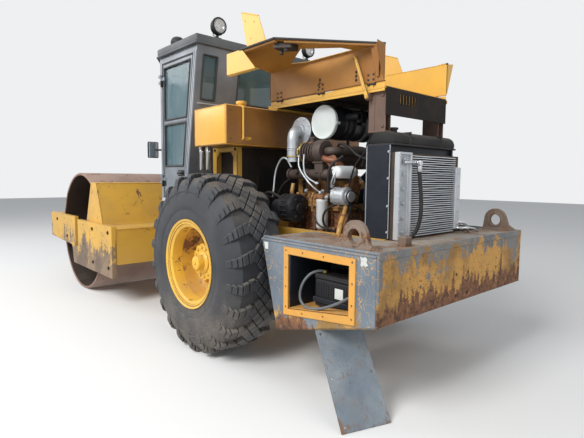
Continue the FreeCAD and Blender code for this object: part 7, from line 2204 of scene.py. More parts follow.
class Cab:
    """What shows on the cab: roof, gaskets, seals, door furniture, lamps, mirrors and steps."""

    OUT = 0.8005
    PANES = ((1.575, 1.985), (2.035, 2.547))
    DOOR = ((1.046, 1.274), (1.046, 2.586), (0.440, 2.586), (0.617, 1.430), (0.729, 1.274))

    def build(self) -> None:
        """Build the cab's details."""
        SHOP.settle(self.roof(), ROOF_GREY, MACHINE, "cab_grey", ["cab_roof"])
        SHOP.settle(self.gaskets(), RUBBER_SEAL, MACHINE, "hose_rubber")
        SHOP.settle(self.strips(), STRIP_GREY, MACHINE, "cab_grey")
        SHOP.settle(self.wiper(), BLACK, MACHINE, "black_metal")
        for side in Side:
            body = f"cab_door_{side.word}"
            Hood.place(self.door_rubber(), side, RUBBER_SEAL, body, "hose_rubber")
            Hood.place(self.door_furniture(), side, BLACK, body, "black_metal")
            Hood.place(self.door_folds(), side, CAB_PAINT, body, "cab_grey")
        SHOP.settle(self.lamp_housings(), PLASTIC, MACHINE, "black_plastic", ["work_lamps"])
        SHOP.settle(self.lamp_bowls(), CHROME, MACHINE, "rod_chrome")
        SHOP.settle(self.lamp_lenses(), LAMP_GLASS, MACHINE, "glass")
        SHOP.settle(self.mirrors(), PLASTIC, MACHINE, "black_plastic", ["mirrors"])
        SHOP.settle(self.mirror_faces(), CHROME, MACHINE, "rod_chrome")
        SHOP.settle(self.steps(), YELLOW_FRAME, MACHINE, "frame_yellow", ["boarding_steps"])
        SHOP.settle(self.treads(), BLACK, MACHINE, "black_metal")

    @staticmethod
    def back(z: float) -> float:
        """Return where the cab's leaning rear face stands at a height."""
        return 0.560 - 0.200 * (z - 1.420) / 1.240

    @staticmethod
    def loop(corners: Sequence[Point], radius: float) -> list[bpy.types.Object]:
        """Lay a closed bead through corners.

        Args:
            corners: The corners in order.
            radius: Radius of the bead.

        Returns:
            One straight run for each side.
        """
        ends = list(corners[1:]) + [corners[0]]
        return [SHOP.rod(first, second, radius, 10, 0.0) for first, second in zip(corners, ends)]

    @staticmethod
    def roof() -> bpy.types.Object:
        """Model the roof with a rounded rim, a rain gutter and pressed ribs."""
        outline = [(0.335, -0.825), (0.335, 0.825), (1.108, 0.825), (1.475, 0.575), (1.475, -0.575), (1.108, -0.825)]
        crown = SHOP.prism(outline, "z", 2.660, 2.750, 0.0)
        SHOP.modify(crown, "BEVEL", width=0.020, segments=3, limit_method="ANGLE")
        inset = [(x * 0.93 + 0.06, y * 0.88) for x, y in outline]
        top = SHOP.prism(inset, "z", 2.748, 2.757, 0.004)
        gutter = [SHOP.rod((x0, y0, 2.668), (x1, y1, 2.668), 0.009, 10, 0.0)
                  for (x0, y0), (x1, y1) in zip(outline, outline[1:] + outline[:1])]
        ribs = SHOP.row(SHOP.block((0.45, -0.560, 2.755), (1.30, -0.530, 2.763), 0.004), (0, 0.212, 0), 6)
        return SHOP.joined([SHOP.smooth(crown), top] + gutter + ribs, "cab_roof_crown")

    def gaskets(self) -> bpy.types.Object:
        """Model the rubber round the rear windows and the windscreen."""
        runs = []
        for y, half in ((0.0, 0.330), (0.655, 0.075), (-0.655, 0.075)):
            low, high = self.back(2.190) - 0.001, self.back(2.580) - 0.001
            runs += self.loop([(low, y - half, 2.190), (low, y + half, 2.190), (high, y + half, 2.580),
                               (high, y - half, 2.580)], 0.009)
        runs += self.loop([(1.451, -0.505, 1.360), (1.451, 0.505, 1.360), (1.451, 0.505, 2.590),
                           (1.451, -0.505, 2.590)], 0.009)
        return SHOP.joined(runs, "window_gaskets")

    def strips(self) -> bpy.types.Object:
        """Model the pale pressed strips on the rear corner posts and the rear sill."""
        parts = []
        for shift in (0.012, 0.040):
            low, high = 1.470, 2.610
            parts.append(SHOP.plate([(self.back(low) + shift, self.OUT, low), (self.back(low) + shift + 0.013, self.OUT, low),
                                     (self.back(high) + shift + 0.013, self.OUT, high),
                                     (self.back(high) + shift, self.OUT, high)], (0.0, 0.004, 0.0), 0.0015))
        parts.append(SHOP.plate([(0.745, 0.8005, 1.235), (0.600, 0.8005, 1.425), (0.612, 0.8005, 1.432),
                                 (0.757, 0.8005, 1.238)], (0.0, 0.004, 0.0), 0.0015))
        parts.append(SHOP.block((0.760, 0.8000, 1.215), (1.090, 0.8055, 1.250), 0.003))
        left = SHOP.joined(parts, "corner_strips")
        sill = SHOP.block((self.back(2.150) - 0.006, -0.760, 2.145), (self.back(2.150) + 0.004, 0.760, 2.160), 0.003)
        return SHOP.joined(SHOP.both_sides(left) + [sill], "corner_strips")

    @staticmethod
    def wiper() -> bpy.types.Object:
        """Model the windscreen wiper."""
        parts = [SHOP.rod((1.452, 0.05, 1.335), (1.476, 0.05, 1.335), 0.020, 20, 0.003),
                 SHOP.rod((1.470, 0.05, 1.335), (1.468, -0.22, 1.80), 0.006, 12, 0.001),
                 SHOP.block((1.456, -0.234, 1.60), (1.470, -0.222, 2.02), 0.002)]
        return SHOP.joined(parts, "windscreen_wiper")

    def door_rubber(self) -> bpy.types.Object:
        """Model the door's edge seal and the gaskets of its two panes."""
        runs = self.loop([(x, self.OUT - 0.001, z) for x, z in self.DOOR], 0.0045)
        for low, high in self.PANES:
            corners = [(self.back(low) + 0.106, low), (1.009, low), (1.009, high), (self.back(high) + 0.106, high)]
            runs += self.loop([(x, self.OUT, z) for x, z in corners], 0.009)
        return SHOP.joined(runs, "door_rubber")

    def door_furniture(self) -> bpy.types.Object:
        """Model the door's handle, lock and hinges."""
        out = self.OUT
        parts = [
            SHOP.block((0.628, out - 0.002, 1.478), (0.748, out + 0.004, 1.534), 0.003),
            SHOP.tube([(0.645, out + 0.003, 1.506), (0.652, out + 0.022, 1.506), (0.684, out + 0.026, 1.506),
                       (0.712, out + 0.022, 1.506), (0.719, out + 0.003, 1.506)], 0.009, 4),
            SHOP.spun([(0.0, 0.001), (0.0, 0.014), (0.010, 0.013), (0.012, 0.010), (0.012, 0.001)],
                      (0.735, out + 0.003, 1.506), (0, 1, 0), 24),
        ]
        for z in (1.400, 2.400):
            parts.append(SHOP.rod((1.052, 0.812, z - 0.030), (1.052, 0.812, z + 0.030), 0.011, 16, 0.002))
            parts.append(SHOP.block((0.990, out - 0.002, z - 0.026), (1.046, out + 0.005, z + 0.026), 0.002))
            parts += SHOP.bolts([(1.005, out + 0.005, z + dz) for dz in (-0.013, 0.013)], (0, 1, 0), 0.0065, 0.005)
        return SHOP.joined(parts, "door_furniture")

    def door_folds(self) -> bpy.types.Object:
        """Model the door's pressed frame and its lower panel."""
        out = self.OUT
        panel = SHOP.prism([(0.742, 1.300), (0.655, 1.425), (0.640, 1.465), (1.018, 1.465), (1.018, 1.300)],
                           "y", out - 0.001, out + 0.0035, 0.0025)
        sash = SHOP.block((self.back(2.01) + 0.100, out - 0.001, 1.998), (1.016, out + 0.004, 2.022), 0.003)
        bead = SHOP.tube([(1.030, out, 1.30), (1.030, out, 1.9), (1.030, out, 2.57)], 0.004, 3)
        return SHOP.joined([panel, sash, bead], "door_folds")

    @staticmethod
    def lamps(profile: Sequence[tuple[float, float]], steps: int = 40) -> list[bpy.types.Object]:
        """Spin one shape for each of the four lamps.

        Args:
            profile: Distance behind the lens's plane and radius.
            steps: Steps of the turn.

        Returns:
            The four copies.
        """
        made = []
        for x, way in ((0.340, 1), (1.160, -1)):
            for y in (0.575, -0.575):
                made.append(SHOP.spun(profile, (x, y, 2.860), (way, 0, 0), steps))
        return made

    def lamp_housings(self) -> bpy.types.Object:
        """Model the lamps' rubber housings, brackets and feet."""
        parts = self.lamps([(-0.002, 0.063), (-0.002, 0.074), (0.004, 0.077), (0.016, 0.077), (0.020, 0.073),
                            (0.030, 0.073), (0.056, 0.066), (0.082, 0.046), (0.090, 0.030), (0.090, 0.001),
                            (0.084, 0.001), (0.050, 0.060), (0.010, 0.064)])
        for x in (0.385, 1.115):
            for y in (0.575, -0.575):
                parts.append(SHOP.rod((x, y, 2.748), (x, y, 2.790), 0.014, 16, 0.003))
                parts.append(SHOP.block((x - 0.030, y - 0.030, 2.749), (x + 0.030, y + 0.030, 2.757), 0.003))
                parts.append(SHOP.tube([(x, y - 0.068, 2.858), (x, y - 0.056, 2.810), (x, y, 2.787),
                                        (x, y + 0.056, 2.810), (x, y + 0.068, 2.858)], 0.006, 3))
                parts.append(SHOP.tube([(x, y + 0.01, 2.76), (x + 0.04, y + 0.02, 2.80), (x + 0.02, y, 2.85)],
                                       0.004, 3))
        return SHOP.joined(parts, "lamp_housings")

    def lamp_bowls(self) -> bpy.types.Object:
        """Model the lamps' reflectors and bulbs."""
        parts = self.lamps([(0.006, 0.062), (0.030, 0.048), (0.046, 0.024), (0.050, 0.001), (0.052, 0.001),
                            (0.049, 0.028), (0.032, 0.052), (0.008, 0.064)])
        parts += self.lamps([(0.026, 0.001), (0.026, 0.009), (0.046, 0.009), (0.046, 0.001)], 16)
        return SHOP.joined(parts, "lamp_bowls")

    def lamp_lenses(self) -> bpy.types.Object:
        """Model the lamps' domed lenses."""
        return SHOP.joined(self.lamps([(-0.006, 0.001), (-0.004, 0.030), (0.002, 0.062), (0.005, 0.062),
                                       (-0.001, 0.030), (-0.003, 0.001)]), "lamp_lenses")

    @staticmethod
    def mirrors() -> bpy.types.Object:
        """Model the mirrors' housings, arms and clamps."""
        housing = SHOP.block((1.154, 0.802, 1.662), (1.182, 0.918, 1.828), 0.012, 3)
        arm = SHOP.tube([(1.112, 0.766, 1.745), (1.120, 0.800, 1.745), (1.150, 0.840, 1.745), (1.168, 0.860, 1.745)],
                        0.009, 4)
        foot = SHOP.block((1.098, 0.752, 1.715), (1.120, 0.790, 1.775), 0.004)
        clamp = SHOP.rod((1.176, 0.860, 1.715), (1.176, 0.860, 1.775), 0.014, 16, 0.003)
        left = SHOP.joined([SHOP.smooth(housing), arm, foot, clamp], "mirror_housings")
        return SHOP.joined(SHOP.both_sides(left), "mirror_housings")

    @staticmethod
    def mirror_faces() -> bpy.types.Object:
        """Model the mirrors' glass."""
        left = SHOP.block((1.150, 0.810, 1.670), (1.156, 0.910, 1.820), 0.002)
        left.name = "mirror_faces"
        return SHOP.joined(SHOP.both_sides(left), "mirror_faces")

    @staticmethod
    def steps() -> bpy.types.Object:
        """Model the steps' hangers, rims and brackets."""
        parts = [SHOP.block((0.790, 0.500, 1.138), (1.050, 0.800, 1.150), 0.002)]
        for x in (0.790, 1.038):
            parts.append(SHOP.block((x, 0.630, 0.560), (x + 0.012, 0.760, 1.148), 0.002))
        for z in (0.560, 0.860):
            parts.append(SHOP.block((0.790, 0.788, z), (1.050, 0.800, z + 0.040), 0.003))
            parts.append(SHOP.block((0.790, 0.570, z), (1.050, 0.582, z + 0.030), 0.003))
            for x in (0.790, 1.040):
                parts.append(SHOP.block((x, 0.572, z), (x + 0.010, 0.798, z + 0.020), 0.002))
        parts += SHOP.bolts([(x, 0.695, 1.137) for x in (0.82, 1.02)], (0, 0, -1), 0.010, 0.008)
        left = SHOP.joined(parts, "step_frames")
        return SHOP.joined(SHOP.both_sides(left), "step_frames")

    @staticmethod
    def treads() -> bpy.types.Object:
        """Model the steps' open treads from bars and cleats."""
        parts = []
        for z in (0.562, 0.862):
            parts += SHOP.row(SHOP.block((0.800, 0.590, z), (1.040, 0.596, z + 0.014), 0.001), (0, 0.031, 0), 7)
            parts += SHOP.row(SHOP.block((0.822, 0.580, z), (0.828, 0.790, z + 0.012), 0.001), (0.041, 0, 0), 6)
        left = SHOP.joined(parts, "step_treads")
        return SHOP.joined(SHOP.both_sides(left), "step_treads")


class DriversPlace:
    """The seat with its padded cushions, and the steering console."""

    def build(self) -> None:
        """Build the seat and the console."""
        SHOP.settle(self.pedestal(), BLACK, MACHINE, "black_metal", ["seat"])
        for pad in (self.cushion(), self.backrest()):
            SHOP.settle(pad, SEAT_CLOTH, MACHINE, "seat_black")
        SHOP.settle(self.piping(), RUBBER_SEAL, MACHINE, "black_plastic")
        SHOP.settle(self.console(), PLASTIC, MACHINE, "black_plastic", ["console"])
        SHOP.settle(self.dials(), ALUMINIUM, MACHINE, "rod_chrome")

    @staticmethod
    def inflate(pad: bpy.types.Object, voxel: float, cap: float, name: str) -> bpy.types.Object:
        """Puff a closed form up with cloth, hold each point near its start, and smooth it.

        Args:
            pad: The closed form, slightly smaller than the cushion.
            voxel: Edge of the remesh.
            cap: Farthest that a point may move.
            name: Name of the result.

        Returns:
            The cushion.
        """
        SHOP.modify(pad, "REMESH", mode="VOXEL", voxel_size=voxel)
        SHOP.modify(pad, "SMOOTH", factor=0.5, iterations=4)
        start = [vertex.co.copy() for vertex in pad.data.vertices]
        SHOP.only(pad)
        cloth = pad.modifiers.new("Cloth", "CLOTH")
        cloth.settings.quality = 4
        cloth.settings.use_pressure = True
        cloth.settings.uniform_pressure_force = 4.0
        cloth.settings.effector_weights.gravity = 0.0
        cloth.point_cache.frame_start = 1
        cloth.point_cache.frame_end = 20
        for frame in range(1, 21):
            bpy.context.scene.frame_set(frame)
        bpy.ops.object.modifier_apply(modifier=cloth.name)
        bpy.context.scene.frame_set(1)
        for vertex, place in zip(pad.data.vertices, start):
            moved = vertex.co - place
            if moved.length > cap:
                vertex.co = place + moved.normalized() * cap
        SHOP.modify(pad, "SMOOTH", factor=0.5, iterations=3)
        SHOP.modify(pad, "SUBSURF", levels=1, render_levels=1)
        pad.name = name
        return SHOP.smooth(pad, 60.0)

    def cushion(self) -> bpy.types.Object:
        """Model the seat cushion."""
        pad = SHOP.block((0.738, -0.222, 1.504), (1.112, 0.222, 1.586), 0.028, 3)
        return self.inflate(pad, 0.006, 0.016, "seat_cushion")

    def backrest(self) -> bpy.types.Object:
        """Model the backrest, which leans back."""
        pad = SHOP.plate([(0.716, -0.208, 1.612), (0.784, -0.208, 1.612), (0.727, -0.208, 2.112),
                          (0.676, -0.208, 2.112)], (0.0, 0.416, 0.0), 0.026)
        return self.inflate(pad, 0.006, 0.016, "seat_backrest")

    @staticmethod
    def piping() -> bpy.types.Object:
        """Model the sewn piping round both cushions."""
        corners = [(0.745, -0.228, 1.545), (1.105, -0.228, 1.545), (1.118, -0.20, 1.545), (1.118, 0.20, 1.545),
                   (1.105, 0.228, 1.545), (0.745, 0.228, 1.545), (0.732, 0.20, 1.545), (0.732, -0.20, 1.545),
                   (0.745, -0.228, 1.545)]
        low = SHOP.tube(corners, 0.004, 3)
        high = SHOP.tube([(0.752, -0.214, 1.62), (0.728, -0.214, 1.84), (0.706, -0.214, 2.09), (0.702, -0.19, 2.122),
                          (0.702, 0.19, 2.122), (0.706, 0.214, 2.09), (0.728, 0.214, 1.84), (0.752, 0.214, 1.62)],
                         0.004, 3)
        return SHOP.joined([low, high], "seat_piping")

    @staticmethod
    def pedestal() -> bpy.types.Object:
        """Model the seat's pedestal with bellows, slides, shells and a lever."""
        folds = []
        for k in range(7):
            z = 1.262 + 0.030 * k
            folds += [SHOP.block((0.766, -0.146, z), (0.954, 0.146, z + 0.017), 0.006, 2),
                      SHOP.block((0.776, -0.136, z + 0.015), (0.944, 0.136, z + 0.032), 0.002)]
        parts = [SHOP.block((0.762, -0.150, 1.229), (0.960, 0.150, 1.264), 0.004),
                 SHOP.block((0.750, -0.190, 1.474), (1.080, 0.190, 1.492), 0.004),
                 SHOP.block((0.728, -0.205, 1.490), (1.110, 0.205, 1.506), 0.006),
                 SHOP.plate([(0.706, -0.190, 1.500), (0.718, -0.190, 1.500), (0.672, -0.190, 2.100),
                             (0.662, -0.190, 2.100)], (0.0, 0.380, 0.0), 0.003),
                 SHOP.rod((1.02, 0.20, 1.482), (1.02, 0.245, 1.482), 0.007, 12, 0.002),
                 SHOP.rod((1.02, 0.232, 1.482), (1.075, 0.236, 1.478), 0.009, 12, 0.003)]
        return SHOP.joined(parts + folds, "seat_pedestal")

    @staticmethod
    def console() -> bpy.types.Object:
        """Model the column, the dash with its hood, the wheel, a lever and two blocks at the column's foot."""
        wheel, tilt = Vector((1.220, 0.0, 1.910)), Vector((-0.5, 0.0, 0.87)).normalized()
        rim = SHOP.spun([(0.013 * math.sin(a), 0.190 + 0.013 * math.cos(a))
                         for a in (k * math.tau / 10 for k in range(10))], wheel, (-0.5, 0.0, 0.87), 56)
        side = Vector((0.0, 1.0, 0.0))
        front = tilt.cross(side)
        spokes = [SHOP.rod(wheel, wheel + side * 0.186 * way, 0.009, 12, 0.0) for way in (1, -1)]
        spokes.append(SHOP.rod(wheel, wheel + front * 0.186, 0.009, 12, 0.0))
        parts = [
            SHOP.block((1.302, -0.088, 1.229), (1.378, 0.088, 1.780), 0.010, 2),
            SHOP.prism([(1.400, 1.772), (1.272, 1.772), (1.270, 1.845), (1.318, 1.890), (1.400, 1.890)], "y",
                       -0.240, 0.240, 0.010),
            SHOP.block((1.262, -0.236, 1.883), (1.402, 0.236, 1.893), 0.004),
            SHOP.rod((1.320, 0.0, 1.770), wheel, 0.020, 24, 0.002),
            SHOP.rod(wheel - tilt * 0.012, wheel + tilt * 0.020, 0.034, 28, 0.005), rim,
            SHOP.rod((1.275, 0.150, 1.83), (1.215, 0.190, 1.90), 0.006, 12, 0.001),
            SHOP.rod((1.218, 0.188, 1.896), (1.205, 0.197, 1.912), 0.014, 16, 0.005),
            SHOP.block((1.240, -0.080, 1.229), (1.310, -0.015, 1.250), 0.005),
            SHOP.block((1.240, 0.020, 1.229), (1.310, 0.085, 1.250), 0.005),
        ]
        return SHOP.joined(parts + spokes, "console_column")

    @staticmethod
    def dials() -> bpy.types.Object:
        """Model the dials' rings and the row of switches."""
        parts = []
        for y in (-0.17, -0.06, 0.06, 0.17):
            parts.append(SHOP.spun([(0.0, 0.026), (0.0, 0.032), (0.006, 0.031), (0.006, 0.026)],
                                   (1.296, y, 1.868), (-0.68, 0.0, 0.73), 28))
            parts.append(SHOP.block((1.264, y - 0.010, 1.800), (1.271, y + 0.010, 1.822), 0.002))
        return SHOP.joined(parts, "console_dials")


class FrontFrame:
    """Welds, bolts, edges and scraper of the front frame, its drum and the steering cylinders."""

    SIDE = ((1.690, 0.330), (1.690, 0.915), (2.850, 0.915), (2.850, 0.560), (2.955, 0.560), (2.955, 0.945),
            (4.045, 0.945), (4.045, 0.600), (3.100, 0.560), (3.040, 0.330))

    def build(self) -> None:
        """Build the front frame's details."""
        for side in Side:
            Hood.place(self.side_face(), side, SIDE_WORN, FRONT, "frame_yellow")
            Hood.place(self.side_bolts(), side, DARK_BOLT, FRONT, "black_metal")
            Hood.place(self.barrel(), side, YELLOW_FRAME, f"steer_barrel_{side.word}", "frame_yellow")
        SHOP.settle(self.beam(), YELLOW_FRAME, FRONT, "frame_yellow")
        SHOP.settle(self.fender_trim(), YELLOW_FRAME, FRONT, "frame_yellow")
        SHOP.settle(self.scraper(), RUSTY_IRON, FRONT, "black_metal")
        SHOP.settle(self.shell(), DRUM_STEEL, "drum", "drum_steel", ["drum_shell"])
        SHOP.settle(self.lining(), DRUM_INNER, "drum", "drum_steel")
        SHOP.settle(self.heads(), DRUM_INNER, "drum", "drum_steel")

    def side_face(self) -> bpy.types.Object:
        """Model the worn outer skin of a side plate with its welded edge."""
        skin = SHOP.prism(self.SIDE, "y", 1.117, 1.1215, 0.0015)
        for x, z, r in ((2.640, 0.860, 0.011), (2.640, 0.740, 0.011), (2.640, 0.620, 0.011), (3.420, 0.890, 0.011),
                        (3.420, 0.800, 0.011)):
            SHOP.cut(skin, SHOP.rod((x, 1.08, z), (x, 1.16, z), r, 16, 0.0))
        weld = SHOP.tube([(1.700, 1.074, 0.52), (1.700, 1.074, 0.70), (1.700, 1.074, 0.88)], 0.007, 3)
        cap = SHOP.block((1.684, 1.070, 0.330), (1.693, 1.122, 0.915), 0.003)
        return SHOP.joined([skin, weld, cap], "side_plate_skin")

    @staticmethod
    def side_bolts() -> bpy.types.Object:
        """Add the bolts through a side plate."""
        spots = [(x, 1.1215, z) for x in (1.79, 2.30) for z in (0.44, 0.84)] + [(3.30, 1.1215, 0.66),
                                                                              (3.75, 1.1215, 0.86)]
        return SHOP.joined(SHOP.bolts(spots, (0, 1, 0), 0.017, 0.012), "side_plate_bolts")

    @staticmethod
    def beam() -> bpy.types.Object:
        """Model the front beam's folded rims, stiffeners and bolts."""
        parts = [SHOP.block((4.043, -1.074, 0.606), (4.052, 1.074, 0.634), 0.003),
                 SHOP.block((4.043, -1.074, 0.906), (4.052, 1.074, 0.934), 0.003)]
        parts += SHOP.row(SHOP.block((4.043, -0.846, 0.634), (4.050, -0.834, 0.906), 0.002), (0, 0.42, 0), 5)
        parts += SHOP.bolts([(4.045, y, z) for y in (-0.16, 0.16) for z in (0.70, 0.84)], (1, 0, 0), 0.016, 0.012)
        return SHOP.joined(parts, "front_beam_trim")

    @staticmethod
    def fender_trim() -> bpy.types.Object:
        """Model the beads along the fender's folds and the ledge behind it."""
        runs = [SHOP.rod((2.280, -1.070, 1.386), (2.280, 1.070, 1.386), 0.008, 12, 0.002),
                SHOP.rod((2.450, -1.070, 1.386), (2.450, 1.070, 1.386), 0.008, 12, 0.002),
                SHOP.rod((2.082, -1.060, 0.899), (2.082, 1.060, 0.899), 0.009, 12, 0.002),
                SHOP.rod((1.692, -1.070, 0.884), (1.692, 1.070, 0.884), 0.010, 12, 0.002)]
        for y in (1.071, -1.071):
            runs.append(SHOP.rod((2.082, y, 0.900), (2.280, y, 1.385), 0.006, 10, 0.001))
            runs.append(SHOP.rod((2.280, y, 1.386), (2.450, y, 1.386), 0.006, 10, 0.001))
        return SHOP.joined(runs, "fender_trim")

    @staticmethod
    def scraper() -> bpy.types.Object:
        """Model the scraper bar behind the drum with its brackets."""
        parts = [SHOP.block((2.105, -1.02, 0.560), (2.118, 1.02, 0.640), 0.003)]
        for y in (-0.9, -0.3, 0.3, 0.9):
            parts.append(SHOP.plate([(1.885, y - 0.006, 0.640), (1.885, y - 0.006, 0.720), (2.110, y - 0.006, 0.630),
                                     (2.110, y - 0.006, 0.575)], (0.0, 0.012, 0.0), 0.002))
        return SHOP.joined(parts, "drum_scraper")

    @staticmethod
    def shell() -> bpy.types.Object:
        """Spin the drum's shell with its rounded rims."""
        half, outer, inner = 1.050, 0.755, 0.725
        profile = [(-half, outer - 0.006), (-half + 0.008, outer), (-0.5, outer), (0.0, outer), (0.5, outer),
                   (half - 0.008, outer), (half, outer - 0.006), (half, inner + 0.002), (half - 0.004, inner),
                   (-half + 0.004, inner), (-half, inner + 0.002)]
        shell = SHOP.spun(profile, (2.920, 0.0, 0.755), (0, 1, 0), 128)
        shell.name = "drum_rolled_shell"
        return shell

    @staticmethod
    def lining() -> bpy.types.Object:
        """Spin a near-black ring over the shell's inner faces outside its heads."""
        ring = SHOP.spun([(0.727, 0.7256), (0.727, 0.7235), (1.044, 0.7235), (1.044, 0.7256)],
                         (2.920, 0.0, 0.755), (0, 1, 0), 128)
        ring.name = "drum_lining"
        return SHOP.joined(SHOP.both_sides(ring), "drum_lining")

    @staticmethod
    def heads() -> bpy.types.Object:
        """Model the ribs, weld beads and bolts on the drum's heads."""
        parts = []
        rib = SHOP.prism([(2.904, 0.890), (2.936, 0.890), (2.932, 1.470), (2.908, 1.470)], "y", 0.724, 0.745, 0.003)
        parts += SHOP.ring(rib, (2.920, 0.0, 0.755), (0, 1, 0), 6, 0.5)
        bolt = SHOP.bolt((2.920, 0.7255, 0.945), (0, 1, 0), 0.014, 0.012)
        parts += SHOP.ring(bolt, (2.920, 0.0, 0.755), (0, 1, 0), 12, 0.5)
        parts.append(SHOP.spun([(0.722, 0.700), (0.722, 0.725), (0.737, 0.725)], (2.920, 0.0, 0.755), (0, 1, 0), 96))
        left = SHOP.joined(parts, "drum_head_trim")
        return SHOP.joined(SHOP.both_sides(left), "drum_head_trim")

    @staticmethod
    def barrel() -> bpy.types.Object:
        """Model the gland, ports and band of a steering cylinder's barrel."""
        start = Vector((0.750, 0.280, 0.620))
        line = Vector((840.0, 20.0, 0.0)).normalized()
        parts = []
        for along, length, radius in ((0.10, 0.022, 0.052), (0.38, 0.030, 0.051)):
            parts.append(SHOP.rod(start + line * along, start + line * (along + length), radius, 28, 0.003))
        for along in (0.14, 0.36):
            foot = start + line * along + Vector((0.0, 0.0, 0.040))
            parts.append(SHOP.rod(foot, foot + Vector((0.0, 0.0, 0.016)), 0.014, 6, 0.001))
        return SHOP.joined(parts, "cylinder_trim")


class CadDresser:
    """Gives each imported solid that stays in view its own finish."""

    FINISHES: dict[str, Finish | Pane] = {
        "tyre_left": TYRE, "tyre_right": TYRE, "rim_left": YELLOW_WHEEL, "rim_right": YELLOW_WHEEL,
        "side_plate_left": YELLOW_FRAME, "side_plate_right": YELLOW_FRAME,
        "steer_barrel_left": YELLOW_FRAME, "steer_barrel_right": YELLOW_FRAME,
        "steer_rod_left": CHROME, "steer_rod_right": CHROME,
        # The left hood door takes the darker yellow of painted shade.
        "hood_door_left": YELLOW_PAINTED_SHADE, "hood_door_right": YELLOW,
        "hood_prop_left": YELLOW, "hood_prop_right": YELLOW,
        "cab_door_left": CAB_PAINT, "cab_door_right": CAB_PAINT,
        "door_glass_left": GLASS, "door_glass_right": GLASS, "cab_glass": GLASS,
        "chassis": YELLOW_FRAME, "rear_axle": YELLOW_FRAME, "counterweight": WEIGHT_SIDE,
        "battery": PLASTIC, "cover_plate": GREY_PLATE, "front_beam": YELLOW_FRAME,
        "rear_beam": YELLOW_FRAME, "drum_fender": YELLOW_FRAME, "drum_mounts": BLACK,
        "drum_shell": DRUM_STEEL, "drum_heads": DRUM_INNER, "engine_block": ENGINE_YELLOW,
        "exhaust_manifold": ENGINE_IRON, "air_cleaner": CLEANER_LID, "intake_pipe": ALUMINIUM,
        "filters": WHITE, "engine_drives": BLACK, "radiator": BLACK_PANEL, "cooler_hose": HOSE,
        "engine_hoses": HOSE, "muffler": ENGINE_IRON, "boarding_steps": YELLOW_FRAME,
        "hood_frame": YELLOW, "hood_posts": POST_BROWN, "tank": YELLOW, "tank_stand": YELLOW_FRAME,
        "cab_shell": CAB_PAINT, "cab_roof": ROOF_GREY, "seat": SEAT_CLOTH, "console": PLASTIC,
        "work_lamps": PLASTIC, "mirrors": PLASTIC,
    }

    def build(self, nodes: dict[str, bpy.types.Object]) -> None:
        """Dress every solid.

        Args:
            nodes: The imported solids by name.
        """
        for name, piece in nodes.items():
            finish = self.FINISHES[name].material()
            for slot in piece.material_slots:
                slot.material = finish
            if not piece.material_slots:
                piece.data.materials.append(finish)
            LOG.info("dressed %s with %s", name, finish.name)


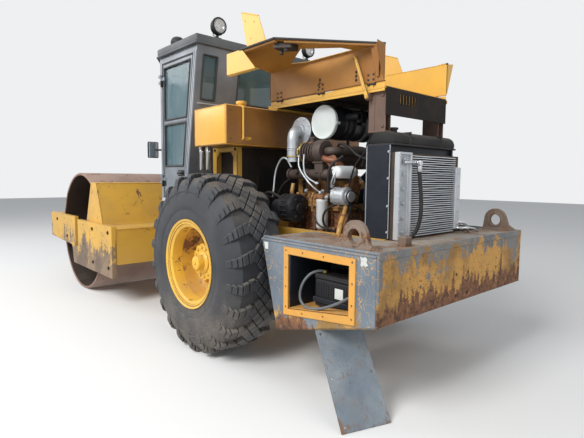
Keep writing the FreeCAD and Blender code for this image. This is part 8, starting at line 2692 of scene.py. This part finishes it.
@dataclass
class Studio:
    """Floor, soft lights and the camera.

    Attributes:
        spot: The camera's place.
        heading: Turn of the view about Z from +X, in degrees.
        dip: Downward tilt, in degrees.
        roll: Roll about the view, in degrees.
        focal_px: Focal length in pixels of the frame.
        frame_px: Width of the frame in pixels.
    """

    spot: Point = (-4.458, 2.969, 1.464)
    heading: float = -41.895
    dip: float = 5.09
    roll: float = 0.515
    focal_px: float = 456.12
    frame_px: float = 584.0

    def build(self) -> None:
        """Set up the scene's stage."""
        self.floor()
        self.world()
        self.lamp("key", (-2.5, 9.0, 8.0), 5.0, 1150.0)
        self.lamp("fill", (-9.5, 0.5, 4.5), 7.0, 170.0)
        self.lamp("far", (7.0, 6.0, 7.0), 6.0, 380.0)
        self.camera()
        bpy.context.scene.view_settings.view_transform = "Standard"

    @staticmethod
    def pale(tree: bpy.types.NodeTree, shader: bpy.types.NodeSocket, kit: NodeKit) -> bpy.types.NodeSocket:
        """Mix a shader with a pale glow that only reflections and views through glass see.

        Args:
            tree: The material's tree.
            shader: The shader that lights and shadows fall on.
            kit: Kit of the same tree.

        Returns:
            The mixed shader.
        """
        path = kit.add("ShaderNodeLightPath")
        seen = kit.maths("MAXIMUM", path.outputs["Is Glossy Ray"], path.outputs["Is Transmission Ray"])
        glow = kit.add("ShaderNodeEmission")
        glow.inputs["Color"].default_value = (0.82, 0.82, 0.81, 1.0)
        glow.inputs["Strength"].default_value = 0.9
        mix = kit.add("ShaderNodeMixShader")
        kit.link(seen, mix.inputs[0])
        kit.link(shader, mix.inputs[1])
        kit.link(glow.outputs[0], mix.inputs[2])
        return mix.outputs[0]

    def floor(self) -> None:
        """Lay the pale floor."""
        SHOP.clear()
        bpy.ops.mesh.primitive_plane_add(size=60.0, location=(0.0, 0.0, 0.0))
        floor = bpy.context.object
        floor.name = "studio_floor"
        material = bpy.data.materials.new("Studio floor")
        material.use_nodes = True
        kit = NodeKit(material.node_tree)
        shader = material.node_tree.nodes["Principled BSDF"]
        shader.inputs["Base Color"].default_value = (0.80, 0.80, 0.79, 1.0)
        shader.inputs["Roughness"].default_value = 0.9
        out = material.node_tree.nodes["Material Output"]
        kit.link(self.pale(material.node_tree, shader.outputs[0], kit), out.inputs["Surface"])
        floor.data.materials.append(material)

    def world(self) -> None:
        """Give the surroundings a soft even light and a pale look."""
        world = bpy.data.worlds.new("Studio")
        bpy.context.scene.world = world
        world.use_nodes = True
        kit = NodeKit(world.node_tree)
        plain = world.node_tree.nodes["Background"]
        plain.inputs["Color"].default_value = (0.90, 0.94, 1.0, 1.0)
        plain.inputs["Strength"].default_value = 0.42
        bright = kit.add("ShaderNodeBackground")
        bright.inputs["Color"].default_value = (0.86, 0.87, 0.88, 1.0)
        bright.inputs["Strength"].default_value = 1.0
        path = kit.add("ShaderNodeLightPath")
        seen = kit.maths("MAXIMUM", path.outputs["Is Camera Ray"], path.outputs["Is Glossy Ray"])
        any_seen = kit.maths("MAXIMUM", seen, path.outputs["Is Transmission Ray"])
        mix = kit.add("ShaderNodeMixShader")
        kit.link(any_seen, mix.inputs[0])
        kit.link(plain.outputs[0], mix.inputs[1])
        kit.link(bright.outputs[0], mix.inputs[2])
        kit.link(mix.outputs[0], world.node_tree.nodes["World Output"].inputs["Surface"])

    @staticmethod
    def lamp(name: str, spot: Point, size: float, watts: float) -> None:
        """Add a soft area lamp that faces the machine.

        Args:
            name: Its name.
            spot: Its place.
            size: Edge length.
            watts: Its power.
        """
        data = bpy.data.lights.new(name, "AREA")
        data.size = size
        data.energy = watts
        lamp = bpy.data.objects.new(name, data)
        bpy.context.scene.collection.objects.link(lamp)
        lamp.location = spot
        lamp.rotation_euler = (Vector((0.0, 0.0, 1.0)) - Vector(spot)).to_track_quat("-Z", "Y").to_euler()

    def camera(self) -> None:
        """Place the camera where the photograph was taken from."""
        yaw, pitch, roll = (math.radians(v) for v in (self.heading, -self.dip, self.roll))
        forward = Vector((math.cos(yaw) * math.cos(pitch), math.sin(yaw) * math.cos(pitch), math.sin(pitch)))
        level = forward.cross(Vector((0, 0, 1))).normalized()
        upward = level.cross(forward)
        right = level * math.cos(roll) + upward * math.sin(roll)
        upper = upward * math.cos(roll) - level * math.sin(roll)
        turn = Matrix((right, upper, -forward)).transposed()
        data = bpy.data.cameras.new("camera")
        data.sensor_fit = "HORIZONTAL"
        data.sensor_width = 36.0
        data.lens = 36.0 * self.focal_px / self.frame_px
        data.clip_end = 200.0
        camera = bpy.data.objects.new("camera", data)
        bpy.context.scene.collection.objects.link(camera)
        camera.matrix_world = Matrix.Translation(self.spot) @ turn.to_4x4()
        bpy.context.scene.camera = camera


def main() -> None:
    """Load the solids, build each sub-assembly and set the stage."""
    logging.basicConfig(level=logging.INFO, format="%(name)s %(message)s")
    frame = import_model()
    SHOP.clear()
    CadDresser().build(frame["nodes"])
    assemblies = (RearWheel(), RearWeight(), CoverPlate(), EngineBay(), Radiator(), Hood(), TankAndStand(), Cab(),
                  DriversPlace(), FrontFrame())
    for assembly in assemblies:
        assembly.build()
    Studio().build()


if __name__ == "__main__":
    main()
